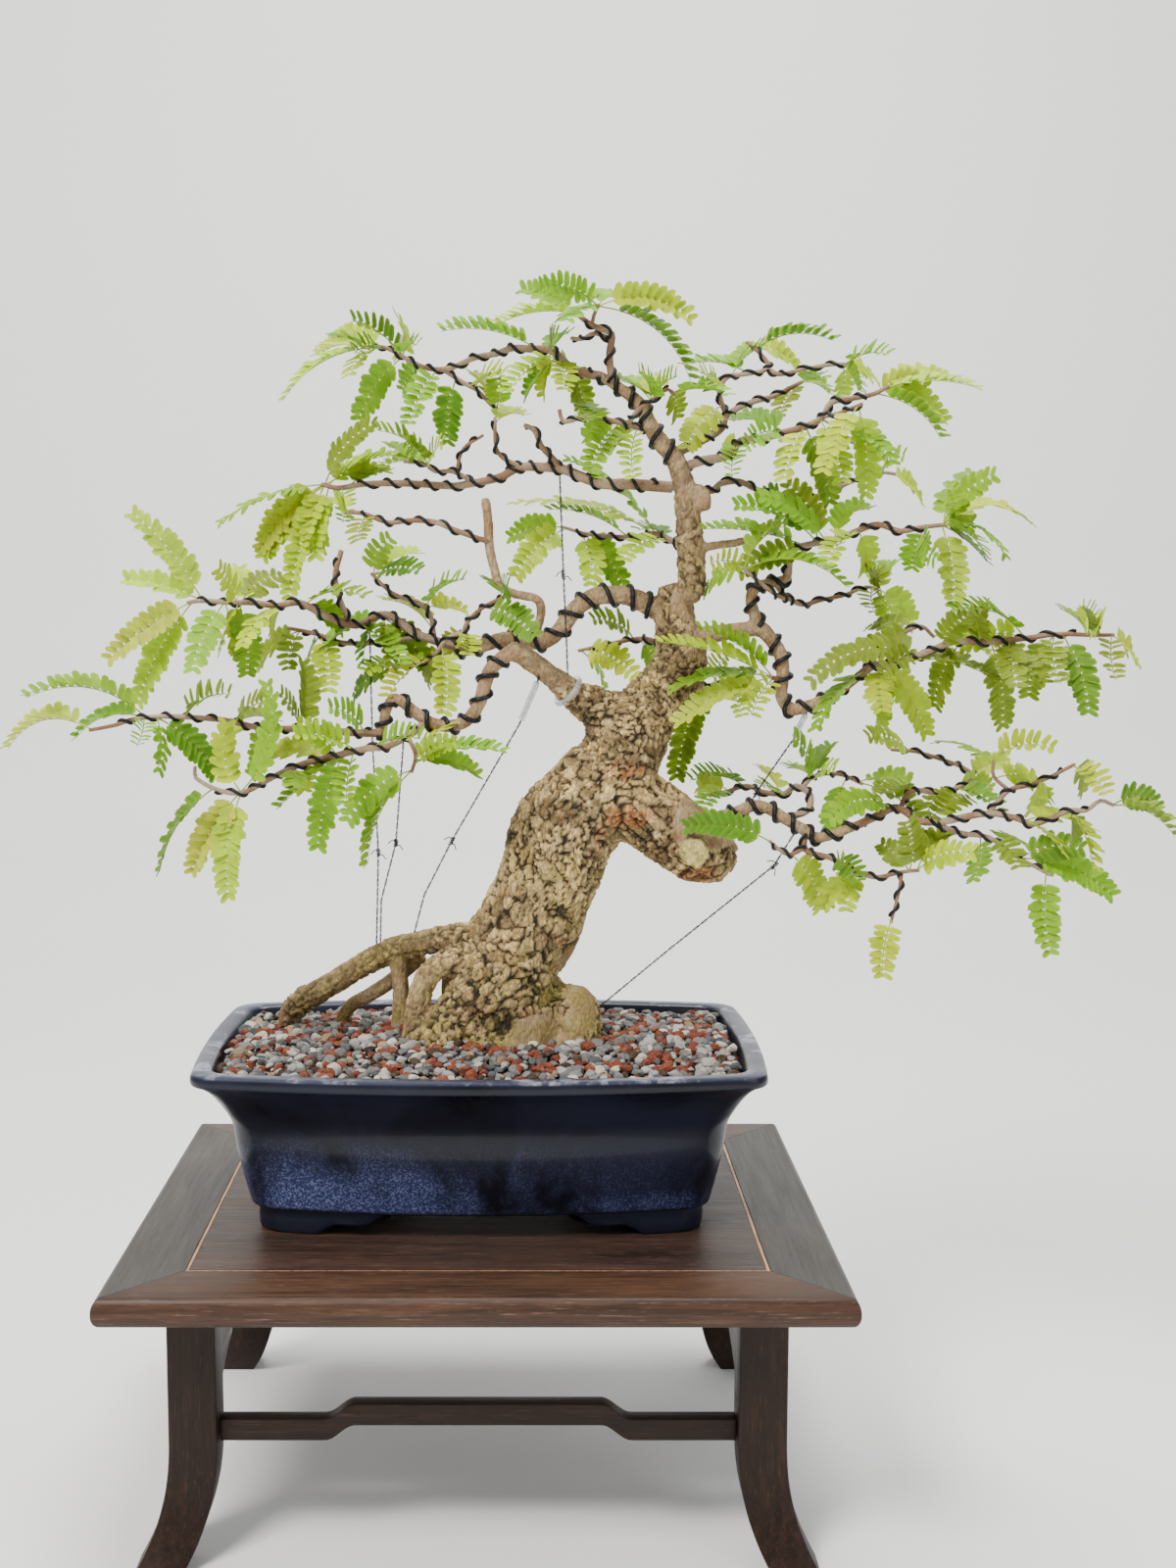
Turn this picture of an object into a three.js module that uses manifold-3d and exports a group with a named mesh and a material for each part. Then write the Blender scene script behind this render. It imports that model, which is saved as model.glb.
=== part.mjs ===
// Tamarind bonsai in a glazed pot on a wooden stand.
// Units are millimetres and +Z is up. The stand is centred on the origin while the parts are built,
// and the finished group is moved so that the origin is under the middle of the whole object.
import * as THREE from 'three';
import { mergeVertices } from 'three/addons/utils/BufferGeometryUtils.js';
import Module from 'manifold-3d';

const wasm = await Module();
wasm.setup();

// Air left between pieces that touch.
const gap = 0.3;

// Wooden stand.
const standWidth = 350;
const standDepth = 278;
const standHeight = 140;
const topThickness = 14;
const railWidth = 36.5;
const inlayWidth = 1.4;
const inlayDepth = 3;
const legWidth = 23;
const legDepth = 22;
const legInset = 28.5;
const legFlare = 15;
const legFlareHeight = 62;
const stretcherHeight = 10.5;
const stretcherThickness = 9;
const stretcherSetback = 8;
const stretcherUnder = 56;
const stretcherRise = 7.5;
const stretcherRaisedHalf = 59;
const stretcherCurve = 14;
const apronThickness = 9;
const apronDeep = 47;
const apronShallow = 26;

// Glazed pot.
const potBase = standHeight + gap;
const potHeight = 87;
const rimHalfWidth = 139.5;
const rimHalfDepth = 79;
const longSideBow = 12;
const shortSideBow = 4;
const rimCorner = 9;
const footHeight = 12;
const footInset = 29;
const footWall = 9;
const footFlat = 28;
const footStepLength = 55;
const footTipLength = 65;
const floorThickness = 8;
const drainRadius = 9;
const drainOffset = 55;
const screenSize = 30;
const screenThickness = 1.2;

// Soil and stones.
const soilEdgeDrop = 4.5;
const soilMound = 8;
const stoneCount = 30;
const stoneLeast = 3;
const stoneMost = 5.2;

// Eye that the branch routes were drawn from, in the stand's frame, with the picture's own numbers.
const eye = {
  x: 22, y: -930, z: 460, focus: 1850, column: 535, row: 800, tilt: THREE.MathUtils.degToRad(6.11),
};

// Fronds and wires.
const rachisThickness = 1.2;
const rachisHalfWidth = 0.8;
const trainingWireRadius = 1.3;
const guyWireRadius = 0.6;
const sleeveRadius = 1.6;

// A small seeded generator, so that each build scatters the stones alike.
function seededRandom(seed) {
  let state = seed;
  return () => {
    state = (state * 1664525 + 1013904223) % 4294967296;
    return state / 4294967296;
  };
}

// A place on the object from the picture's column and row and a depth behind the trunk's plane.
function seen([column, row], depth) {
  const u = (column - eye.column) / eye.focus;
  const q = (eye.row - row) / eye.focus;
  const away = depth - eye.y;
  const along = Math.cos(eye.tilt) + q * Math.sin(eye.tilt);
  const rise = q * Math.cos(eye.tilt) - Math.sin(eye.tilt);
  return new THREE.Vector3(eye.x + (u * away) / along, depth, eye.z + (away * rise) / along);
}

// A closed geometry from points and faces, turned so that its faces point out.
function closed(points, faces) {
  let volume = 0;
  for (let i = 0; i < faces.length; i += 3) {
    const [a, b, c] = [points[faces[i]], points[faces[i + 1]], points[faces[i + 2]]];
    volume += a.dot(b.clone().cross(c));
  }
  const geometry = new THREE.BufferGeometry().setFromPoints(points);
  geometry.setIndex(volume < 0 ? [...faces].reverse() : faces);
  return geometry;
}

// A surface through rings that each have the same number of points, closed at both ends.
function loft(rings, outline = null) {
  const count = rings[0].length;
  const points = rings.flat();
  const last = (rings.length - 1) * count;
  const faces = [];
  for (let ring = 0; ring + 1 < rings.length; ring += 1) {
    for (let i = 0; i < count; i += 1) {
      const a = ring * count + i;
      const b = ring * count + ((i + 1) % count);
      faces.push(a, b, b + count, a, b + count, a + count);
    }
  }
  const fan = Array.from({ length: count - 2 }, (unused, i) => [0, i + 1, i + 2]);
  const cap = outline ? THREE.ShapeUtils.triangulateShape(outline, []) : fan;
  const clockwise = outline !== null && THREE.ShapeUtils.isClockWise(outline);
  cap.forEach(([a, b, c]) => {
    const [second, third] = clockwise ? [c, b] : [b, c];
    faces.push(a, third, second, last + a, last + second, last + third);
  });
  return closed(points, faces);
}

// A flat outline pushed straight through a thickness. The outline lies in X and Z, or in Y and Z.
function board(outline, from, to, axis = 'y') {
  const place = (point, at) => (axis === 'y'
    ? new THREE.Vector3(point.x, at, point.y)
    : new THREE.Vector3(at, point.x, point.y));
  return loft([from, to].map((at) => outline.map((point) => place(point, at))), outline);
}

// A box between two corners.
function block(low, high) {
  const size = new THREE.Vector3().subVectors(high, low);
  const geometry = new THREE.BoxGeometry(size.x, size.y, size.z);
  return geometry.translate((low.x + high.x) / 2, (low.y + high.y) / 2, (low.z + high.z) / 2);
}

// A geometry as a solid that can be joined and cut.
function solid(geometry) {
  const bare = geometry.clone();
  ['normal', 'uv'].forEach((name) => bare.deleteAttribute(name));
  const merged = mergeVertices(bare, 1e-4);
  return new wasm.Manifold(new wasm.Mesh({
    numProp: 3,
    vertProperties: new Float32Array(merged.attributes.position.array),
    triVerts: new Uint32Array(merged.index.array),
  }));
}

// Several solids as one.
function joined(solids) {
  return solids.reduce((whole, next) => whole.add(next));
}

// The largest of a solid's separate bodies, so that a cut leaves no loose scrap.
function mainBody(body) {
  return body.decompose().reduce((best, next) => (next.volume() > best.volume() ? next : best));
}

// A solid as a geometry.
function geometryOf(body) {
  const mesh = body.getMesh();
  const geometry = new THREE.BufferGeometry();
  geometry.setAttribute('position', new THREE.BufferAttribute(new Float32Array(mesh.vertProperties), 3));
  geometry.setIndex(Array.from(mesh.triVerts));
  return geometry;
}

const materials = {
  panelWood: new THREE.MeshStandardMaterial({ color: 0x3a231b, roughness: 0.45 }),
  railWood: new THREE.MeshStandardMaterial({ color: 0x4a2c22, roughness: 0.45 }),
  legWood: new THREE.MeshStandardMaterial({ color: 0x2b1d18, roughness: 0.5 }),
  inlay: new THREE.MeshStandardMaterial({ color: 0xb07a4c, roughness: 0.5 }),
  glaze: new THREE.MeshStandardMaterial({ color: 0x1c2550, roughness: 0.18 }),
  screen: new THREE.MeshStandardMaterial({ color: 0x1d1d1d, roughness: 0.6 }),
  gravel: new THREE.MeshStandardMaterial({ color: 0x8d8480, roughness: 0.95 }),
  bark: new THREE.MeshStandardMaterial({ color: 0xa08a68, roughness: 0.95 }),
  leaf: new THREE.MeshStandardMaterial({ color: 0x8cb53c, roughness: 0.6 }),
  wire: new THREE.MeshStandardMaterial({ color: 0x1b1c1e, roughness: 0.4, metalness: 0.6 }),
  sleeve: new THREE.MeshStandardMaterial({ color: 0xb9bcc0, roughness: 0.3 }),
};

const bonsai = new THREE.Group();

// Puts a named piece into the group.
function piece(name, geometry, material) {
  const mesh = new THREE.Mesh(geometry, material);
  mesh.name = name;
  bonsai.add(mesh);
  return mesh;
}

// Rail profile: how far in from the outer edge, and how high. The outer edge is a bullnose.
function railProfile() {
  const radius = topThickness / 2;
  const steps = 6;
  const nose = Array.from({ length: steps + 1 }, (unused, i) => {
    const angle = Math.PI * (i / steps - 0.5);
    const bulge = radius * 0.55;
    const rise = radius * Math.sin(angle);
    return new THREE.Vector2(bulge - bulge * Math.cos(angle), standHeight - radius + rise);
  });
  const inner = railWidth;
  return [
    new THREE.Vector2(inner, standHeight - topThickness),
    ...nose,
    new THREE.Vector2(inner, standHeight),
  ];
}

// One mitred rail. The angle turns it from the front to another side.
function rail(name, length, distance, angle) {
  const profile = railProfile();
  const rings = [-1, 1].map((side) => profile.map((point) => new THREE.Vector3(
    side * (length / 2 - point.x - gap / 2),
    point.x - distance,
    point.y,
  )));
  const outline = profile.map((point) => new THREE.Vector2(point.x, point.y));
  const mesh = piece(name, loft(rings, outline), materials.railWood);
  mesh.rotation.z = angle;
}

function buildTop() {
  rail('stand_rail_front', standWidth, standDepth / 2, 0);
  rail('stand_rail_right', standDepth, standWidth / 2, Math.PI / 2);
  rail('stand_rail_back', standWidth, standDepth / 2, Math.PI);
  rail('stand_rail_left', standDepth, standWidth / 2, -Math.PI / 2);
  const x = standWidth / 2 - railWidth - gap;
  const y = standDepth / 2 - railWidth - gap;
  const low = standHeight - topThickness;
  const panel = solid(block(new THREE.Vector3(-x, -y, low), new THREE.Vector3(x, y, standHeight)));
  const grooves = [-1, 1].map((side) => {
    const near = side * (x - inlayWidth - gap);
    const far = side * (x + 1);
    return solid(block(
      new THREE.Vector3(Math.min(near, far), -y - 1, standHeight - inlayDepth - gap),
      new THREE.Vector3(Math.max(near, far), y + 1, standHeight + 1),
    ));
  });
  const grooved = grooves.reduce((rest, cut) => rest.subtract(cut), panel);
  piece('stand_panel', geometryOf(grooved), materials.panelWood);
  [['left', -1], ['right', 1]].forEach(([name, side]) => {
    const near = side * (x - inlayWidth);
    const far = side * x;
    const strip = block(
      new THREE.Vector3(Math.min(near, far), -y, standHeight - inlayDepth),
      new THREE.Vector3(Math.max(near, far), y, standHeight),
    );
    piece(`stand_inlay_${name}`, strip, materials.inlay);
  });
}

// How far a leg stands out from its straight upper part at a height above the ground.
function flareAt(height) {
  const down = Math.max(0, (legFlareHeight - height) / legFlareHeight);
  return legFlare * down ** 2.6;
}

const legOuterX = standWidth / 2 - legInset;
const legOuterY = standDepth / 2 - legInset;
const legTop = standHeight - topThickness - gap;

// A leg is straight at the top and sweeps outwards along both axes at the foot.
function buildLegs() {
  const heights = [0, 6, 13, 22, 33, 46, legFlareHeight, legTop];
  [['front_left', -1, -1], ['front_right', 1, -1], ['back_left', -1, 1], ['back_right', 1, 1]]
    .forEach(([name, sideX, sideY]) => {
      const rings = heights.map((height) => {
        const out = flareAt(height);
        const outer = { x: legOuterX + out, y: legOuterY + out };
        const inner = { x: outer.x - legWidth, y: outer.y - legDepth };
        return [[outer.x, outer.y], [inner.x, outer.y], [inner.x, inner.y], [outer.x, inner.y]]
          .map(([x, y]) => new THREE.Vector3(sideX * x, sideY * y, height));
      });
      piece(`stand_leg_${name}`, loft(rings), materials.legWood);
    });
}

// A smooth step from 0 to 1.
function ease(t) {
  const held = THREE.MathUtils.clamp(t, 0, 1);
  return held * held * (3 - 2 * held);
}

// A stretcher joins two legs, and its middle stands higher, with a soft curve at each side.
function buildStretchers() {
  const end = legOuterX - legWidth - gap;
  const bends = [0, 0.25, 0.5, 0.75, 1].map((t) => stretcherRaisedHalf + stretcherCurve * t);
  const stops = [-end, ...bends.map((x) => -x).reverse(), ...bends, end];
  const lift = (x) => stretcherRise * (1 - ease((Math.abs(x) - stretcherRaisedHalf) / stretcherCurve));
  const lower = stops.map((x) => new THREE.Vector2(x, stretcherUnder + lift(x)));
  const upper = lower.map((point) => new THREE.Vector2(point.x, point.y + stretcherHeight)).reverse();
  const front = -legOuterY + stretcherSetback;
  const outline = [...lower, ...upper];
  piece('stand_stretcher_front', board(outline, front, front + stretcherThickness), materials.legWood);
  piece('stand_stretcher_back', board(outline, -front - stretcherThickness, -front), materials.legWood);
}

// A side apron hangs under the top between a front and a back leg, and its lower edge is arched.
function buildAprons() {
  const end = legOuterY - legDepth - gap;
  const steps = 8;
  const arch = Array.from({ length: steps + 1 }, (unused, i) => {
    const t = (2 * i) / steps - 1;
    const deep = apronShallow + (apronDeep - apronShallow) * t * t;
    return new THREE.Vector2(end * t, legTop - deep);
  });
  const outline = [...arch, new THREE.Vector2(end, legTop), new THREE.Vector2(-end, legTop)];
  const inner = legOuterX - legWidth + 1;
  piece('stand_apron_right', board(outline, inner, inner + apronThickness, 'x'), materials.legWood);
  piece('stand_apron_left', board(outline, -inner - apronThickness, -inner, 'x'), materials.legWood);
}

// The pot's outline at an inset from the rim: bowed sides and round corners, anticlockwise from above.
function potPlan(inset) {
  const halfX = rimHalfWidth - inset;
  const halfY = rimHalfDepth - inset;
  const corner = rimCorner + inset * 0.25;
  const cornerSteps = 2;
  const arc = (turn) => Array.from({ length: cornerSteps + 1 }, (unused, i) => {
    const angle = (turn + i / cornerSteps) * (Math.PI / 2);
    const signX = turn === 0 || turn === 3 ? 1 : -1;
    const signY = turn < 2 ? 1 : -1;
    return new THREE.Vector2(
      signX * (halfX - corner) + corner * Math.cos(angle),
      signY * (halfY - corner) + corner * Math.sin(angle),
    );
  });
  const between = (a, b, steps) => Array.from({ length: steps - 1 }, (unused, i) => (
    a.clone().lerp(b, (i + 1) / steps)));
  const corners = [0, 1, 2, 3].map(arc);
  const ring = corners.flatMap((points, turn) => {
    const next = corners[(turn + 1) % 4][0];
    return [...points, ...between(points[cornerSteps], next, turn % 2 === 0 ? 6 : 3)];
  });
  const bowed = (along, out) => Math.max(0, 1 - along ** 2) * Math.abs(out) ** 8;
  return ring.map((point) => new THREE.Vector2(
    point.x + Math.sign(point.x) * shortSideBow * bowed(point.y / halfY, point.x / halfX),
    point.y + Math.sign(point.y) * longSideBow * bowed(point.x / halfX, point.y / halfY),
  ));
}

// The pot's outline as a ring of points at a height.
function potRing(inset, height) {
  return potPlan(inset).map((point) => new THREE.Vector3(point.x, point.y, height));
}

const rimTop = potBase + potHeight;
const bodyBase = potBase + footHeight;
const potFloor = bodyBase + floorThickness;

// The outer wall's and the inner wall's inset from the rim at each height, from the bottom up.
const outerWall = [
  [30, bodyBase], [25.5, bodyBase + 5], [21.5, bodyBase + 14], [17.5, rimTop - 30],
  [14, rimTop - 22], [7.5, rimTop - 12], [1, rimTop - 6], [0, rimTop - 5], [0, rimTop - 1.5],
  [1.4, rimTop],
];
const innerWall = [
  [8.8, rimTop], [12, rimTop - 8], [20, rimTop - 18], [29, potFloor + 6], [34, potFloor],
];

function buildPot() {
  const outer = outerWall.map(([inset, height]) => potRing(inset, height));
  const inner = [...innerWall].reverse().map(([inset, height]) => potRing(inset, height));
  const filled = solid(loft(outer, potPlan(outerWall[0][0])));
  const above = potRing(innerWall[0][0], rimTop + 5);
  const hollow = solid(loft([...inner, above], potPlan(innerWall[innerWall.length - 1][0])));
  const skirtOutline = potPlan(footInset);
  const skirt = [potBase, bodyBase + 1].map((height) => potRing(footInset, height));
  const skirtHole = [potBase - 1, bodyBase].map((height) => potRing(footInset + footWall, height));
  const skirtSpace = solid(loft(skirtHole, potPlan(footInset + footWall)));
  const foot = solid(loft(skirt, skirtOutline)).subtract(skirtSpace);
  const holes = [-1, 1].map((side) => {
    const drill = new THREE.CylinderGeometry(drainRadius, drainRadius, 40, 16).rotateX(Math.PI / 2);
    return solid(drill.translate(side * drainOffset, 0, potFloor));
  });
  const openings = [footOpening(rimHalfWidth - footInset, 'y'), footOpening(rimHalfDepth - footInset, 'x')];
  const feet = openings.reduce((rest, cut) => rest.subtract(cut), foot);
  const shell = filled.subtract(hollow).add(feet);
  piece('pot', geometryOf(holes.reduce((rest, cut) => rest.subtract(cut), shell)), materials.glaze);
}

// The space between two feet: a flat arch with a cloud-shaped step at each side.
function footOpening(half, axis) {
  const short = axis === 'x';
  const scale = short ? 0.5 : 1;
  const flatEnd = half - footFlat * scale;
  const stepEnd = half - footStepLength * scale;
  const tipEnd = half - footTipLength * scale;
  const side = [
    [flatEnd, potBase - 2], [flatEnd - 1, potBase + 2], [flatEnd - 5, potBase + 4.6],
    [stepEnd + 4, potBase + 5.4], [stepEnd, potBase + 8], [tipEnd, bodyBase],
  ];
  const outline = [
    ...side.map(([x, z]) => new THREE.Vector2(x, z)),
    ...side.map(([x, z]) => new THREE.Vector2(-x, z)).reverse(),
  ];
  return solid(board(outline, -200, 200, axis));
}

function buildScreens() {
  const low = potFloor + gap;
  const bar = 3;
  const cells = 2;
  const pitch = (screenSize - bar) / cells;
  [['left', -1], ['right', 1]].forEach(([name, side]) => {
    const middle = side * drainOffset;
    const half = screenSize / 2;
    const plate = solid(block(
      new THREE.Vector3(middle - half, -half, low),
      new THREE.Vector3(middle + half, half, low + screenThickness),
    ));
    const cuts = Array.from({ length: cells * cells }, (unused, cell) => {
      const x = middle - half + bar + (cell % cells) * pitch;
      const y = -half + bar + Math.floor(cell / cells) * pitch;
      return solid(block(
        new THREE.Vector3(x, y, low - 1),
        new THREE.Vector3(x + pitch - bar, y + pitch - bar, low + screenThickness + 1),
      ));
    });
    const grid = cuts.reduce((rest, cut) => rest.subtract(cut), plate);
    piece(`drain_screen_${name}`, geometryOf(grid), materials.screen);
  });
}

// Height of the soil's surface: highest at the trunk and lower towards the rim.
function soilHeight(x, y) {
  const reach = Math.hypot(x / rimHalfWidth, y / rimHalfDepth);
  return rimTop - soilEdgeDrop + soilMound * Math.max(0, 1 - reach ** 1.6);
}

// The inner wall's inset from the rim at a height.
function wallInset(height) {
  const upper = innerWall.findIndex(([unused, level], i) => height <= level && height >= innerWall[i + 1][1]);
  const [[insetA, levelA], [insetB, levelB]] = [innerWall[upper], innerWall[upper + 1]];
  return THREE.MathUtils.mapLinear(height, levelA, levelB, insetA, insetB);
}

const wallGap = gap + 0.2;

// The soil fills the pot, with a lumpy top and single stones that stand out of it.
function buildSoil(treeSpace) {
  const random = seededRandom(7);
  const levels = [potFloor + gap, potFloor + 6, rimTop - 18, rimTop - 8, rimTop - soilEdgeDrop];
  const sides = levels.map((height) => potRing(wallInset(height) + wallGap, height));
  const edgeInset = wallInset(rimTop - soilEdgeDrop);
  const rings = [0.86, 0.66, 0.46, 0.26].map((scale, ring) => potPlan(edgeInset + wallGap).map((point, i) => {
    const x = point.x * scale;
    const y = point.y * scale;
    const bump = (i + ring) % 2 === 0 ? 1.1 : -0.9;
    return new THREE.Vector3(x, y, soilHeight(x, y) + bump * random());
  }));
  const bulk = solid(loft([...sides, ...rings], potPlan(innerWall[innerWall.length - 1][0])));
  const stones = Array.from({ length: stoneCount }, () => {
    const turn = random() * Math.PI * 2;
    const reach = Math.sqrt(random()) * 0.86;
    const x = Math.cos(turn) * reach * (rimHalfWidth - 16);
    const y = Math.sin(turn) * reach * (rimHalfDepth - 6);
    const size = stoneLeast + (stoneMost - stoneLeast) * random();
    const stone = new THREE.OctahedronGeometry(size);
    stone.scale(1, 0.8, 0.75);
    stone.rotateX(random() * 3);
    stone.rotateZ(random() * 3);
    return solid(stone.translate(x, y, soilHeight(x, y) + 0.4));
  });
  const half = screenSize / 2 + gap;
  const screenTop = potFloor + screenThickness + 2 * gap;
  const screens = [-1, 1].map((side) => solid(block(
    new THREE.Vector3(side * drainOffset - half, -half, potFloor - 1),
    new THREE.Vector3(side * drainOffset + half, half, screenTop),
  )));
  const whole = [treeSpace, ...screens].reduce((rest, cut) => rest.subtract(cut), joined([bulk, ...stones]));
  piece('soil', geometryOf(mainBody(whole)), materials.gravel);
}

// The tree's own wood. Each route is a list of picture columns and rows. Depth and radius are
// millimetres, spread evenly over the route's points.
const woodRoutes = [
  {
    name: 'trunk', sides: 12, lump: 1,
    path: [
      [516, 1100], [518, 1068], [520, 1048], [511, 1010], [522, 975], [536, 946], [552, 915], [566, 880],
      [575, 850], [600, 815], [626, 790], [637, 765], [640, 742], [641, 722],
    ],
    depth: [0], radius: [31, 32, 31, 29, 27, 26.5, 25.5, 26, 27, 25.5, 23, 20.5, 22, 21],
  },
  {
    name: 'upper trunk', sides: 9, lump: 1,
    path: [[640, 742], [664, 722], [684, 697], [694, 672], [692, 645], [688, 618], [688, 600]],
    depth: [0, 1, 1], radius: [17, 16, 15, 13.5, 11, 9.5, 8],
  },
  {
    name: 'leader', sides: 7, lump: 1,
    path: [
      [702, 612], [706, 600], [706, 575], [703, 545], [701, 520], [697, 490], [688, 466], [676, 454],
      [664, 436], [652, 412], [634, 397], [612, 383],
    ],
    depth: [-8, -8, -7, -6, -4], radius: [5, 7, 7.2, 6.8, 6.2, 5.6, 4.8, 4.6, 4.2, 3.6, 3, 2.5],
  },
  {
    name: 'stub limb', sides: 9, lump: 1,
    path: [[632, 812], [664, 832], [694, 850], [714, 868], [728, 884], [734, 894]],
    depth: [-2, -8, -12], radius: [19, 19, 18.5, 17.5, 14, 8],
  },
  {
    name: 'left primary limb', sides: 7, lump: 1,
    path: [[640, 738], [612, 724], [586, 710], [565, 692], [538, 671], [521, 663]],
    depth: [0, -10, -20], radius: [15, 11, 7.5, 5.6, 5.2, 4.8],
  },
  {
    name: 'left low limb', sides: 6, lump: 0,
    path: [
      [523, 664], [502, 681], [495, 697], [489, 718], [475, 736], [456, 741], [436, 736], [424, 727],
      [410, 716], [401, 713], [394, 725], [390, 743], [383, 751],
    ],
    depth: [-20, -26], radius: [4, 3.4, 3, 2.6],
  },
  {
    name: 'left arch', sides: 6, lump: 0,
    path: [
      [690, 632], [670, 622], [646, 610], [622, 607], [604, 610], [586, 622], [571, 643], [553, 655],
      [516, 652], [488, 660], [466, 664],
    ],
    depth: [4, 6, 8, 8], radius: [6.5, 5, 4.8, 4.4, 4, 3.6],
  },
  {
    name: 'upright stub', sides: 6, lump: 0,
    path: [
      [544, 652], [552, 627], [549, 612], [525, 606], [511, 598], [503, 575], [499, 553], [498, 530],
      [495, 509],
    ],
    depth: [8, -2, -4], radius: [2.6, 2.4, 2.6, 2.6],
  },
  {
    name: 'right limb', sides: 7, lump: 0,
    path: [[700, 655], [717, 649], [742, 645], [765, 642], [779, 641]],
    depth: [0, -6, -10], radius: [6, 4.6, 4.2, 4],
  },
  {
    name: 'right rising limb', sides: 6, lump: 0,
    path: [[776, 642], [770, 627], [766, 609], [772, 599], [790, 594], [803, 590], [805, 577]],
    depth: [-9, -14], radius: [3.4, 3, 2.8, 2.2],
  },
  {
    name: 'right falling limb', sides: 6, lump: 0,
    path: [[777, 641], [788, 654], [797, 669], [799, 689], [797, 709], [807, 724], [829, 719], [849, 711]],
    depth: [-10, -16, -22], radius: [4, 3.6, 3.4, 3],
  },
  {
    name: 'right low limb', sides: 6, lump: 0,
    path: [
      [712, 846], [729, 836], [749, 830], [770, 822], [786, 826], [802, 836], [819, 846], [833, 855],
      [854, 850], [874, 842],
    ],
    depth: [-12, -24, -32], radius: [4, 3.2, 3, 2.6],
  },
  {
    name: 'knobby stub', sides: 5, lump: 0,
    path: [[700, 503], [713, 500], [719, 508], [719, 520]], depth: [-8, -12], radius: [3, 3.4, 3.6, 3],
  },
  {
    name: 'cut stub', sides: 5, lump: 0,
    path: [[704, 562], [727, 557], [750, 554], [762, 551]], depth: [-6, -14], radius: [2.4, 2.2],
  },
  {
    name: 'long left root', sides: 7, lump: 1,
    path: [
      [510, 985], [480, 960], [452, 958], [428, 963], [403, 968], [378, 981], [352, 996], [326, 1011],
      [306, 1023], [296, 1036], [292, 1052],
    ],
    depth: [0, 6, 16, 30, 40], radius: [13, 8.5, 7, 6.4, 6.6, 6.4, 6.2, 6.4, 7.2, 6.2, 5],
  },
  {
    name: 'standing root', sides: 5, lump: 0,
    path: [[412, 966], [407, 985], [409, 1010], [409, 1032], [408, 1062]],
    depth: [12, 8], radius: [4.4, 4.6, 4.6, 5.4],
  },
  {
    name: 'back root', sides: 5, lump: 0,
    path: [[430, 975], [398, 1002], [376, 1016], [357, 1027], [345, 1050]],
    depth: [16, 34], radius: [4.4, 4, 3.6],
  },
  {
    name: 'curved root', sides: 6, lump: 1,
    path: [[490, 975], [462, 981], [440, 993], [429, 1012], [425, 1034], [424, 1066]],
    depth: [-4, -14, -16], radius: [9, 7.5, 6.4, 6, 6.2, 7],
  },
  {
    name: 'front left root', sides: 7, lump: 1,
    path: [[500, 1012], [470, 1030], [452, 1052], [446, 1084]], depth: [-10, -26], radius: [14, 12, 9, 7],
  },
  {
    name: 'right root', sides: 6, lump: 1,
    path: [[548, 1020], [574, 1024], [590, 1022], [598, 1034], [602, 1064]],
    depth: [-4, -8], radius: [13, 10, 8.5, 7.5, 7],
  },
  {
    name: 'thin right root', sides: 5, lump: 0,
    path: [[592, 1018], [594, 1035], [580, 1054], [566, 1072], [560, 1090]],
    depth: [-8, -26], radius: [3.4, 2.6, 2.4],
  },
  {
    name: 'back right root', sides: 6, lump: 1,
    path: [[536, 1004], [556, 1010], [572, 1022], [584, 1048]],
    depth: [14, 32, 44, 52], radius: [13, 10, 8, 6],
  },
  {
    name: 'back root hump', sides: 6, lump: 1,
    path: [[506, 1000], [488, 1008], [476, 1022], [470, 1046]],
    depth: [16, 32, 44, 50], radius: [13, 10, 8, 6],
  },
];

// How a frond is turned: its leaflets lie level, or at a slant, or face the front.
const level = 18;
const slanted = 48;
const facing = 80;

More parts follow.
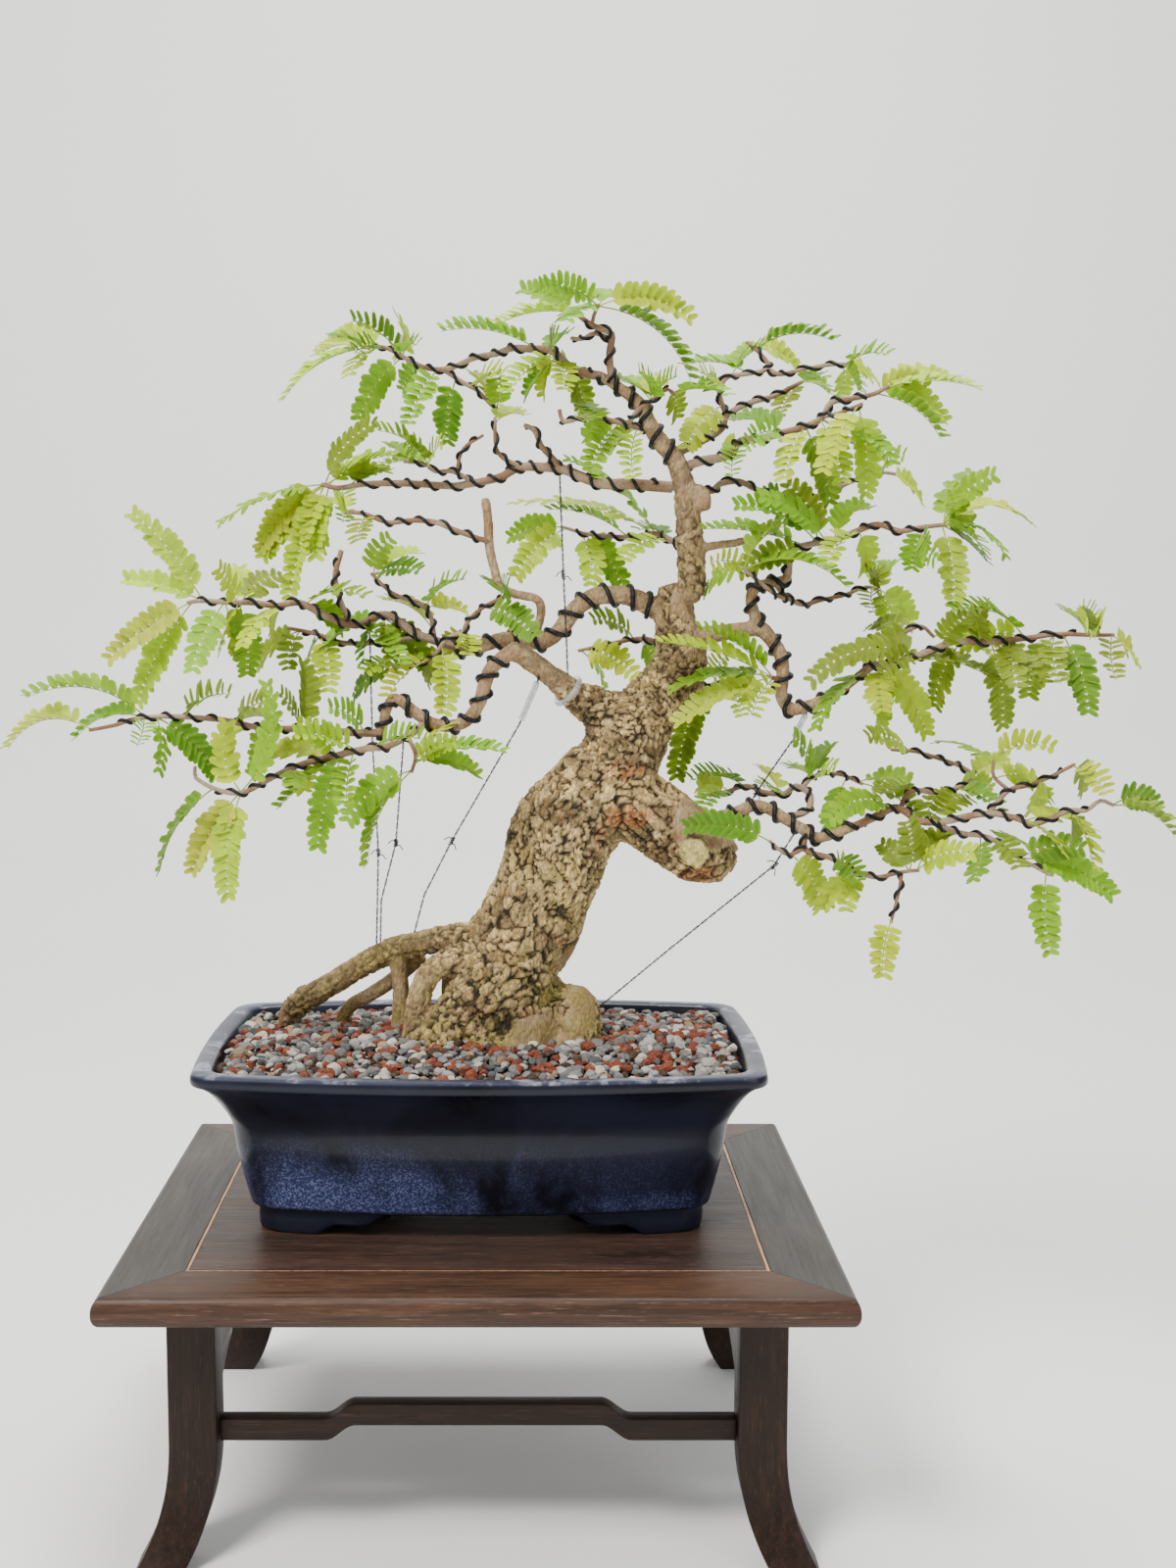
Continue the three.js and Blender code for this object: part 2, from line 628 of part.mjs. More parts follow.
// Leafy branches. A frond is [column and row of its foot, of its tip, turn, bow of its arch].
const leafyBranches = [
  {
    name: 'leafy_apex',
    twigs: [
      {
        path: [[628, 396], [624, 384], [622, 360], [624, 341], [614, 336], [603, 331], [586, 318]],
        depth: [-4, -10, -12], radius: [2, 1.7, 1.2],
      },
      { path: [[622, 346], [606, 340], [594, 346], [583, 345]], depth: [-10, 2], radius: [1.2, 1] },
      { path: [[604, 332], [606, 322], [611, 311]], depth: [-12, -14], radius: [1, 0.9] },
    ],
    fronds: [
      [611, 311, 550, 292, facing, 0.1], [608, 310, 563, 302, slanted, 0.1],
      [614, 313, 707, 396, level, 0.16], [613, 312, 636, 304, slanted, 0.1],
      [584, 326, 508, 331, level, 0.08],
    ],
  },
  {
    name: 'leafy_top_left',
    twigs: [
      {
        path: [
          [614, 384], [586, 378], [574, 368], [563, 358], [540, 356], [523, 355], [506, 361], [485, 365],
          [458, 376], [437, 376], [420, 369], [408, 362], [390, 354], [370, 355],
        ],
        depth: [-4, 8, 14, 16], radius: [2.4, 2, 1.6, 1.2, 0.9],
      },
      {
        path: [[450, 376], [477, 393], [488, 399], [501, 413], [508, 418]],
        depth: [14, 24], radius: [1.2, 0.9],
      },
    ],
    fronds: [
      [378, 356, 289, 408, level, 0.12], [391, 352, 346, 341, facing, 0.08],
      [411, 363, 359, 326, slanted, 0.08], [368, 352, 324, 363, slanted, 0.1],
      [383, 358, 357, 383, slanted, 0.05], [409, 367, 367, 428, facing, 0.06],
      [411, 363, 426, 352, slanted, 0.1], [430, 374, 411, 398, facing, 0.05],
      [447, 380, 417, 434, facing, 0.04], [464, 388, 456, 452, facing, 0.04],
      [550, 352, 450, 338, level, 0.1], [566, 354, 581, 340, slanted, 0.1],
      [486, 392, 515, 380, slanted, 0.1], [508, 416, 482, 381, slanted, 0.05],
      [566, 366, 518, 401, slanted, 0.08], [566, 366, 538, 404, slanted, 0.04],
      [569, 366, 576, 398, facing, 0.04], [576, 372, 596, 421, facing, 0.05],
    ],
  },
  {
    name: 'leafy_crown',
    twigs: [
      {
        path: [[664, 440], [634, 432], [600, 425], [575, 430], [571, 418]],
        depth: [-6, -20, -22], radius: [1.4, 1],
      },
      {
        path: [[640, 434], [652, 418], [667, 407], [681, 397], [689, 403]],
        depth: [-18, -26], radius: [1.3, 0.9],
      },
    ],
    fronds: [
      [634, 434, 603, 482, facing, 0.06], [616, 430, 589, 412, slanted, 0.05],
      [650, 438, 647, 489, facing, 0.06], [664, 409, 629, 388, slanted, 0.08],
      [666, 405, 692, 384, slanted, 0.08], [681, 398, 690, 426, facing, 0.05],
      [689, 403, 742, 404, level, 0.1],
    ],
  },
  {
    name: 'leafy_upper_left',
    twigs: [
      {
        path: [
          [686, 497], [642, 494], [616, 494], [593, 486], [576, 479], [553, 477], [530, 477], [510, 487],
          [477, 494], [460, 496], [409, 493], [373, 494], [345, 498], [328, 494],
        ],
        depth: [0, 14, 24, 30], radius: [3, 2.6, 2.2, 1.8, 1.2],
      },
      {
        path: [[570, 480], [566, 470], [553, 456], [545, 439], [535, 434]],
        depth: [14, 4], radius: [1.8, 1.2],
      },
      { path: [[532, 479], [513, 467], [506, 456], [505, 426]], depth: [18, 10], radius: [1.3, 0.9] },
      {
        path: [[484, 494], [462, 481], [444, 481], [432, 473], [412, 471]],
        depth: [22, 8], radius: [1.3, 0.9],
      },
      { path: [[466, 482], [473, 458], [493, 444]], depth: [18, 14], radius: [1, 0.8] },
    ],
    fronds: [
      [333, 490, 383, 432, slanted, 0.1], [336, 490, 406, 465, level, 0.1],
      [440, 476, 385, 439, level, 0.12], [421, 470, 396, 456, slanted, 0.06],
      [328, 496, 224, 534, level, 0.08], [328, 496, 268, 569, facing, 0.06],
      [331, 496, 296, 612, facing, 0.04], [336, 496, 329, 560, facing, 0.04],
      [348, 500, 350, 534, facing, 0.04], [356, 494, 396, 480, slanted, 0.08],
      [437, 476, 452, 452, slanted, 0.06], [506, 432, 535, 424, slanted, 0.1],
    ],
  },
  {
    name: 'leafy_thin_left',
    twigs: [
      {
        path: [
          [500, 553], [490, 550], [462, 540], [444, 533], [419, 531], [396, 533], [370, 524], [350, 523],
        ],
        depth: [-4, -18], radius: [1.4, 1.3, 1],
      },
    ],
    fronds: [[374, 526, 366, 552, facing, 0.05], [352, 523, 334, 512, slanted, 0.1]],
  },
  {
    name: 'leafy_left_arch',
    twigs: [
      {
        path: [
          [474, 662], [452, 656], [425, 647], [393, 627], [364, 638], [335, 630], [305, 615], [282, 618],
          [258, 615], [235, 615], [203, 613], [191, 615],
        ],
        depth: [8, 0, -14, -24], radius: [2.4, 2, 1.6, 1],
      },
      {
        path: [[430, 649], [394, 655], [352, 656], [323, 647], [294, 641]],
        depth: [2, 16, 24], radius: [1.6, 1],
      },
      { path: [[444, 653], [436, 622], [400, 605], [379, 585]], depth: [2, 18], radius: [1.3, 0.9] },
      { path: [[356, 636], [342, 592], [348, 562]], depth: [-8, -2], radius: [1.4, 1.4] },
    ],
    fronds: [
      [206, 613, 135, 524, slanted, 0.05], [197, 616, 141, 718, facing, 0.05],
      [229, 616, 197, 685, facing, 0.05], [244, 617, 252, 688, facing, 0.04],
      [241, 612, 223, 580, slanted, 0.05], [246, 612, 288, 588, facing, 0.1],
      [309, 620, 373, 609, level, 0.12], [388, 628, 326, 671, level, 0.1],
      [326, 650, 335, 706, facing, 0.04], [442, 640, 390, 612, level, 0.1],
      [434, 620, 475, 591, level, 0.1], [382, 588, 426, 565, slanted, 0.12],
      [380, 588, 428, 583, slanted, 0.08], [390, 632, 434, 682, facing, 0.08],
      [366, 642, 411, 679, slanted, 0.06], [306, 645, 264, 682, slanted, 0.08],
      [288, 622, 247, 660, slanted, 0.08],
    ],
  },
  {
    name: 'leafy_left_inner',
    twigs: [
      { path: [[486, 662], [474, 642], [490, 622], [516, 608]], depth: [6, -6, -14], radius: [1.4, 0.9] },
      { path: [[475, 644], [456, 652], [440, 672], [404, 682]], depth: [-5, -3, 0, 12], radius: [1.3, 0.9] },
    ],
    fronds: [
      [440, 672, 396, 712, slanted, 0.08], [404, 682, 361, 712, slanted, 0.1],
      [462, 668, 453, 729, facing, 0.04], [476, 645, 455, 668, facing, 0.05],
      [494, 620, 546, 650, facing, 0.08], [512, 610, 496, 590, slanted, 0.08],
    ],
  },
  {
    name: 'leafy_left_low',
    twigs: [
      {
        path: [
          [388, 748], [369, 748], [311, 744], [261, 742], [230, 735], [171, 731], [136, 734], [118, 740],
          [91, 745],
        ],
        depth: [-26, -34, -46], radius: [2.2, 1.6, 1.2, 0.9],
      },
    ],
    fronds: [
      [372, 747, 335, 722, slanted, 0.1], [306, 743, 308, 676, slanted, 0.05],
      [150, 732, 26, 712, level, 0.17], [93, 744, 8, 764, level, 0.2], [147, 733, 139, 762, facing, 0.04],
      [160, 733, 219, 790, facing, 0.08], [188, 731, 236, 708, slanted, 0.1],
      [262, 741, 217, 779, level, 0.1], [240, 738, 280, 716, slanted, 0.1],
    ],
  },
  {
    name: 'leafy_left_lower',
    twigs: [
      {
        path: [
          [434, 738], [417, 750], [394, 762], [375, 764], [321, 776], [293, 786], [271, 797], [250, 808],
          [229, 808], [200, 794], [199, 782],
        ],
        depth: [-24, -40, -56, -62], radius: [2, 1.7, 1.3, 0.9],
      },
      { path: [[416, 752], [424, 770], [420, 788]], depth: [-28, -38], radius: [1.2, 0.9] },
    ],
    fronds: [
      [246, 806, 273, 696, slanted, -0.14], [218, 806, 163, 889, level, 0.1],
      [246, 809, 234, 915, facing, 0.06], [343, 771, 273, 775, slanted, 0.1],
      [364, 765, 300, 750, slanted, 0.08], [350, 770, 325, 865, facing, 0.04],
      [361, 768, 354, 829, facing, 0.04], [420, 788, 375, 883, level, 0.1],
      [423, 780, 514, 767, level, 0.1], [424, 776, 486, 792, slanted, 0.08],
      [384, 763, 436, 756, slanted, 0.1], [300, 786, 310, 806, facing, 0.05],
    ],
  },
  {
    name: 'leafy_centre_back',
    twigs: [
      {
        path: [[700, 560], [670, 545], [643, 548], [600, 545], [575, 538]],
        depth: [-2, 30, 46], radius: [1.8, 1.3, 0.9],
      },
    ],
    fronds: [
      [643, 548, 559, 520, level, 0.1], [670, 545, 520, 514, level, 0.1],
      [576, 538, 526, 589, facing, 0.08], [592, 544, 634, 601, facing, 0.08],
      [680, 550, 637, 572, slanted, 0.1],
    ],
  },
  {
    name: 'leafy_trunk_back',
    twigs: [
      {
        path: [[692, 672], [668, 655], [649, 652], [610, 660], [590, 664]],
        depth: [6, 34, 42], radius: [1.8, 1.3, 0.9],
      },
    ],
    fronds: [
      [649, 652, 604, 632, slanted, 0.1], [652, 652, 670, 685, facing, 0.06],
      [592, 664, 649, 691, facing, 0.1],
    ],
  },
  {
    name: 'leafy_right_top',
    twigs: [
      {
        path: [
          [694, 478], [718, 470], [742, 465], [756, 450], [776, 448], [795, 443], [819, 436], [839, 426],
          [848, 411], [868, 407], [892, 402], [907, 394],
        ],
        depth: [-6, -24, -38], radius: [2.4, 2, 1.6, 1],
      },
      { path: [[839, 426], [858, 421], [880, 412]], depth: [-30, -44], radius: [1.2, 0.9] },
    ],
    fronds: [
      [905, 396, 999, 396, level, 0.08], [900, 398, 967, 382, slanted, 0.08],
      [892, 403, 960, 448, level, 0.12], [822, 436, 846, 513, facing, 0.04],
      [838, 428, 858, 491, facing, 0.04], [876, 414, 882, 506, facing, 0.04],
      [844, 428, 909, 474, slanted, 0.1], [800, 441, 747, 430, slanted, 0.1],
      [756, 452, 747, 487, facing, 0.05],
    ],
  },
  {
    name: 'leafy_right_back',
    twigs: [
      {
        path: [
          [688, 464], [725, 445], [737, 436], [742, 424], [766, 411], [790, 404], [810, 394], [818, 390],
        ],
        depth: [-4, 18, 34], radius: [2.2, 1.6, 1],
      },
      {
        path: [[742, 425], [734, 400], [742, 385], [761, 382], [785, 375], [776, 361], [762, 349]],
        depth: [12, 24, 30], radius: [1.4, 1],
      },
      {
        path: [[783, 377], [795, 382], [814, 378], [841, 373], [866, 371]],
        depth: [24, 16], radius: [1.2, 0.9],
      },
    ],
    fronds: [
      [772, 354, 851, 348, level, 0.14], [764, 382, 698, 373, level, 0.1],
      [740, 412, 701, 457, facing, 0.06], [746, 384, 790, 352, level, 0.1],
      [735, 400, 714, 380, slanted, 0.05], [860, 371, 856, 407, facing, 0.05],
      [864, 371, 907, 362, slanted, 0.1], [864, 372, 897, 392, slanted, 0.06],
      [816, 391, 795, 426, slanted, 0.04], [818, 390, 846, 402, slanted, 0.08],
    ],
  },
  {
    name: 'leafy_right_third',
    twigs: [
      {
        path: [
          [698, 496], [727, 501], [734, 494], [754, 491], [771, 499], [795, 506], [819, 507], [844, 504],
          [863, 494], [882, 487], [899, 482], [914, 484],
        ],
        depth: [0, 8, 16], radius: [1.8, 1.4, 0.9],
      },
    ],
    fronds: [
      [899, 482, 924, 465, slanted, 0.08], [908, 483, 940, 513, slanted, 0.08],
      [798, 506, 780, 524, slanted, 0.05],
    ],
  },
  {
    name: 'leafy_right_mid',
    twigs: [
      {
        path: [
          [804, 582], [809, 562], [829, 555], [854, 550], [879, 540], [896, 535], [919, 542], [941, 538],
          [966, 535],
        ],
        depth: [-14, -28, -42], radius: [2, 1.6, 1.1],
      },
    ],
    fronds: [
      [834, 553, 750, 517, slanted, 0.12], [822, 556, 717, 540, level, 0.06],
      [842, 551, 777, 506, slanted, 0.1], [852, 549, 888, 520, slanted, 0.14],
      [961, 536, 971, 619, facing, 0.05], [966, 535, 1053, 535, level, 0.2],
      [966, 534, 1016, 485, slanted, 0.1], [964, 534, 992, 482, slanted, 0.1],
      [962, 537, 1003, 562, level, 0.1], [944, 538, 931, 580, facing, 0.05],
      [876, 543, 844, 578, slanted, 0.08],
    ],
  },
  {
    name: 'leafy_right_thin',
    twigs: [
      {
        path: [
          [790, 594], [799, 606], [807, 612], [819, 617], [839, 612], [862, 607], [884, 599], [896, 602],
        ],
        depth: [-12, 6, 20], radius: [1.5, 1.2, 0.9],
      },
      { path: [[807, 612], [792, 607], [775, 594], [757, 579]], depth: [-10, -22, -28], radius: [1.3, 0.9] },
    ],
    fronds: [
      [892, 601, 879, 574, slanted, 0.05], [894, 601, 912, 577, slanted, 0.05],
      [890, 600, 893, 626, facing, 0.05], [896, 602, 929, 639, facing, 0.1],
      [758, 580, 864, 599, level, 0.18], [759, 582, 718, 604, slanted, 0.12],
    ],
  },
  {
    name: 'leafy_right_front',
    twigs: [
      { path: [[799, 692], [790, 692], [786, 690]], depth: [-16, -28], radius: [1.4, 1] },
    ],
    fronds: [
      [788, 691, 672, 655, level, 0.06], [788, 692, 685, 704, level, 0.1],
      [790, 692, 767, 731, facing, 0.06],
    ],
  },
  {
    name: 'leafy_right_long',
    twigs: [
      {
        path: [
          [846, 713], [869, 696], [891, 679], [904, 679], [944, 667], [972, 655], [1003, 655], [1042, 652],
          [1081, 647], [1118, 648], [1137, 648],
        ],
        depth: [-22, -34, -44, -50], radius: [2.4, 2, 1.5, 0.9],
      },
      {
        path: [[884, 686], [898, 657], [919, 647], [940, 639], [953, 650]],
        depth: [-26, -12], radius: [1.4, 0.9],
      },
    ],
    fronds: [
      [1046, 651, 971, 622, level, 0.14], [929, 643, 886, 640, slanted, 0.1],
      [961, 659, 988, 628, facing, 0.08], [1001, 655, 1006, 618, slanted, 0.05],
      [940, 668, 827, 696, slanted, 0.16], [980, 656, 954, 721, slanted, 0.06],
      [910, 678, 1018, 696, level, 0.12], [1011, 655, 1023, 741, facing, 0.04],
      [1030, 653, 1038, 701, facing, 0.04], [950, 652, 1013, 674, level, 0.1],
      [886, 683, 834, 744, level, 0.1], [904, 679, 944, 749, facing, 0.06],
      [898, 679, 900, 726, facing, 0.04], [936, 668, 876, 662, slanted, 0.1],
      [1136, 648, 1139, 694, facing, 0.05], [1110, 648, 1081, 621, slanted, 0.08],
      [1108, 648, 1124, 628, slanted, 0.08], [1076, 648, 1050, 710, facing, 0.08],
      [1084, 647, 1110, 728, facing, 0.06],
    ],
  },
  {
    name: 'leafy_trunk_right',
    twigs: [
      { path: [[704, 682], [716, 700], [726, 702], [740, 696]], depth: [6, 30, 40], radius: [1.8, 1] },
    ],
    fronds: [
      [740, 697, 757, 732, facing, 0.06], [722, 702, 691, 793, facing, 0.06],
      [732, 699, 742, 668, slanted, 0.1],
    ],
  },
  {
    name: 'leafy_low_right',
    twigs: [
      {
        path: [
          [871, 844], [892, 834], [915, 824], [940, 838], [966, 838], [987, 833], [1013, 830], [1037, 835],
          [1055, 841], [1092, 827], [1108, 827], [1123, 817], [1137, 822],
        ],
        depth: [-32, -44, -54, -60], radius: [2.2, 1.8, 1.4, 0.9],
      },
      {
        path: [[948, 839], [980, 850], [1008, 854], [1024, 864], [1037, 874], [1072, 893]],
        depth: [-42, -58], radius: [1.4, 0.9],
      },
      {
        path: [[1008, 832], [1029, 807], [1050, 801], [1071, 793], [1097, 780]],
        depth: [-52, -44, -40], radius: [1.3, 0.9],
      },
      { path: [[1029, 808], [1014, 792], [1014, 776]], depth: [-47, -38], radius: [1, 0.8] },
    ],
    fronds: [
      [1136, 822, 1199, 854, level, 0.14], [1045, 838, 1113, 846, level, 0.1],
      [1092, 828, 1115, 885, slanted, 0.06], [1040, 876, 1134, 914, facing, 0.1],
      [1070, 892, 1071, 974, facing, 0.05], [1000, 853, 993, 898, facing, 0.04],
      [1012, 857, 1040, 886, facing, 0.08], [950, 838, 990, 815, slanted, 0.12],
      [912, 826, 846, 836, slanted, 0.16], [1014, 780, 956, 757, level, 0.1],
      [1014, 778, 1076, 764, slanted, 0.16], [1016, 792, 1066, 806, slanted, 0.1],
      [1094, 782, 1129, 812, facing, 0.1], [1060, 798, 1050, 828, facing, 0.05],
    ],
  },
  {
    name: 'leafy_low_back',
    parent: 'leafy_low_right',
    twigs: [
      {
        path: [
          [918, 826], [930, 807], [956, 809], [982, 802], [993, 792], [982, 783], [961, 775], [935, 767],
          [909, 765],
        ],
        depth: [-36, -16, 4, 12], radius: [1.5, 1.2, 0.9],
      },
    ],
    fronds: [
      [974, 805, 1019, 829, slanted, 0.1], [990, 798, 1030, 782, slanted, 0.1],
      [928, 766, 885, 752, slanted, 0.08], [934, 808, 885, 796, slanted, 0.12],
    ],
  },
  {
    name: 'leafy_low_front',
    twigs: [
      {
        path: [[822, 846], [822, 867], [846, 875], [872, 888], [893, 895], [919, 890], [938, 888]],
        depth: [-27, -42, -52], radius: [1.6, 1.3, 0.9],
      },
      { path: [[920, 890], [918, 906], [909, 942]], depth: [-48, -54], radius: [1, 0.8] },
      { path: [[822, 866], [804, 872], [785, 858]], depth: [-33, -40], radius: [1.2, 0.9] },
    ],
    fronds: [
      [928, 888, 925, 838, facing, 0.05], [936, 888, 972, 852, slanted, 0.1],
      [938, 888, 993, 870, slanted, 0.1], [878, 890, 841, 924, facing, 0.08],
      [909, 942, 901, 997, facing, 0.05], [806, 872, 837, 928, facing, 0.08],
      [850, 876, 876, 900, facing, 0.1], [785, 858, 700, 844, facing, 0.1],
    ],
  },
  {
    name: 'leafy_low_inner',
    twigs: [
      {
        path: [
          [798, 834], [823, 828], [827, 812], [813, 802], [800, 810], [778, 808], [762, 802], [741, 808],
          [725, 810],
        ],
        depth: [-24, -12, 6, 16], radius: [1.8, 1.5, 1],
      },
      { path: [[818, 805], [831, 792], [856, 790], [880, 800]], depth: [-10, 12], radius: [1.3, 0.9] },
    ],
    fronds: [
      [760, 802, 704, 796, level, 0.1], [796, 809, 774, 783, slanted, 0.06],
      [830, 793, 809, 751, slanted, 0.06], [834, 792, 848, 762, slanted, 0.06],
      [878, 799, 945, 842, slanted, 0.1], [864, 793, 851, 850, facing, 0.06],
      [742, 807, 716, 826, slanted, 0.1],
    ],
  },
];

// Training wire: the stretch of limb that it winds round, with the depth, the limb's radius and the turns.
const trainingWires = [
  {
    name: 'training_wire_crown',
    path: [[676, 452], [664, 436], [652, 412], [640, 402]],
    depth: [-5, -4], radius: [4.6, 3.4], turns: 3,
  },
  {
    name: 'training_wire_left_low',
    path: [[494, 699], [489, 718], [475, 736], [456, 741], [444, 738]],
    depth: [-21, -23], radius: [3.3, 2.9], turns: 4,
  },
  {
    name: 'training_wire_left_arch',
    path: [[640, 609], [622, 607], [604, 610], [590, 619]],
    depth: [6.5, 7.5], radius: [4.9, 4.3], turns: 3,
  },
  {
    name: 'training_wire_right_rising',
    path: [[771, 630], [768, 618], [766, 609]],
    depth: [-9.5, -11], radius: [2.5, 2.2], turns: 2,
  },
  {
    name: 'training_wire_right_falling',
    path: [[797, 667], [799, 677], [799, 685]],
    depth: [-14, -15], radius: [3.7, 3.6], turns: 2,
  },
  {
    name: 'training_wire_right_low',
    path: [[838, 854], [854, 850], [866, 845]],
    depth: [-29, -31], radius: [2.3, 2.1], turns: 3,
  },
];

// Guy wires, from the limb that each pulls to what holds it, with a knot where the wire is tied.
const guyWires = [
  {
    name: 'guy_wire_left_inner',
    path: [[554, 682], [530, 739], [461, 858], [433, 913], [420, 962]],
    depth: [-18, -10, 2, 8, 14], knot: 2, sleeve: 1,
  },
  {
    name: 'guy_wire_left_lower',
    path: [[412, 752], [404, 860], [389, 919], [388, 974]],
    depth: [-28, 2, 12, 19], knot: 1,
  },
  {
    name: 'guy_wire_left_arch',
    path: [[377, 632], [380, 755], [386, 870], [384, 974]],
    depth: [-6, 6, 16, 24], knot: 2,
  },
  {
    name: 'guy_wire_centre',
    path: [[571, 480], [575, 586], [578, 652], [580, 708]],
    depth: [16, 2, -9, -13], knot: 1,
  },
  {
    name: 'guy_wire_right',
    path: [[827, 720], [809, 755], [772, 808], [764, 824]],
    depth: [-20, -18, -18, -18], knot: 2, sleeve: 1,
  },
  {
    name: 'guy_wire_low_right',
    path: [[815, 843], [790, 883], [680, 971], [606, 1032]],
    depth: [-26, -24, -16, -8], knot: 1,
  },
];

// A value from a short list that is spread evenly from 0 to 1.
function spread(list, t) {
  if (list.length === 1) return list[0];
  const place = THREE.MathUtils.clamp(t, 0, 1) * (list.length - 1);
  const index = Math.min(Math.floor(place), list.length - 2);
  return THREE.MathUtils.lerp(list[index], list[index + 1], place - index);
}

// A route's points on the object, with the radius at each.
function routed({ path, depth, radius }) {
  const last = path.length - 1;
  return {
    points: path.map((pixel, i) => seen(pixel, spread(depth, i / last))),
    radii: path.map((pixel, i) => spread(radius, i / last)),
  };
}

// A limb through points, with a ring of so many sides at each. The lump makes its bark uneven.
function limb({ points, radii }, sides, grow = 0, lump = 0) {
  const last = points.length - 1;
  let normal = new THREE.Vector3(0, -1, 0);
  const rings = points.map((point, i) => {
    const ahead = points[Math.min(i + 1, last)].clone().sub(points[Math.max(i - 1, 0)]).normalize();
    normal = normal.clone().addScaledVector(ahead, -normal.dot(ahead));
    if (normal.length() < 0.05) normal.set(1, 0, 0).addScaledVector(ahead, -ahead.x);
    normal.normalize();
    const across = new THREE.Vector3().crossVectors(ahead, normal);
    return Array.from({ length: sides }, (unused, k) => {
      const angle = (2 * Math.PI * k) / sides;
      const wave = 0.06 * Math.sin(3 * angle + 1.7 * i) + 0.045 * Math.sin(5 * angle + 2.6 * i);
      const radius = radii[i] * (1 + lump * wave) + grow;
      return point.clone()
        .addScaledVector(normal, radius * Math.cos(angle))
        .addScaledVector(across, radius * Math.sin(angle));
    });
  });
  return loft(rings);
}

// The tree's own wood as one solid, or a little larger, to cut the air round it.
function treeWood(grow) {
  return joined(woodRoutes.map((wood) => solid(limb(routed(wood), wood.sides, grow, wood.lump))));
}

const woodBody = treeWood(0);
const woodSpace = treeWood(gap);

// A wire wound round a stretch of limb. Its turns stand clear of the bark between the corners.
function coil({ path, depth, radius, turns }, grow = 0) {
  const steps = 6;
  const { points, radii } = routed({ path, depth, radius });
  const line = new THREE.CurvePath();
  points.slice(1).forEach((point, i) => line.add(new THREE.LineCurve3(points[i], point)));
  const count = Math.round(turns * steps);
  const clear = 1 / Math.cos(Math.PI / steps);
  const wound = Array.from({ length: count + 1 }, (unused, i) => {
    const t = i / count;
    const centre = line.getPointAt(t);
    const before = line.getPointAt(Math.max(0, t - 0.12));
    const ahead = line.getPointAt(Math.min(1, t + 0.12)).sub(before).normalize();
    const normal = new THREE.Vector3(0, -1, 0).addScaledVector(ahead, ahead.y).normalize();
    const across = new THREE.Vector3().crossVectors(ahead, normal);
    const reach = (spread(radii, t) + 2 * gap + trainingWireRadius) * clear;
    const angle = (2 * Math.PI * i) / steps;
    return centre
      .addScaledVector(normal, reach * Math.cos(angle))
      .addScaledVector(across, reach * Math.sin(angle));
  });
  return solid(limb({ points: wound, radii: wound.map(() => trainingWireRadius) }, 3, grow));
}

// A guy wire with a small lump where it is tied.
function guyWire({ path, depth, knot }, grow = 0) {
  const { points } = routed({ path, depth, radius: [guyWireRadius] });
  const tied = points.flatMap((point, i) => {
    if (i !== knot) return [point];
    const toward = points[i + 1].clone().sub(point).normalize();
    return [-2, 0, 2].map((offset) => point.clone().addScaledVector(toward, offset));
  });
  const radii = tied.map((unused, i) => (i === knot + 1 ? 2.2 * guyWireRadius : guyWireRadius));
  return solid(limb({ points: tied, radii }, 4, grow));
}

// A clear sleeve round the upper end of a guy wire.
function sleeveOf({ path, depth, sleeve }) {
  const { points } = routed({ path, depth, radius: [guyWireRadius] });
  const from = points[sleeve - 1].clone().lerp(points[sleeve], 0.25);
  const to = points[sleeve].clone().lerp(points[sleeve - 1], 0.08);
  const wall = limb({ points: [from, to], radii: [sleeveRadius, sleeveRadius] }, 8);
  const past = to.clone().sub(from).normalize();
  const ends = [from.clone().addScaledVector(past, -1), to.clone().addScaledVector(past, 1)];
  const bore = guyWireRadius + gap;
  return solid(wall).subtract(solid(limb({ points: ends, radii: [bore, bore] }, 5)));
}

// The point of some twigs that looks nearest to a picture column and row, and its depth.
function footOn(twigs, [column, row]) {
  let best = null;
  twigs.forEach(({ path, points }) => {
    for (let i = 0; i + 1 < path.length; i += 1) {
      const [ax, ay] = path[i];
      const [bx, by] = path[i + 1];
      const span = (bx - ax) ** 2 + (by - ay) ** 2;
      const along = ((column - ax) * (bx - ax) + (row - ay) * (by - ay)) / span;
      const t = THREE.MathUtils.clamp(along, 0.05, 0.88);
      const away = Math.hypot(ax + t * (bx - ax) - column, ay + t * (by - ay) - row);
      if (best === null || away < best.away) {
        best = { away, point: points[i].clone().lerp(points[i + 1], t) };
      }
    }
  });
  return best.point;
}

// A branch's twigs with their points. Each later twig starts exactly on an earlier one.
function twigRoutes(branch) {
  const grown = [];
  branch.twigs.forEach((twig) => {
    const { points, radii } = routed(twig);
    if (grown.length > 0) points[0] = footOn(grown, twig.path[0]);
    grown.push({ path: twig.path, points, radii });
  });
  return grown;
}

const fullFrond = 46;
const deepestLean = 24;

// How far a frond's tip lies behind its foot. A frond that looks short leans towards the viewer or away.
function leanOf(length, index) {
  const hidden = Math.sqrt(Math.max(0, fullFrond ** 2 - length ** 2));
  return (index % 2 === 0 ? -1 : 1) * Math.min(deepestLean, 6 + 0.5 * hidden);
}

// How many pairs of leaflets a frond of a length has.
function pairsOf(length) {
  return Math.round(THREE.MathUtils.clamp(0.8 + length / 14, 3, 4));
}

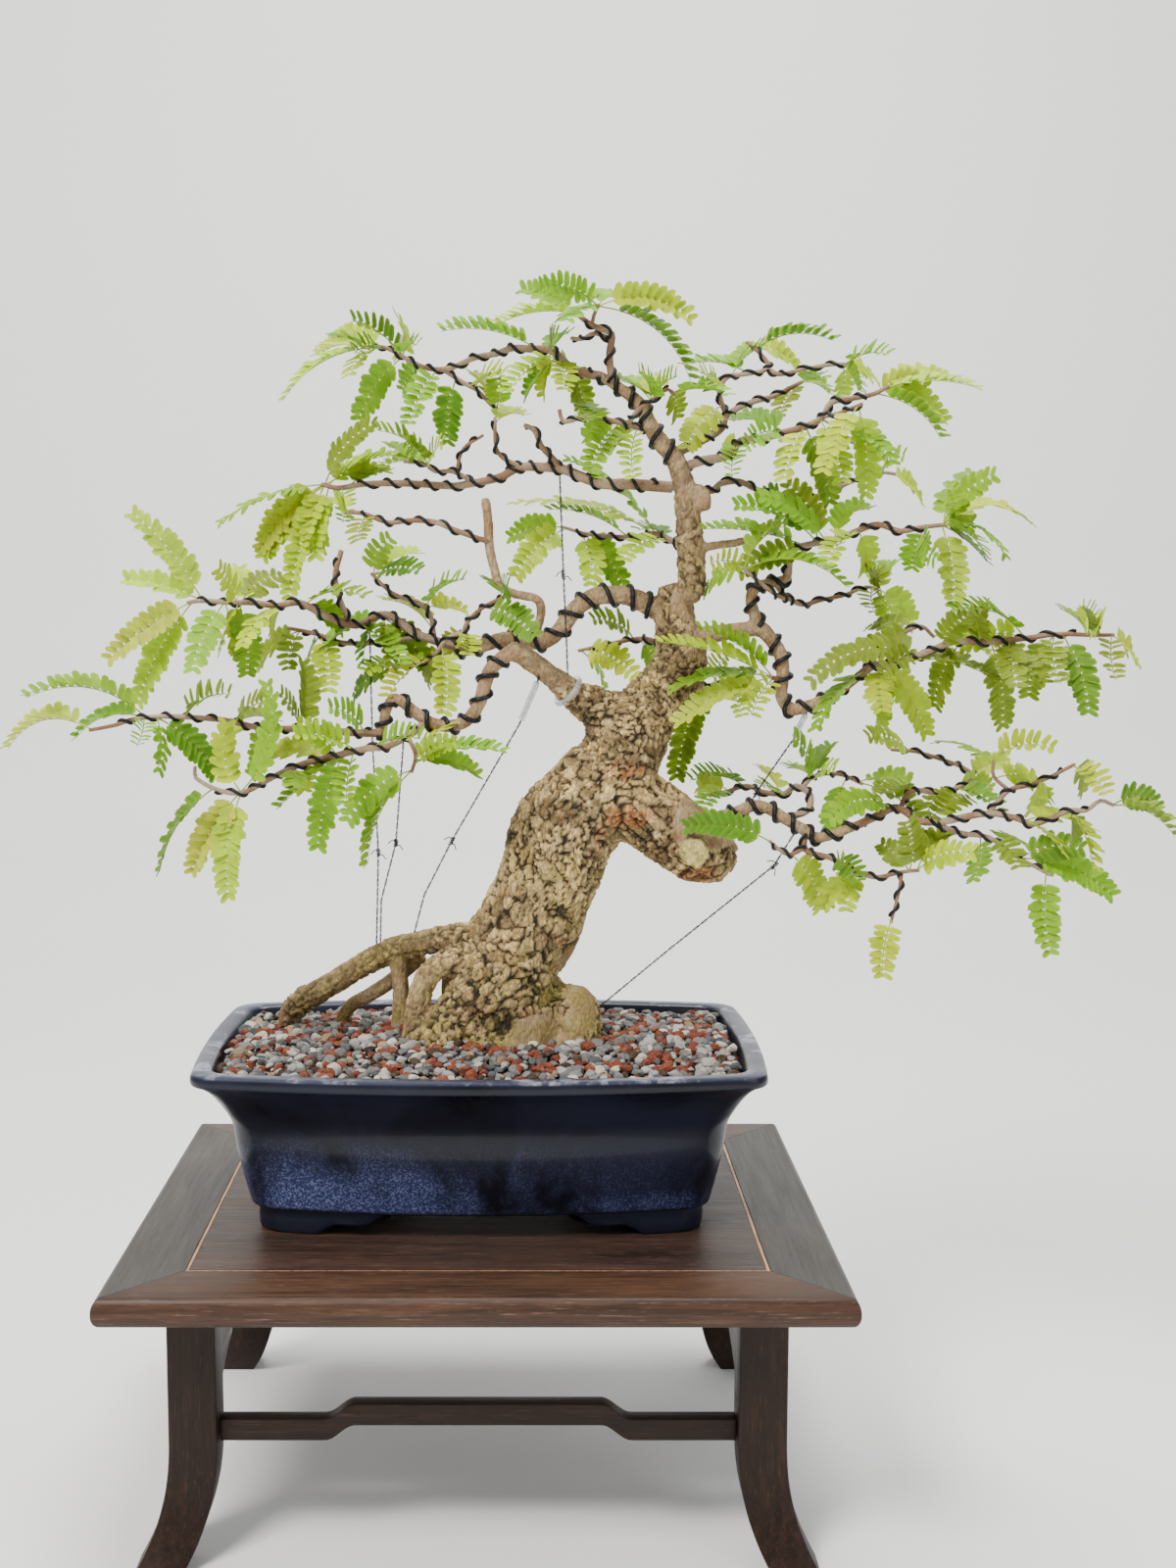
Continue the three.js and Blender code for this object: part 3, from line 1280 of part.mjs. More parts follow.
// A frond: an arched blade with a raised rib, cut nearly to the rib into pairs of leaflets.
function frondBlade(base, tip, turn, bow, grow = 0) {
  const front = new THREE.Vector3(0, -1, 0);
  const chord = tip.clone().sub(base);
  const length = chord.length();
  const ahead = chord.clone().normalize();
  const upright = new THREE.Vector3().crossVectors(front, ahead).normalize();
  if (upright.z < 0) upright.negate();
  const angle = THREE.MathUtils.degToRad(turn);
  const normal = upright.clone().multiplyScalar(Math.cos(angle)).addScaledVector(front, Math.sin(angle));
  normal.addScaledVector(ahead, -normal.dot(ahead)).normalize();
  const side = new THREE.Vector3().crossVectors(normal, ahead);
  const pairs = pairsOf(length);
  const widest = THREE.MathUtils.clamp(length * 0.22, 4.5, 7.5) + grow;
  const rise = 4 * bow * length;
  const at = (t) => base.clone().addScaledVector(chord, t).addScaledVector(upright, rise * t * (1 - t));
  const points = [base.clone(), at(1)];
  const root = 0;
  const end = 1;
  const ribs = Array.from({ length: pairs - 1 }, (unused, i) => {
    const centre = at((i + 1) / pairs);
    points.push(
      centre.clone().addScaledVector(normal, rachisThickness / 2 + grow),
      centre.clone().addScaledVector(normal, -rachisThickness / 2 - grow),
      centre.clone().addScaledVector(side, rachisHalfWidth + grow),
      centre.clone().addScaledVector(side, -rachisHalfWidth - grow),
    );
    const first = points.length - 4;
    return { top: first, under: first + 1, left: first + 2, right: first + 3 };
  });
  const faces = [];
  for (let i = 0; i < pairs; i += 1) {
    const middle = (i + 0.85) / pairs;
    const swell = 0.62 + 0.38 * Math.sin(Math.PI * Math.min(1, middle * 1.15));
    const width = widest * swell * (1 - 0.25 * middle);
    const centre = at(middle);
    const left = points.length;
    const right = left + 1;
    points.push(
      centre.clone().addScaledVector(side, width).addScaledVector(normal, 0.12 * width),
      centre.clone().addScaledVector(side, -width).addScaledVector(normal, 0.12 * width),
    );
    const from = i === 0 ? { top: root, under: root } : ribs[i - 1];
    const to = i === pairs - 1 ? { top: end, under: end } : ribs[i];
    faces.push(from.top, to.top, left, from.under, left, to.under);
    faces.push(from.top, right, to.top, from.under, to.under, right);
    if (i > 0) {
      faces.push(from.top, left, from.left, from.under, from.left, left);
      faces.push(from.top, from.right, right, from.under, right, from.right);
    }
    if (i < pairs - 1) {
      faces.push(to.top, to.left, left, to.under, left, to.left);
      faces.push(to.top, right, to.right, to.under, to.right, right);
    }
  }
  return closed(points, faces);
}

// True if two solids share any space. Their boxes are looked at first.
function touches(a, b) {
  const [p, q] = [a.boundingBox(), b.boundingBox()];
  const apart = [0, 1, 2].some((k) => p.max[k] < q.min[k] || q.max[k] < p.min[k]);
  return !apart && !a.intersect(b).isEmpty();
}

const bends = [0, -6, 6, -12, 12, -18, 18, -25, 25, -32, 32];

// A frond on its branch, bent towards or away from the viewer until it clears all that is already there.
function grownFrond(branch, frond, index, taken) {
  const [footColumn, footRow, tipColumn, tipRow, turn, bow] = frond;
  const base = footOn(twigRoutes(branch), [footColumn, footRow]);
  const flat = seen([tipColumn, tipRow], base.y);
  const lean = leanOf(base.distanceTo(flat), index);
  const others = taken.filter((entry) => entry.owner !== branch.name);
  const sisters = taken.filter((entry) => entry.owner === branch.name && entry.outer);
  const outerOf = (tip) => solid(frondBlade(base.clone().lerp(tip, 0.3), tip, turn, bow));
  const tips = bends.map((bend) => seen([tipColumn, tipRow], base.y + lean + bend));
  const free = tips.filter((tip) => {
    const trial = solid(frondBlade(base, tip, turn, bow, 0.35));
    return !others.some((entry) => touches(trial, entry.body));
  });
  const apart = free.find((tip) => !sisters.some((entry) => touches(outerOf(tip), entry.outer)));
  const chosen = apart ?? free[0] ?? tips[0];
  return { owner: branch.name, body: solid(frondBlade(base, chosen, turn, bow)), outer: outerOf(chosen) };
}

const twigSides = 3;

function twigBodies(branch, grow = 0) {
  return twigRoutes(branch).map((twig) => solid(limb(twig, twigSides, grow)));
}

// Cuts every space out of a solid and keeps the main body.
function fitted(body, spaces) {
  const near = spaces.filter((space) => touches(body, space));
  return mainBody(near.reduce((rest, space) => rest.subtract(space), body));
}

function buildTree() {
  piece('tree_wood', geometryOf(woodBody), materials.bark);
  const coils = trainingWires.map((wire) => ({
    owner: wire.name,
    body: fitted(coil(wire), [woodSpace]),
    space: coil(wire, gap),
  }));
  coils.forEach((entry) => piece(entry.owner, geometryOf(entry.body), materials.wire));
  const coilSpaces = coils.map((entry) => entry.space);

  const twigs = leafyBranches.map((branch) => {
    const parents = leafyBranches.filter((other) => other.name === branch.parent);
    const spaces = [woodSpace, ...coilSpaces, ...parents.map((parent) => joined(twigBodies(parent, gap)))];
    return { branch, owner: branch.name, body: fitted(joined(twigBodies(branch)), spaces), spaces };
  });
  const twigSpaces = leafyBranches.map((branch) => joined(twigBodies(branch, gap)));
  const guySpaces = [woodSpace, ...coilSpaces, ...twigSpaces];
  const guys = guyWires.map((wire) => ({ owner: wire.name, body: fitted(guyWire(wire), guySpaces) }));
  guys.forEach((entry) => piece(entry.owner, geometryOf(entry.body), materials.wire));
  const sleeves = guyWires.filter((wire) => wire.sleeve).map((wire) => ({
    owner: wire.name.replace('guy_wire', 'clear_sleeve'),
    body: fitted(sleeveOf(wire), guySpaces),
  }));
  sleeves.forEach((entry) => piece(entry.owner, geometryOf(entry.body), materials.sleeve));

  const taken = [{ owner: 'tree_wood', body: woodBody }, ...coils, ...twigs, ...guys, ...sleeves];
  twigs.forEach(({ branch, body, spaces }) => {
    const fronds = branch.fronds.map((frond, index) => {
      const grown = grownFrond(branch, frond, index, taken);
      taken.push(grown);
      return grown.body;
    });
    piece(branch.name, geometryOf(fitted(joined([body, ...fronds]), spaces)), materials.leaf);
  });
}

buildTop();
buildLegs();
buildStretchers();
buildAprons();
buildPot();
buildScreens();
buildSoil(woodSpace);
buildTree();

// The origin is on the ground, under the middle of the whole object.
bonsai.updateMatrixWorld(true);
const middle = new THREE.Box3().setFromObject(bonsai, true).getCenter(new THREE.Vector3());
bonsai.position.set(-middle.x, -middle.y, 0);

export default bonsai;
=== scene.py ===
"""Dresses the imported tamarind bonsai: its stand, glazed pot, gravel, wood, leaves and wiring."""
import logging
import math
import random
from dataclasses import dataclass, field
from enum import Enum
from typing import Callable, Iterator, Sequence

import bmesh
import bpy
from mathutils import Matrix, Vector, kdtree, noise


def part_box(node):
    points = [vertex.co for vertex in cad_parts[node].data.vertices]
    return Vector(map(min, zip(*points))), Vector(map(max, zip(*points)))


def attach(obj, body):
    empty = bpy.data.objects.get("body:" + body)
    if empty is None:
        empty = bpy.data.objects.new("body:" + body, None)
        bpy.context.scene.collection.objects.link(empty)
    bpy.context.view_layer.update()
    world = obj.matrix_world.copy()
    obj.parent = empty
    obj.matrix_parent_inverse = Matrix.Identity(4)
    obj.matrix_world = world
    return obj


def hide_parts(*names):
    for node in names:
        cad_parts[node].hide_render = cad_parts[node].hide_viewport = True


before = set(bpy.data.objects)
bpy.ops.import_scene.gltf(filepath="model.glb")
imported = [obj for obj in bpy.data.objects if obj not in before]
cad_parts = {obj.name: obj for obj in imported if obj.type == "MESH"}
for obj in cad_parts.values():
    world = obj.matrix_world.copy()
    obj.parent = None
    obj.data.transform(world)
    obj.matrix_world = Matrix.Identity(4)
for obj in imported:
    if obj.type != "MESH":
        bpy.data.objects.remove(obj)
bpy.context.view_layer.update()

LOG = logging.getLogger("bonsai")
MM = 0.001
Socket = bpy.types.NodeSocket
Colour = tuple[float, float, float]

# How a frond's leaflets lie: nearly level, at a slant, or facing the front. In degrees.
LEVEL = 18
SLANTED = 48
FACING = 80


@dataclass(frozen=True)
class WoodRoute:
    """A root, trunk or limb, as picture columns and rows with depths and radii in millimetres."""

    name: str
    path: tuple
    depth: tuple
    radius: tuple
    lump: bool = False


@dataclass(frozen=True)
class Twig:
    """A twig of a leafy branch, in the same terms as a wood route."""

    path: tuple
    depth: tuple
    radius: tuple


@dataclass(frozen=True)
class LeafyBranch:
    """Twigs and fronds. A frond is its foot's and tip's column and row, its turn and its bow."""

    name: str
    twigs: tuple
    fronds: tuple
    parent: str = ""


@dataclass(frozen=True)
class GuyWire:
    """A thin pulling wire, with the point where it is tied and the end of its clear sleeve."""

    name: str
    path: tuple
    depth: tuple
    knot: int
    sleeve: int = 0


WOOD_ROUTES = (
    WoodRoute(
        "trunk", lump=True,
        path=(
            (516, 1100), (518, 1068), (520, 1048), (511, 1010), (522, 975), (536, 946), (552, 915),
            (566, 880), (575, 850), (600, 815), (626, 790), (637, 765), (640, 742), (641, 722),
        ),
        depth=(0,), radius=(31, 32, 31, 29, 27, 26.5, 25.5, 26, 27, 25.5, 23, 20.5, 22, 21),
    ),
    WoodRoute(
        "upper trunk", lump=True,
        path=((640, 742), (664, 722), (684, 697), (694, 672), (692, 645), (688, 618), (688, 600)),
        depth=(0, 1, 1), radius=(17, 16, 15, 13.5, 11, 9.5, 8),
    ),
    WoodRoute(
        "leader", lump=True,
        path=(
            (702, 612), (706, 600), (706, 575), (703, 545), (701, 520), (697, 490), (688, 466),
            (676, 454), (664, 436), (652, 412), (634, 397), (612, 383),
        ),
        depth=(-8, -8, -7, -6, -4), radius=(5, 7, 7.2, 6.8, 6.2, 5.6, 4.8, 4.6, 4.2, 3.6, 3, 2.5),
    ),
    WoodRoute(
        "stub limb", lump=True,
        path=((632, 812), (664, 832), (694, 850), (714, 868), (728, 884), (734, 894)),
        depth=(-2, -8, -12), radius=(19, 19, 18.5, 17.5, 14, 8),
    ),
    WoodRoute(
        "left primary limb", lump=True,
        path=((640, 738), (612, 724), (586, 710), (565, 692), (538, 671), (521, 663)),
        depth=(0, -10, -20), radius=(15, 11, 7.5, 5.6, 5.2, 4.8),
    ),
    WoodRoute(
        "left low limb", lump=False,
        path=(
            (523, 664), (502, 681), (495, 697), (489, 718), (475, 736), (456, 741), (436, 736),
            (424, 727), (410, 716), (401, 713), (394, 725), (390, 743), (383, 751),
        ),
        depth=(-20, -26), radius=(4, 3.4, 3, 2.6),
    ),
    WoodRoute(
        "left arch", lump=False,
        path=(
            (690, 632), (670, 622), (646, 610), (622, 607), (604, 610), (586, 622), (571, 643),
            (553, 655), (516, 652), (488, 660), (466, 664),
        ),
        depth=(4, 6, 8, 8), radius=(6.5, 5, 4.8, 4.4, 4, 3.6),
    ),
    WoodRoute(
        "upright stub", lump=False,
        path=(
            (544, 652), (552, 627), (549, 612), (525, 606), (511, 598), (503, 575), (499, 553),
            (498, 530), (495, 509),
        ),
        depth=(8, -2, -4), radius=(2.6, 2.4, 2.6, 2.6),
    ),
    WoodRoute(
        "right limb", lump=False,
        path=((700, 655), (717, 649), (742, 645), (765, 642), (779, 641)),
        depth=(0, -6, -10), radius=(6, 4.6, 4.2, 4),
    ),
    WoodRoute(
        "right rising limb", lump=False,
        path=((776, 642), (770, 627), (766, 609), (772, 599), (790, 594), (803, 590), (805, 577)),
        depth=(-9, -14), radius=(3.4, 3, 2.8, 2.2),
    ),
    WoodRoute(
        "right falling limb", lump=False,
        path=(
            (777, 641), (788, 654), (797, 669), (799, 689), (797, 709), (807, 724), (829, 719),
            (849, 711),
        ),
        depth=(-10, -16, -22), radius=(4, 3.6, 3.4, 3),
    ),
    WoodRoute(
        "right low limb", lump=False,
        path=(
            (712, 846), (729, 836), (749, 830), (770, 822), (786, 826), (802, 836), (819, 846),
            (833, 855), (854, 850), (874, 842),
        ),
        depth=(-12, -24, -32), radius=(4, 3.2, 3, 2.6),
    ),
    WoodRoute(
        "knobby stub", lump=False,
        path=((700, 503), (713, 500), (719, 508), (719, 520)),
        depth=(-8, -12), radius=(3, 3.4, 3.6, 3),
    ),
    WoodRoute(
        "cut stub", lump=False,
        path=((704, 562), (727, 557), (750, 554), (762, 551)),
        depth=(-6, -14), radius=(2.4, 2.2),
    ),
    WoodRoute(
        "long left root", lump=True,
        path=(
            (510, 985), (480, 960), (452, 958), (428, 963), (403, 968), (378, 981), (352, 996),
            (326, 1011), (306, 1023), (296, 1036), (292, 1052),
        ),
        depth=(0, 6, 16, 30, 40), radius=(13, 8.5, 7, 6.4, 6.6, 6.4, 6.2, 6.4, 7.2, 6.2, 5),
    ),
    WoodRoute(
        "standing root", lump=False,
        path=((412, 966), (407, 985), (409, 1010), (409, 1032), (408, 1062)),
        depth=(12, 8), radius=(4.4, 4.6, 4.6, 5.4),
    ),
    WoodRoute(
        "back root", lump=False,
        path=((430, 975), (398, 1002), (376, 1016), (357, 1027), (345, 1050)),
        depth=(16, 34), radius=(4.4, 4, 3.6),
    ),
    WoodRoute(
        "curved root", lump=True,
        path=((490, 975), (462, 981), (440, 993), (429, 1012), (425, 1034), (424, 1066)),
        depth=(-4, -14, -16), radius=(9, 7.5, 6.4, 6, 6.2, 7),
    ),
    WoodRoute(
        "front left root", lump=True,
        path=((500, 1012), (470, 1030), (452, 1052), (446, 1084)),
        depth=(-10, -26), radius=(14, 12, 9, 7),
    ),
    WoodRoute(
        "right root", lump=True,
        path=((548, 1020), (574, 1024), (590, 1022), (598, 1034), (602, 1064)),
        depth=(-4, -8), radius=(13, 10, 8.5, 7.5, 7),
    ),
    WoodRoute(
        "right root block", lump=True,
        path=((580, 1034), (589, 1050), (592, 1078)), depth=(-10, -16), radius=(8, 9.5, 9),
    ),
    WoodRoute(
        "thin right root", lump=False,
        path=((592, 1018), (594, 1035), (580, 1054), (566, 1072), (560, 1090)),
        depth=(-8, -26), radius=(3.4, 2.6, 2.4),
    ),
    WoodRoute(
        "back right root", lump=True,
        path=((536, 1004), (556, 1010), (572, 1022), (584, 1048)),
        depth=(14, 32, 44, 52), radius=(13, 10, 8, 6),
    ),
    WoodRoute(
        "back root hump", lump=True,
        path=((506, 1000), (488, 1008), (476, 1022), (470, 1046)),
        depth=(16, 32, 44, 50), radius=(13, 10, 8, 6),
    ),
)

LEAFY_BRANCHES = (
    LeafyBranch(
        "leafy_apex",
        twigs=(
            Twig(
                path=(
                    (628, 396), (624, 384), (622, 360), (624, 341), (614, 336), (603, 331),
                    (586, 318),
                ),
                depth=(-4, -10, -12), radius=(2, 1.7, 1.2),
            ),
            Twig(
                path=((622, 346), (606, 340), (594, 346), (583, 345)),
                depth=(-10, 2), radius=(1.2, 1),
            ),
            Twig(
                path=((604, 332), (606, 322), (611, 311)),
                depth=(-12, -14), radius=(1, 0.9),
            ),
        ),
        fronds=(
            (611, 311, 550, 292, FACING, 0.1), (608, 310, 563, 302, SLANTED, 0.1),
            (614, 313, 707, 396, LEVEL, 0.16), (613, 312, 636, 304, SLANTED, 0.1),
            (584, 326, 508, 331, LEVEL, 0.08),
        ),
    ),
    LeafyBranch(
        "leafy_top_left",
        twigs=(
            Twig(
                path=(
                    (614, 384), (586, 378), (574, 368), (563, 358), (540, 356), (523, 355),
                    (506, 361), (485, 365), (458, 376), (437, 376), (420, 369), (408, 362),
                    (390, 354), (370, 355),
                ),
                depth=(-4, 8, 14, 16), radius=(2.4, 2, 1.6, 1.2, 0.9),
            ),
            Twig(
                path=((450, 376), (477, 393), (488, 399), (501, 413), (508, 418)),
                depth=(14, 24), radius=(1.2, 0.9),
            ),
        ),
        fronds=(
            (378, 356, 289, 408, LEVEL, 0.12), (391, 352, 346, 341, FACING, 0.08),
            (411, 363, 359, 326, SLANTED, 0.08), (368, 352, 324, 363, SLANTED, 0.1),
            (383, 358, 357, 383, SLANTED, 0.05), (409, 367, 367, 428, FACING, 0.06),
            (411, 363, 426, 352, SLANTED, 0.1), (430, 374, 411, 398, FACING, 0.05),
            (447, 380, 417, 434, FACING, 0.04), (464, 388, 456, 452, FACING, 0.04),
            (550, 352, 450, 338, LEVEL, 0.1), (566, 354, 581, 340, SLANTED, 0.1),
            (486, 392, 515, 380, SLANTED, 0.1), (508, 416, 482, 381, SLANTED, 0.05),
            (566, 366, 518, 401, SLANTED, 0.08), (566, 366, 538, 404, SLANTED, 0.04),
            (569, 366, 576, 398, FACING, 0.04), (576, 372, 596, 421, FACING, 0.05),
        ),
    ),
    LeafyBranch(
        "leafy_crown",
        twigs=(
            Twig(
                path=((664, 440), (634, 432), (600, 425), (575, 430), (571, 418)),
                depth=(-6, -20, -22), radius=(1.4, 1),
            ),
            Twig(
                path=((640, 434), (652, 418), (667, 407), (681, 397), (689, 403)),
                depth=(-18, -26), radius=(1.3, 0.9),
            ),
        ),
        fronds=(
            (634, 434, 603, 482, FACING, 0.06), (616, 430, 589, 412, SLANTED, 0.05),
            (650, 438, 647, 489, FACING, 0.06), (664, 409, 629, 388, SLANTED, 0.08),
            (666, 405, 692, 384, SLANTED, 0.08), (681, 398, 690, 426, FACING, 0.05),
            (689, 403, 742, 404, LEVEL, 0.1),
        ),
    ),
    LeafyBranch(
        "leafy_upper_left",
        twigs=(
            Twig(
                path=(
                    (686, 497), (642, 494), (616, 494), (593, 486), (576, 479), (553, 477),
                    (530, 477), (510, 487), (477, 494), (460, 496), (409, 493), (373, 494),
                    (345, 498), (328, 494),
                ),
                depth=(0, 14, 24, 30), radius=(3, 2.6, 2.2, 1.8, 1.2),
            ),
            Twig(
                path=((570, 480), (566, 470), (553, 456), (545, 439), (535, 434)),
                depth=(14, 4), radius=(1.8, 1.2),
            ),
            Twig(
                path=((532, 479), (513, 467), (506, 456), (505, 426)),
                depth=(18, 10), radius=(1.3, 0.9),
            ),
            Twig(
                path=((484, 494), (462, 481), (444, 481), (432, 473), (412, 471)),
                depth=(22, 8), radius=(1.3, 0.9),
            ),
            Twig(
                path=((466, 482), (473, 458), (493, 444)),
                depth=(18, 14), radius=(1, 0.8),
            ),
        ),
        fronds=(
            (333, 490, 383, 432, SLANTED, 0.1), (336, 490, 406, 465, LEVEL, 0.1),
            (440, 476, 385, 439, LEVEL, 0.12), (421, 470, 396, 456, SLANTED, 0.06),
            (328, 496, 224, 534, LEVEL, 0.08), (328, 496, 268, 569, FACING, 0.06),
            (331, 496, 296, 612, FACING, 0.04), (336, 496, 329, 560, FACING, 0.04),
            (348, 500, 350, 534, FACING, 0.04), (356, 494, 396, 480, SLANTED, 0.08),
            (437, 476, 452, 452, SLANTED, 0.06), (506, 432, 535, 424, SLANTED, 0.1),
        ),
    ),
    LeafyBranch(
        "leafy_thin_left",
        twigs=(
            Twig(
                path=(
                    (500, 553), (490, 550), (462, 540), (444, 533), (419, 531), (396, 533),
                    (370, 524), (350, 523),
                ),
                depth=(-4, -18), radius=(1.4, 1.3, 1),
            ),
        ),
        fronds=((374, 526, 366, 552, FACING, 0.05), (352, 523, 334, 512, SLANTED, 0.1)),
    ),
    LeafyBranch(
        "leafy_left_arch",
        twigs=(
            Twig(
                path=(
                    (474, 662), (452, 656), (425, 647), (393, 627), (364, 638), (335, 630),
                    (305, 615), (282, 618), (258, 615), (235, 615), (203, 613), (191, 615),
                ),
                depth=(8, 0, -14, -24), radius=(2.4, 2, 1.6, 1),
            ),
            Twig(
                path=((430, 649), (394, 655), (352, 656), (323, 647), (294, 641)),
                depth=(2, 16, 24), radius=(1.6, 1),
            ),
            Twig(
                path=((444, 653), (436, 622), (400, 605), (379, 585)),
                depth=(2, 18), radius=(1.3, 0.9),
            ),
            Twig(
                path=((356, 636), (342, 592), (348, 562)),
                depth=(-8, -2), radius=(1.4, 1.4),
            ),
        ),
        fronds=(
            (206, 613, 135, 524, SLANTED, 0.05), (197, 616, 141, 718, FACING, 0.05),
            (229, 616, 197, 685, FACING, 0.05), (244, 617, 252, 688, FACING, 0.04),
            (241, 612, 223, 580, SLANTED, 0.05), (246, 612, 288, 588, FACING, 0.1),
            (309, 620, 373, 609, LEVEL, 0.12), (388, 628, 326, 671, LEVEL, 0.1),
            (326, 650, 335, 706, FACING, 0.04), (442, 640, 390, 612, LEVEL, 0.1),
            (434, 620, 475, 591, LEVEL, 0.1), (382, 588, 426, 565, SLANTED, 0.12),
            (380, 588, 428, 583, SLANTED, 0.08), (390, 632, 434, 682, FACING, 0.08),
            (366, 642, 411, 679, SLANTED, 0.06), (306, 645, 264, 682, SLANTED, 0.08),
            (288, 622, 247, 660, SLANTED, 0.08),
        ),
    ),
    LeafyBranch(
        "leafy_left_inner",
        twigs=(
            Twig(
                path=((486, 662), (474, 642), (490, 622), (516, 608)),
                depth=(6, -6, -14), radius=(1.4, 0.9),
            ),
            Twig(
                path=((475, 644), (456, 652), (440, 672), (404, 682)),
                depth=(-5, -3, 0, 12), radius=(1.3, 0.9),
            ),
        ),
        fronds=(
            (440, 672, 396, 712, SLANTED, 0.08), (404, 682, 361, 712, SLANTED, 0.1),
            (462, 668, 453, 729, FACING, 0.04), (476, 645, 455, 668, FACING, 0.05),
            (494, 620, 546, 650, FACING, 0.08), (512, 610, 496, 590, SLANTED, 0.08),
        ),
    ),
    LeafyBranch(
        "leafy_left_low",
        twigs=(
            Twig(
                path=(
                    (388, 748), (369, 748), (311, 744), (261, 742), (230, 735), (171, 731),
                    (136, 734), (118, 740), (91, 745),
                ),
                depth=(-26, -34, -46), radius=(2.2, 1.6, 1.2, 0.9),
            ),
        ),
        fronds=(
            (372, 747, 335, 722, SLANTED, 0.1), (306, 743, 308, 676, SLANTED, 0.05),
            (150, 732, 26, 712, LEVEL, 0.17), (93, 744, 8, 764, LEVEL, 0.2),
            (147, 733, 139, 762, FACING, 0.04), (160, 733, 219, 790, FACING, 0.08),
            (188, 731, 236, 708, SLANTED, 0.1), (262, 741, 217, 779, LEVEL, 0.1),
            (240, 738, 280, 716, SLANTED, 0.1),
        ),
    ),
    LeafyBranch(
        "leafy_left_lower",
        twigs=(
            Twig(
                path=(
                    (434, 738), (417, 750), (394, 762), (375, 764), (321, 776), (293, 786),
                    (271, 797), (250, 808), (229, 808), (200, 794), (199, 782),
                ),
                depth=(-24, -40, -56, -62), radius=(2, 1.7, 1.3, 0.9),
            ),
            Twig(
                path=((416, 752), (424, 770), (420, 788)),
                depth=(-28, -38), radius=(1.2, 0.9),
            ),
        ),
        fronds=(
            (246, 806, 273, 696, SLANTED, -0.14), (218, 806, 163, 889, LEVEL, 0.1),
            (246, 809, 234, 915, FACING, 0.06), (343, 771, 273, 775, SLANTED, 0.1),
            (364, 765, 300, 750, SLANTED, 0.08), (350, 770, 325, 865, FACING, 0.04),
            (361, 768, 354, 829, FACING, 0.04), (420, 788, 375, 883, LEVEL, 0.1),
            (423, 780, 514, 767, LEVEL, 0.1), (424, 776, 486, 792, SLANTED, 0.08),
            (384, 763, 436, 756, SLANTED, 0.1), (300, 786, 310, 806, FACING, 0.05),
        ),
    ),
    LeafyBranch(
        "leafy_centre_back",
        twigs=(
            Twig(
                path=((700, 560), (670, 545), (643, 548), (600, 545), (575, 538)),
                depth=(-2, 30, 46), radius=(1.8, 1.3, 0.9),
            ),
        ),
        fronds=(
            (643, 548, 559, 520, LEVEL, 0.1), (670, 545, 520, 514, LEVEL, 0.1),
            (576, 538, 526, 589, FACING, 0.08), (592, 544, 634, 601, FACING, 0.08),
            (680, 550, 637, 572, SLANTED, 0.1),
        ),
    ),
    LeafyBranch(
        "leafy_trunk_back",
        twigs=(
            Twig(
                path=((692, 672), (668, 655), (649, 652), (610, 660), (590, 664)),
                depth=(6, 34, 42), radius=(1.8, 1.3, 0.9),
            ),
        ),
        fronds=(
            (649, 652, 604, 632, SLANTED, 0.1), (652, 652, 670, 685, FACING, 0.06),
            (592, 664, 649, 691, FACING, 0.1),
        ),
    ),
    LeafyBranch(
        "leafy_right_top",
        twigs=(
            Twig(
                path=(
                    (694, 478), (718, 470), (742, 465), (756, 450), (776, 448), (795, 443),
                    (819, 436), (839, 426), (848, 411), (868, 407), (892, 402), (907, 394),
                ),
                depth=(-6, -24, -38), radius=(2.4, 2, 1.6, 1),
            ),
            Twig(
                path=((839, 426), (858, 421), (880, 412)),
                depth=(-30, -44), radius=(1.2, 0.9),
            ),
        ),
        fronds=(
            (905, 396, 999, 396, LEVEL, 0.08), (900, 398, 967, 382, SLANTED, 0.08),
            (892, 403, 960, 448, LEVEL, 0.12), (822, 436, 846, 513, FACING, 0.04),
            (838, 428, 858, 491, FACING, 0.04), (876, 414, 882, 506, FACING, 0.04),
            (844, 428, 909, 474, SLANTED, 0.1), (800, 441, 747, 430, SLANTED, 0.1),
            (756, 452, 747, 487, FACING, 0.05),
        ),
    ),
    LeafyBranch(
        "leafy_right_back",
        twigs=(
            Twig(
                path=(
                    (688, 464), (725, 445), (737, 436), (742, 424), (766, 411), (790, 404),
                    (810, 394), (818, 390),
                ),
                depth=(-4, 18, 34), radius=(2.2, 1.6, 1),
            ),
            Twig(
                path=(
                    (742, 425), (734, 400), (742, 385), (761, 382), (785, 375), (776, 361),
                    (762, 349),
                ),
                depth=(12, 24, 30), radius=(1.4, 1),
            ),
            Twig(
                path=((783, 377), (795, 382), (814, 378), (841, 373), (866, 371)),
                depth=(24, 16), radius=(1.2, 0.9),
            ),
        ),
        fronds=(
            (772, 354, 851, 348, LEVEL, 0.14), (764, 382, 698, 373, LEVEL, 0.1),
            (740, 412, 701, 457, FACING, 0.06), (746, 384, 790, 352, LEVEL, 0.1),
            (735, 400, 714, 380, SLANTED, 0.05), (860, 371, 856, 407, FACING, 0.05),
            (864, 371, 907, 362, SLANTED, 0.1), (864, 372, 897, 392, SLANTED, 0.06),
            (816, 391, 795, 426, SLANTED, 0.04), (818, 390, 846, 402, SLANTED, 0.08),
        ),
    ),
    LeafyBranch(
        "leafy_right_third",
        twigs=(
            Twig(
                path=(
                    (698, 496), (727, 501), (734, 494), (754, 491), (771, 499), (795, 506),
                    (819, 507), (844, 504), (863, 494), (882, 487), (899, 482), (914, 484),
                ),
                depth=(0, 8, 16), radius=(1.8, 1.4, 0.9),
            ),
        ),
        fronds=(
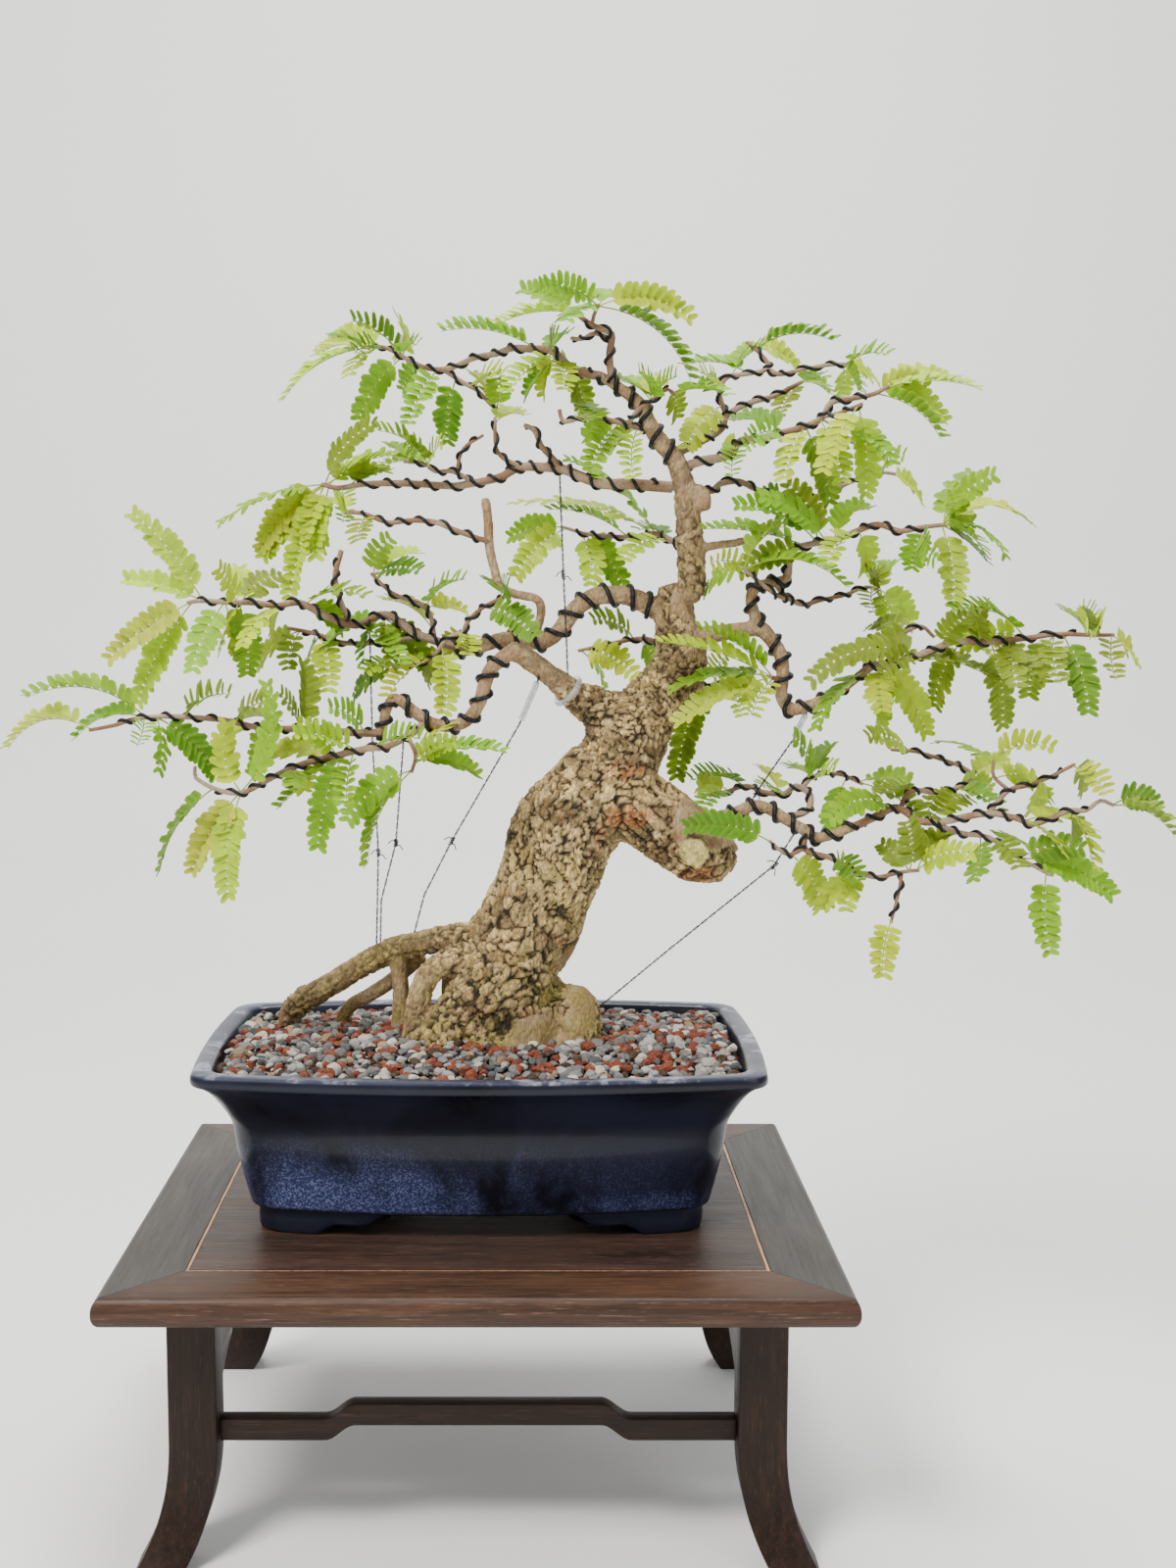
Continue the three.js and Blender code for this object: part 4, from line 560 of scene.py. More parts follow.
            (899, 482, 924, 465, SLANTED, 0.08), (908, 483, 940, 513, SLANTED, 0.08),
            (798, 506, 780, 524, SLANTED, 0.05),
        ),
    ),
    LeafyBranch(
        "leafy_right_mid",
        twigs=(
            Twig(
                path=(
                    (804, 582), (809, 562), (829, 555), (854, 550), (879, 540), (896, 535),
                    (919, 542), (941, 538), (966, 535),
                ),
                depth=(-14, -28, -42), radius=(2, 1.6, 1.1),
            ),
        ),
        fronds=(
            (834, 553, 750, 517, SLANTED, 0.12), (822, 556, 717, 540, LEVEL, 0.06),
            (842, 551, 777, 506, SLANTED, 0.1), (852, 549, 888, 520, SLANTED, 0.14),
            (961, 536, 971, 619, FACING, 0.05), (966, 535, 1053, 535, LEVEL, 0.2),
            (966, 534, 1016, 485, SLANTED, 0.1), (964, 534, 992, 482, SLANTED, 0.1),
            (962, 537, 1003, 562, LEVEL, 0.1), (944, 538, 931, 580, FACING, 0.05),
            (876, 543, 844, 578, SLANTED, 0.08),
        ),
    ),
    LeafyBranch(
        "leafy_right_thin",
        twigs=(
            Twig(
                path=(
                    (790, 594), (799, 606), (807, 612), (819, 617), (839, 612), (862, 607),
                    (884, 599), (896, 602),
                ),
                depth=(-12, 6, 20), radius=(1.5, 1.2, 0.9),
            ),
            Twig(
                path=((807, 612), (792, 607), (775, 594), (757, 579)),
                depth=(-10, -22, -28), radius=(1.3, 0.9),
            ),
        ),
        fronds=(
            (892, 601, 879, 574, SLANTED, 0.05), (894, 601, 912, 577, SLANTED, 0.05),
            (890, 600, 893, 626, FACING, 0.05), (896, 602, 929, 639, FACING, 0.1),
            (758, 580, 864, 599, LEVEL, 0.18), (759, 582, 718, 604, SLANTED, 0.12),
        ),
    ),
    LeafyBranch(
        "leafy_right_front",
        twigs=(
            Twig(
                path=((799, 692), (790, 692), (786, 690)),
                depth=(-16, -28), radius=(1.4, 1),
            ),
        ),
        fronds=(
            (788, 691, 672, 655, LEVEL, 0.06), (788, 692, 685, 704, LEVEL, 0.1),
            (790, 692, 767, 731, FACING, 0.06),
        ),
    ),
    LeafyBranch(
        "leafy_right_long",
        twigs=(
            Twig(
                path=(
                    (846, 713), (869, 696), (891, 679), (904, 679), (944, 667), (972, 655),
                    (1003, 655), (1042, 652), (1081, 647), (1118, 648), (1137, 648),
                ),
                depth=(-22, -34, -44, -50), radius=(2.4, 2, 1.5, 0.9),
            ),
            Twig(
                path=((884, 686), (898, 657), (919, 647), (940, 639), (953, 650)),
                depth=(-26, -12), radius=(1.4, 0.9),
            ),
        ),
        fronds=(
            (1046, 651, 971, 622, LEVEL, 0.14), (929, 643, 886, 640, SLANTED, 0.1),
            (961, 659, 988, 628, FACING, 0.08), (1001, 655, 1006, 618, SLANTED, 0.05),
            (940, 668, 827, 696, SLANTED, 0.16), (980, 656, 954, 721, SLANTED, 0.06),
            (910, 678, 1018, 696, LEVEL, 0.12), (1011, 655, 1023, 741, FACING, 0.04),
            (1030, 653, 1038, 701, FACING, 0.04), (950, 652, 1013, 674, LEVEL, 0.1),
            (886, 683, 834, 744, LEVEL, 0.1), (904, 679, 944, 749, FACING, 0.06),
            (898, 679, 900, 726, FACING, 0.04), (936, 668, 876, 662, SLANTED, 0.1),
            (1136, 648, 1139, 694, FACING, 0.05), (1110, 648, 1081, 621, SLANTED, 0.08),
            (1108, 648, 1124, 628, SLANTED, 0.08), (1076, 648, 1050, 710, FACING, 0.08),
            (1084, 647, 1110, 728, FACING, 0.06),
        ),
    ),
    LeafyBranch(
        "leafy_trunk_right",
        twigs=(
            Twig(
                path=((704, 682), (716, 700), (726, 702), (740, 696)),
                depth=(6, 30, 40), radius=(1.8, 1),
            ),
        ),
        fronds=(
            (740, 697, 757, 732, FACING, 0.06), (722, 702, 691, 793, FACING, 0.06),
            (732, 699, 742, 668, SLANTED, 0.1),
        ),
    ),
    LeafyBranch(
        "leafy_low_right",
        twigs=(
            Twig(
                path=(
                    (871, 844), (892, 834), (915, 824), (940, 838), (966, 838), (987, 833),
                    (1013, 830), (1037, 835), (1055, 841), (1092, 827), (1108, 827), (1123, 817),
                    (1137, 822),
                ),
                depth=(-32, -44, -54, -60), radius=(2.2, 1.8, 1.4, 0.9),
            ),
            Twig(
                path=((948, 839), (980, 850), (1008, 854), (1024, 864), (1037, 874), (1072, 893)),
                depth=(-42, -58), radius=(1.4, 0.9),
            ),
            Twig(
                path=((1008, 832), (1029, 807), (1050, 801), (1071, 793), (1097, 780)),
                depth=(-52, -44, -40), radius=(1.3, 0.9),
            ),
            Twig(
                path=((1029, 808), (1014, 792), (1014, 776)),
                depth=(-47, -38), radius=(1, 0.8),
            ),
        ),
        fronds=(
            (1136, 822, 1199, 854, LEVEL, 0.14), (1045, 838, 1113, 846, LEVEL, 0.1),
            (1092, 828, 1115, 885, SLANTED, 0.06), (1040, 876, 1134, 914, FACING, 0.1),
            (1070, 892, 1071, 974, FACING, 0.05), (1000, 853, 993, 898, FACING, 0.04),
            (1012, 857, 1040, 886, FACING, 0.08), (950, 838, 990, 815, SLANTED, 0.12),
            (912, 826, 846, 836, SLANTED, 0.16), (1014, 780, 956, 757, LEVEL, 0.1),
            (1014, 778, 1076, 764, SLANTED, 0.16), (1016, 792, 1066, 806, SLANTED, 0.1),
            (1094, 782, 1129, 812, FACING, 0.1), (1060, 798, 1050, 828, FACING, 0.05),
        ),
    ),
    LeafyBranch(
        "leafy_low_back", parent="leafy_low_right",
        twigs=(
            Twig(
                path=(
                    (918, 826), (930, 807), (956, 809), (982, 802), (993, 792), (982, 783),
                    (961, 775), (935, 767), (909, 765),
                ),
                depth=(-36, -16, 4, 12), radius=(1.5, 1.2, 0.9),
            ),
        ),
        fronds=(
            (974, 805, 1019, 829, SLANTED, 0.1), (990, 798, 1030, 782, SLANTED, 0.1),
            (928, 766, 885, 752, SLANTED, 0.08), (934, 808, 885, 796, SLANTED, 0.12),
        ),
    ),
    LeafyBranch(
        "leafy_low_front",
        twigs=(
            Twig(
                path=(
                    (822, 846), (822, 867), (846, 875), (872, 888), (893, 895), (919, 890),
                    (938, 888),
                ),
                depth=(-27, -42, -52), radius=(1.6, 1.3, 0.9),
            ),
            Twig(
                path=((920, 890), (918, 906), (909, 942)),
                depth=(-48, -54), radius=(1, 0.8),
            ),
            Twig(
                path=((822, 866), (804, 872), (785, 858)),
                depth=(-33, -40), radius=(1.2, 0.9),
            ),
        ),
        fronds=(
            (928, 888, 925, 838, FACING, 0.05), (936, 888, 972, 852, SLANTED, 0.1),
            (938, 888, 993, 870, SLANTED, 0.1), (878, 890, 841, 924, FACING, 0.08),
            (909, 942, 901, 997, FACING, 0.05), (806, 872, 837, 928, FACING, 0.08),
            (850, 876, 876, 900, FACING, 0.1), (785, 858, 700, 844, FACING, 0.1),
        ),
    ),
    LeafyBranch(
        "leafy_low_inner",
        twigs=(
            Twig(
                path=(
                    (798, 834), (823, 828), (827, 812), (813, 802), (800, 810), (778, 808),
                    (762, 802), (741, 808), (725, 810),
                ),
                depth=(-24, -12, 6, 16), radius=(1.8, 1.5, 1),
            ),
            Twig(
                path=((818, 805), (831, 792), (856, 790), (880, 800)),
                depth=(-10, 12), radius=(1.3, 0.9),
            ),
        ),
        fronds=(
            (760, 802, 704, 796, LEVEL, 0.1), (796, 809, 774, 783, SLANTED, 0.06),
            (830, 793, 809, 751, SLANTED, 0.06), (834, 792, 848, 762, SLANTED, 0.06),
            (878, 799, 945, 842, SLANTED, 0.1), (864, 793, 851, 850, FACING, 0.06),
            (742, 807, 716, 826, SLANTED, 0.1),
        ),
    ),
)

GUY_WIRES = (
    GuyWire(
        "guy_wire_left_inner", knot=2, sleeve=1,
        path=((554, 682), (530, 739), (461, 858), (433, 913), (420, 962)),
        depth=(-18, -10, 2, 8, 14),
    ),
    GuyWire(
        "guy_wire_left_lower", knot=1,
        path=((412, 752), (404, 860), (389, 919), (388, 974)),
        depth=(-28, 2, 12, 19),
    ),
    GuyWire(
        "guy_wire_left_arch", knot=2,
        path=((377, 632), (380, 755), (386, 870), (384, 974)),
        depth=(-6, 6, 16, 24),
    ),
    GuyWire(
        "guy_wire_centre", knot=1,
        path=((571, 480), (575, 586), (578, 652), (580, 708)),
        depth=(16, 2, -9, -13),
    ),
    GuyWire(
        "guy_wire_right", knot=2, sleeve=1,
        path=((827, 720), (809, 755), (772, 808), (764, 824)),
        depth=(-20, -18, -18, -18),
    ),
    GuyWire(
        "guy_wire_low_right", knot=1,
        path=((815, 843), (790, 883), (680, 971), (606, 1032)),
        depth=(-26, -24, -16, -8),
    ),
)


def spread(values: Sequence[float], share: float) -> float:
    """Read a short list as if it were spread evenly from 0 to 1.

    Args:
        values: The list's numbers.
        share: The place in the list, from 0 to 1.

    Returns:
        The number at that place, between its two neighbours.
    """
    if len(values) == 1:
        return values[0]
    place = min(max(share, 0.0), 1.0) * (len(values) - 1)
    index = min(int(place), len(values) - 2)
    return values[index] + (values[index + 1] - values[index]) * (place - index)


def ease(share: float) -> float:
    """Return a smooth step from 0 to 1."""
    held = min(max(share, 0.0), 1.0)
    return held * held * (3.0 - 2.0 * held)


@dataclass(frozen=True)
class PictureView:
    """The camera behind the tables, in millimetres from the middle of the stand."""

    across: float = 22.0
    back: float = 930.0
    height: float = 460.0
    focus: float = 1850.0
    column: float = 535.0
    row: float = 800.0
    tilt: float = math.radians(6.11)
    picture: tuple[int, int] = (1200, 1600)

    def stand_middle(self) -> float:
        """Return where the middle of the stand is, in metres across."""
        low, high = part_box("stand_panel")
        return (low[0] + high[0]) / 2

    def seen(self, place: Sequence[float], depth: float) -> Vector:
        """Find the point that shows at a picture place.

        Args:
            place: The picture's column and row.
            depth: How far behind the stand's middle the point is, in millimetres.

        Returns:
            The point in metres.
        """
        u = (place[0] - self.column) / self.focus
        q = (self.row - place[1]) / self.focus
        away = self.back + depth
        level = math.cos(self.tilt) + q * math.sin(self.tilt)
        rise = q * math.cos(self.tilt) - math.sin(self.tilt)
        x = self.across + u * away / level
        z = self.height + away * rise / level
        return Vector((x * MM + self.stand_middle(), depth * MM, z * MM))

    def routed(self, path: Sequence, depth: Sequence, radius: Sequence) -> "Route":
        """Place a table's route on the object, with depth and radius spread over its points."""
        last = max(len(path) - 1, 1)
        return Route(
            [self.seen(place, spread(depth, i / last)) for i, place in enumerate(path)],
            [spread(radius, i / last) * MM for i in range(len(path))],
        )

    def place_camera(self) -> None:
        """Add the camera and make it the scene's own."""
        wide, _ = self.picture
        data = bpy.data.cameras.new("picture_camera")
        data.sensor_fit = "HORIZONTAL"
        data.sensor_width = 36.0
        data.lens = 36.0 * self.focus / wide
        data.shift_x = (wide / 2 - self.column) / wide
        data.clip_start = 0.05
        camera = bpy.data.objects.new("picture_camera", data)
        camera.location = (
            self.across * MM + self.stand_middle(), -self.back * MM, self.height * MM,
        )
        camera.rotation_euler = (math.pi / 2 - self.tilt, 0.0, 0.0)
        bpy.context.scene.collection.objects.link(camera)
        bpy.context.scene.camera = camera


PICTURE = PictureView()


@dataclass
class Route:
    """A line of points with a radius at each, in metres."""

    points: list
    radii: list

    def length(self) -> float:
        """Return the length of the line."""
        return sum((b - a).length for a, b in zip(self.points, self.points[1:]))

    def smoothed(self, step: float) -> "Route":
        """Round the corners and set points at about equal steps.

        Args:
            step: The distance between points, in metres.

        Returns:
            A new route through the same points.
        """
        points, radii = self.points, self.radii
        spans = [max((b - a).length, 1e-6) for a, b in zip(points, points[1:])]
        count = len(points)

        def slope(values: list, i: int) -> object:
            """Return how fast the values change at a point."""
            if i == 0:
                return (values[1] - values[0]) / spans[0]
            if i == count - 1:
                return (values[-1] - values[-2]) / spans[-1]
            return (values[i + 1] - values[i - 1]) / (spans[i] + spans[i - 1])

        line, widths = [], []
        for i, span in enumerate(spans):
            steps = max(1, round(span / step))
            for k in range(steps + (1 if i == count - 2 else 0)):
                t = k / steps
                a = 2 * t**3 - 3 * t**2 + 1
                b = t**3 - 2 * t**2 + t
                c = t**3 - t**2
                for values, out in ((points, line), (radii, widths)):
                    first, second = slope(values, i) * span, slope(values, i + 1) * span
                    out.append(values[i] * a + first * b + values[i + 1] * (1 - a) + second * c)
        return Route(line, [max(width, 1e-5) for width in widths])

    def frames(self) -> list:
        """Return the direction, a normal and a side at each point, without twist."""
        last = len(self.points) - 1
        normal = Vector((0.0, -1.0, 0.0))
        found = []
        for i in range(last + 1):
            ahead = self.points[min(i + 1, last)] - self.points[max(i - 1, 0)]
            ahead = ahead.normalized() if ahead.length > 1e-9 else Vector((0.0, 0.0, 1.0))
            normal = normal - ahead * normal.dot(ahead)
            if normal.length < 0.05:
                normal = Vector((1.0, 0.0, 0.0)) - ahead * ahead.x
            normal.normalize()
            found.append((ahead, normal.copy(), ahead.cross(normal)))
        return found


@dataclass
class Shell:
    """Points and faces that are gathered into one mesh, with values for its points."""

    points: list = field(default_factory=list)
    faces: list = field(default_factory=list)
    values: dict = field(default_factory=dict)

    def add(self, points: Sequence, faces: Sequence, **values: object) -> None:
        """Add a part.

        Args:
            points: The part's points in metres.
            faces: Its faces, counted from its own first point.
            **values: A number or a colour for each of its points, or one for them all.
        """
        first = len(self.points)
        self.points.extend(points)
        self.faces.extend(tuple(first + i for i in face) for face in faces)
        for name, given in values.items():
            each = given if isinstance(given, list) else [given] * len(points)
            self.values.setdefault(name, []).extend(each)

    def tube(self, route: Route, sides: int, lump: float = 0.0, **values: object) -> None:
        """Add a closed tube along a route.

        Args:
            route: The tube's middle line and its radii.
            sides: The number of points in each ring.
            lump: How uneven the rings are, as a share of their radius.
            **values: Values for the tube's points.
        """
        points, faces = [], []
        frames = route.frames()
        for i, (point, radius, (_, normal, across)) in enumerate(
            zip(route.points, route.radii, frames)
        ):
            for k in range(sides):
                angle = 2 * math.pi * k / sides
                wave = math.sin(3 * angle + 0.31 * i) + 0.75 * math.sin(5 * angle + 0.47 * i)
                reach = radius * (1 + lump * wave)
                points.append(point + (normal * math.cos(angle) + across * math.sin(angle)) * reach)
        last = len(route.points) - 1
        for i in range(last):
            for k in range(sides):
                a, b = i * sides + k, i * sides + (k + 1) % sides
                faces.append((a, b, b + sides, a + sides))
        foot, tip = len(points), len(points) + 1
        points.append(route.points[0] - frames[0][0] * route.radii[0] * 0.4)
        points.append(route.points[-1] + frames[-1][0] * route.radii[-1] * 0.4)
        for k in range(sides):
            after = (k + 1) % sides
            faces.append((foot, after, k))
            faces.append((tip, last * sides + k, last * sides + after))
        self.add(points, faces, **values)

    def piece(self, name: str, finish: bpy.types.Material, smooth: float = 60.0) -> bpy.types.Object:
        """Make the mesh and its object.

        Args:
            name: The object's name.
            finish: The object's material.
            smooth: Edges sharper than this many degrees stay sharp.

        Returns:
            The new object, in the scene.
        """
        mesh = bpy.data.meshes.new(name)
        mesh.from_pydata(self.points, [], self.faces)
        for key, given in self.values.items():
            if isinstance(given[0], (tuple, list)):
                made = mesh.attributes.new(key, "FLOAT_COLOR", "POINT")
                made.data.foreach_set("color", [c for colour in given for c in (*colour, 1.0)])
            else:
                mesh.attributes.new(key, "FLOAT", "POINT").data.foreach_set("value", given)
        mesh.materials.append(finish)
        mesh.shade_smooth()
        mesh.set_sharp_from_angle(angle=math.radians(smooth))
        mesh.update()
        made = bpy.data.objects.new(name, mesh)
        bpy.context.scene.collection.objects.link(made)
        return made


def apply_modifier(piece: bpy.types.Object, kind: str, **settings: object) -> None:
    """Add a modifier to a piece and apply it.

    Args:
        piece: The piece, which becomes the active object.
        kind: The modifier's type.
        **settings: The modifier's own settings.
    """
    bpy.ops.object.select_all(action="DESELECT")
    piece.select_set(True)
    bpy.context.view_layer.objects.active = piece
    modifier = piece.modifiers.new(kind.lower(), kind)
    for name, value in settings.items():
        setattr(modifier, name, value)
    bpy.ops.object.modifier_apply(modifier=modifier.name)


def settle(piece: bpy.types.Object, slot: str, *nodes: str) -> None:
    """Let a piece ride on the object and stand for its nodes.

    Args:
        piece: The finished piece.
        slot: Not used.
        *nodes: The CAD nodes that it stands for.
    """
    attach(piece, "root")
    if nodes:
        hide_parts(*nodes)
    LOG.info("%s: %d faces", piece.name, len(piece.data.polygons))


class Sheet:
    """The node sheet of one material, on the piece's own object coordinates."""

    def __init__(self, name: str, **surface: object) -> None:
        """Start a material.

        Args:
            name: The material's name.
            **surface: Values for the surface shader, with spaces in names as underscores.
        """
        self.material = bpy.data.materials.new(name)
        self.material.use_nodes = True
        self.tree = self.material.node_tree
        self.surface = self.tree.nodes["Principled BSDF"]
        self.set(**surface)

    def set(self, **surface: object) -> None:
        """Set or link the surface shader's sockets."""
        for name, value in surface.items():
            self.put(self.surface.inputs[name.replace("_", " ")], value)

    def put(self, socket: Socket, value: object) -> None:
        """Give a socket a value or a link. A colour gets its alpha."""
        if isinstance(value, bpy.types.NodeSocket):
            self.tree.links.new(value, socket)
        elif isinstance(value, tuple) and socket.type == "RGBA" and len(value) == 3:
            socket.default_value = (*value, 1.0)
        else:
            socket.default_value = value

    def add(self, kind: str, inputs: dict, **settings: object) -> bpy.types.Node:
        """Add a node with its settings and inputs."""
        node = self.tree.nodes.new("ShaderNode" + kind)
        for name, value in settings.items():
            setattr(node, name, value)
        for name, value in inputs.items():
            self.put(node.inputs[name], value)
        return node

    def place(self, stretch: Colour = (1.0, 1.0, 1.0), shift: Colour = (0.0, 0.0, 0.0)) -> Socket:
        """Return the object coordinates, stretched and shifted."""
        where = self.add("TexCoord", {}).outputs["Object"]
        moved = self.add("Mapping", {"Vector": where, "Scale": stretch, "Location": shift})
        return moved.outputs["Vector"]

    def noise(self, where: Socket, scale: float, detail: float = 4.0, rough: float = 0.55,
              distortion: float = 0.0) -> Socket:
        """Return cloudy noise of so many waves a metre."""
        inputs = {"Vector": where, "Scale": scale, "Detail": detail, "Roughness": rough,
                  "Distortion": distortion}
        return self.add("TexNoise", inputs).outputs["Fac"]

    def cells(self, where: Socket, scale: float, edges: bool = True) -> Socket:
        """Return the distance to the edges, or to the middles, of random cells."""
        feature = "DISTANCE_TO_EDGE" if edges else "F1"
        inputs = {"Vector": where, "Scale": scale}
        return self.add("TexVoronoi", inputs, feature=feature).outputs["Distance"]

    def range(self, value: Socket, low: float, high: float, to_low: float = 0.0,
              to_high: float = 1.0) -> Socket:
        """Return a value moved smoothly from one range to another."""
        inputs = {"Value": value, "From Min": low, "From Max": high, "To Min": to_low,
                  "To Max": to_high}
        return self.add("MapRange", inputs, interpolation_type="SMOOTHSTEP").outputs["Result"]

    def ramp(self, value: Socket, stops: Sequence[tuple[float, Colour]]) -> Socket:
        """Return a colour for a value, from stops of place and colour."""
        node = self.add("ValToRGB", {"Fac": value})
        elements = node.color_ramp.elements
        while len(elements) < len(stops):
            elements.new(0.5)
        for element, (at, colour) in zip(elements, stops):
            element.position = at
            element.color = (*colour, 1.0)
        return node.outputs["Color"]

    def mix(self, share: object, first: object, second: object, blend: str = "MIX") -> Socket:
        """Return a mix of two colours."""
        node = self.add("Mix", {}, data_type="RGBA", blend_type=blend)
        for index, value in ((0, share), (6, first), (7, second)):
            self.put(node.inputs[index], value)
        return node.outputs[2]

    def sum(self, kind: str, first: object, second: object) -> Socket:
        """Return the result of a sum on two numbers, held between 0 and 1."""
        node = self.add("Math", {}, operation=kind, use_clamp=True)
        self.put(node.inputs[0], first)
        self.put(node.inputs[1], second)
        return node.outputs[0]

    def value(self, name: str, colour: bool = False) -> Socket:
        """Return a number or colour that the mesh holds for each point."""
        return self.add("Attribute", {}, attribute_name=name).outputs["Color" if colour else "Fac"]

    def part(self, where: Socket, axis: str) -> Socket:
        """Return one axis of a place."""
        return self.add("SeparateXYZ", {"Vector": where}).outputs[axis]

    def bump(self, height: Socket, distance: float, strength: float = 1.0) -> None:
        """Raise the surface by a height, over whatever was raised before."""
        inputs = {"Height": height, "Distance": distance, "Strength": strength}
        before = self.surface.inputs["Normal"].links
        if before:
            inputs["Normal"] = before[0].from_socket
        self.set(Normal=self.add("Bump", inputs).outputs["Normal"])




class Grain(Enum):
    """The axis that a board's grain runs along."""

    ACROSS = 0
    BACK = 1
    UP = 2


@dataclass(frozen=True)
class RosewoodFinish:
    """Dark satin rosewood with streaks, pores and light flecks along its grain."""

    grain: Grain
    dark: Colour = (0.016, 0.009, 0.007)
    middle: Colour = (0.036, 0.017, 0.011)
    light: Colour = (0.072, 0.034, 0.022)
    fleck: Colour = (0.24, 0.15, 0.115)
    flecks: float = 0.25
    roughness: float = 0.42
    gloss: float = 0.28
    figure: float = 0.6

    def make(self, name: str) -> bpy.types.Material:
        """Return the material of a board.

        Args:
            name: The material's name.
        """
        sheet = Sheet(name, Specular_IOR_Level=self.gloss, Coat_Weight=0.1, Coat_Roughness=0.3)
        stretch = [1.0, 1.0, 1.0]
        stretch[self.grain.value] = 0.045
        along = sheet.place(tuple(stretch))
        stretch[self.grain.value] = 0.16
        broad = sheet.noise(sheet.place(tuple(stretch)), 42.0, 4.0, 0.55, self.figure)
        streak = sheet.noise(along, 420.0, 6.0, 0.6, 0.4)
        pores = sheet.noise(along, 1500.0, 3.0, 0.6)
        blend = sheet.sum("ADD", sheet.sum("MULTIPLY", broad, 0.5), sheet.sum("MULTIPLY", streak, 0.5))
        wood = sheet.ramp(blend, ((0.36, self.dark), (0.50, self.middle), (0.66, self.light)))
        open_pores = sheet.range(pores, 0.36, 0.44, 0.75, 0.0)
        flecked = sheet.range(pores, 0.60, 0.70, 0.0, self.flecks)
        porous = sheet.mix(open_pores, wood, self.dark)
        sheet.set(Base_Color=sheet.mix(flecked, porous, self.fleck))
        sheet.set(Roughness=sheet.range(streak, 0.3, 0.7, self.roughness, self.roughness + 0.16))
        sheet.bump(pores, 0.00012, 0.6)
        sheet.bump(streak, 0.0002, 0.3)
        return sheet.material


@dataclass(frozen=True)
class InlayFinish:
    """A thin light strip of wood."""

    light: Colour = (0.50, 0.27, 0.13)
    dark: Colour = (0.22, 0.10, 0.045)

    def make(self) -> bpy.types.Material:
        """Return the strips' material."""
        sheet = Sheet("inlay_wood", Roughness=0.45)
        grain = sheet.noise(sheet.place((1.0, 0.12, 1.0)), 320.0, 4.0, 0.6)
        sheet.set(Base_Color=sheet.ramp(grain, ((0.36, self.dark), (0.56, self.light))))
        sheet.bump(grain, 0.0002, 0.5)
        return sheet.material


class Bench:
    """Edit-mode work on one piece, with parts chosen by their place."""

    def __init__(self, piece: bpy.types.Object) -> None:
        """Take the piece that is worked on."""
        self.piece = piece

    def __enter__(self) -> "Bench":
        """Make the piece active and open its mesh."""
        bpy.ops.object.select_all(action="DESELECT")
        self.piece.select_set(True)
        bpy.context.view_layer.objects.active = self.piece
        bpy.ops.object.mode_set(mode="EDIT")
        return self

    def __exit__(self, *unused: object) -> None:
        """Close the mesh."""
        bpy.ops.object.mode_set(mode="OBJECT")

    def mesh(self) -> bmesh.types.BMesh:
        """Return the open mesh."""
        return bmesh.from_edit_mesh(self.piece.data)

    def choose(self, kind: str, test: Callable[[object], bool]) -> None:
        """Select the points, edges or faces that pass a test.

        Args:
            kind: VERT, EDGE or FACE.
            test: Called with each of them.
        """
        bpy.ops.mesh.select_mode(type=kind)
        bpy.ops.mesh.select_all(action="DESELECT")
        made = self.mesh()
        for item in {"VERT": made.verts, "EDGE": made.edges, "FACE": made.faces}[kind]:
            item.select_set(bool(test(item)))
        bmesh.update_edit_mesh(self.piece.data)

    def shift(self, move: Callable[[Vector], Vector]) -> None:
        """Move every point by a rule."""
        for vertex in self.mesh().verts:
            vertex.co = move(vertex.co.copy())
        bmesh.update_edit_mesh(self.piece.data)


def sawn_block(name: str, low: Sequence[float], high: Sequence[float]) -> bpy.types.Object:
    """Add a block between two corners, with its place in its mesh.

    Args:
        name: The piece's name.
        low: The lowest corner in metres.
        high: The highest corner in metres.

    Returns:
        The block.
    """
    bpy.ops.object.select_all(action="DESELECT")
    middle = [(a + b) / 2 for a, b in zip(low, high)]
    bpy.ops.mesh.primitive_cube_add(size=1.0, location=middle)
    block = bpy.context.active_object
    block.name = name
    block.scale = [b - a for a, b in zip(low, high)]
    bpy.ops.object.transform_apply(location=True, rotation=True, scale=True)
    return block


def cut_board(name: str, lower: Callable[[float], float], upper: Callable[[float], float],
              half: float, thick: float, steps: int = 72) -> bpy.types.Object:
    """Make a board from its lower and upper edges, standing along X with its front at Y = 0.

    Args:
        name: The piece's name.
        lower: The lower edge's height at a place along the board.
        upper: The upper edge's height there.
        half: Half of the board's length.
        thick: The board's thickness.
        steps: How many stretches the edges have.

    Returns:
        The board, not yet set in its place.
    """
    bpy.ops.object.select_all(action="DESELECT")
    bpy.ops.mesh.primitive_grid_add(x_subdivisions=steps, y_subdivisions=1, size=2.0)
    board = bpy.context.active_object
    board.name = name
    with Bench(board) as bench:
        bench.shift(lambda at: Vector((
            at.x * half, 0.0, lower(at.x * half) if at.y < 0 else upper(at.x * half))))
        bpy.ops.mesh.select_all(action="SELECT")
        bpy.ops.mesh.extrude_region_move(TRANSFORM_OT_translate={"value": (0.0, thick, 0.0)})
        bpy.ops.mesh.select_all(action="SELECT")
        bpy.ops.mesh.normals_make_consistent(inside=False)
    return board


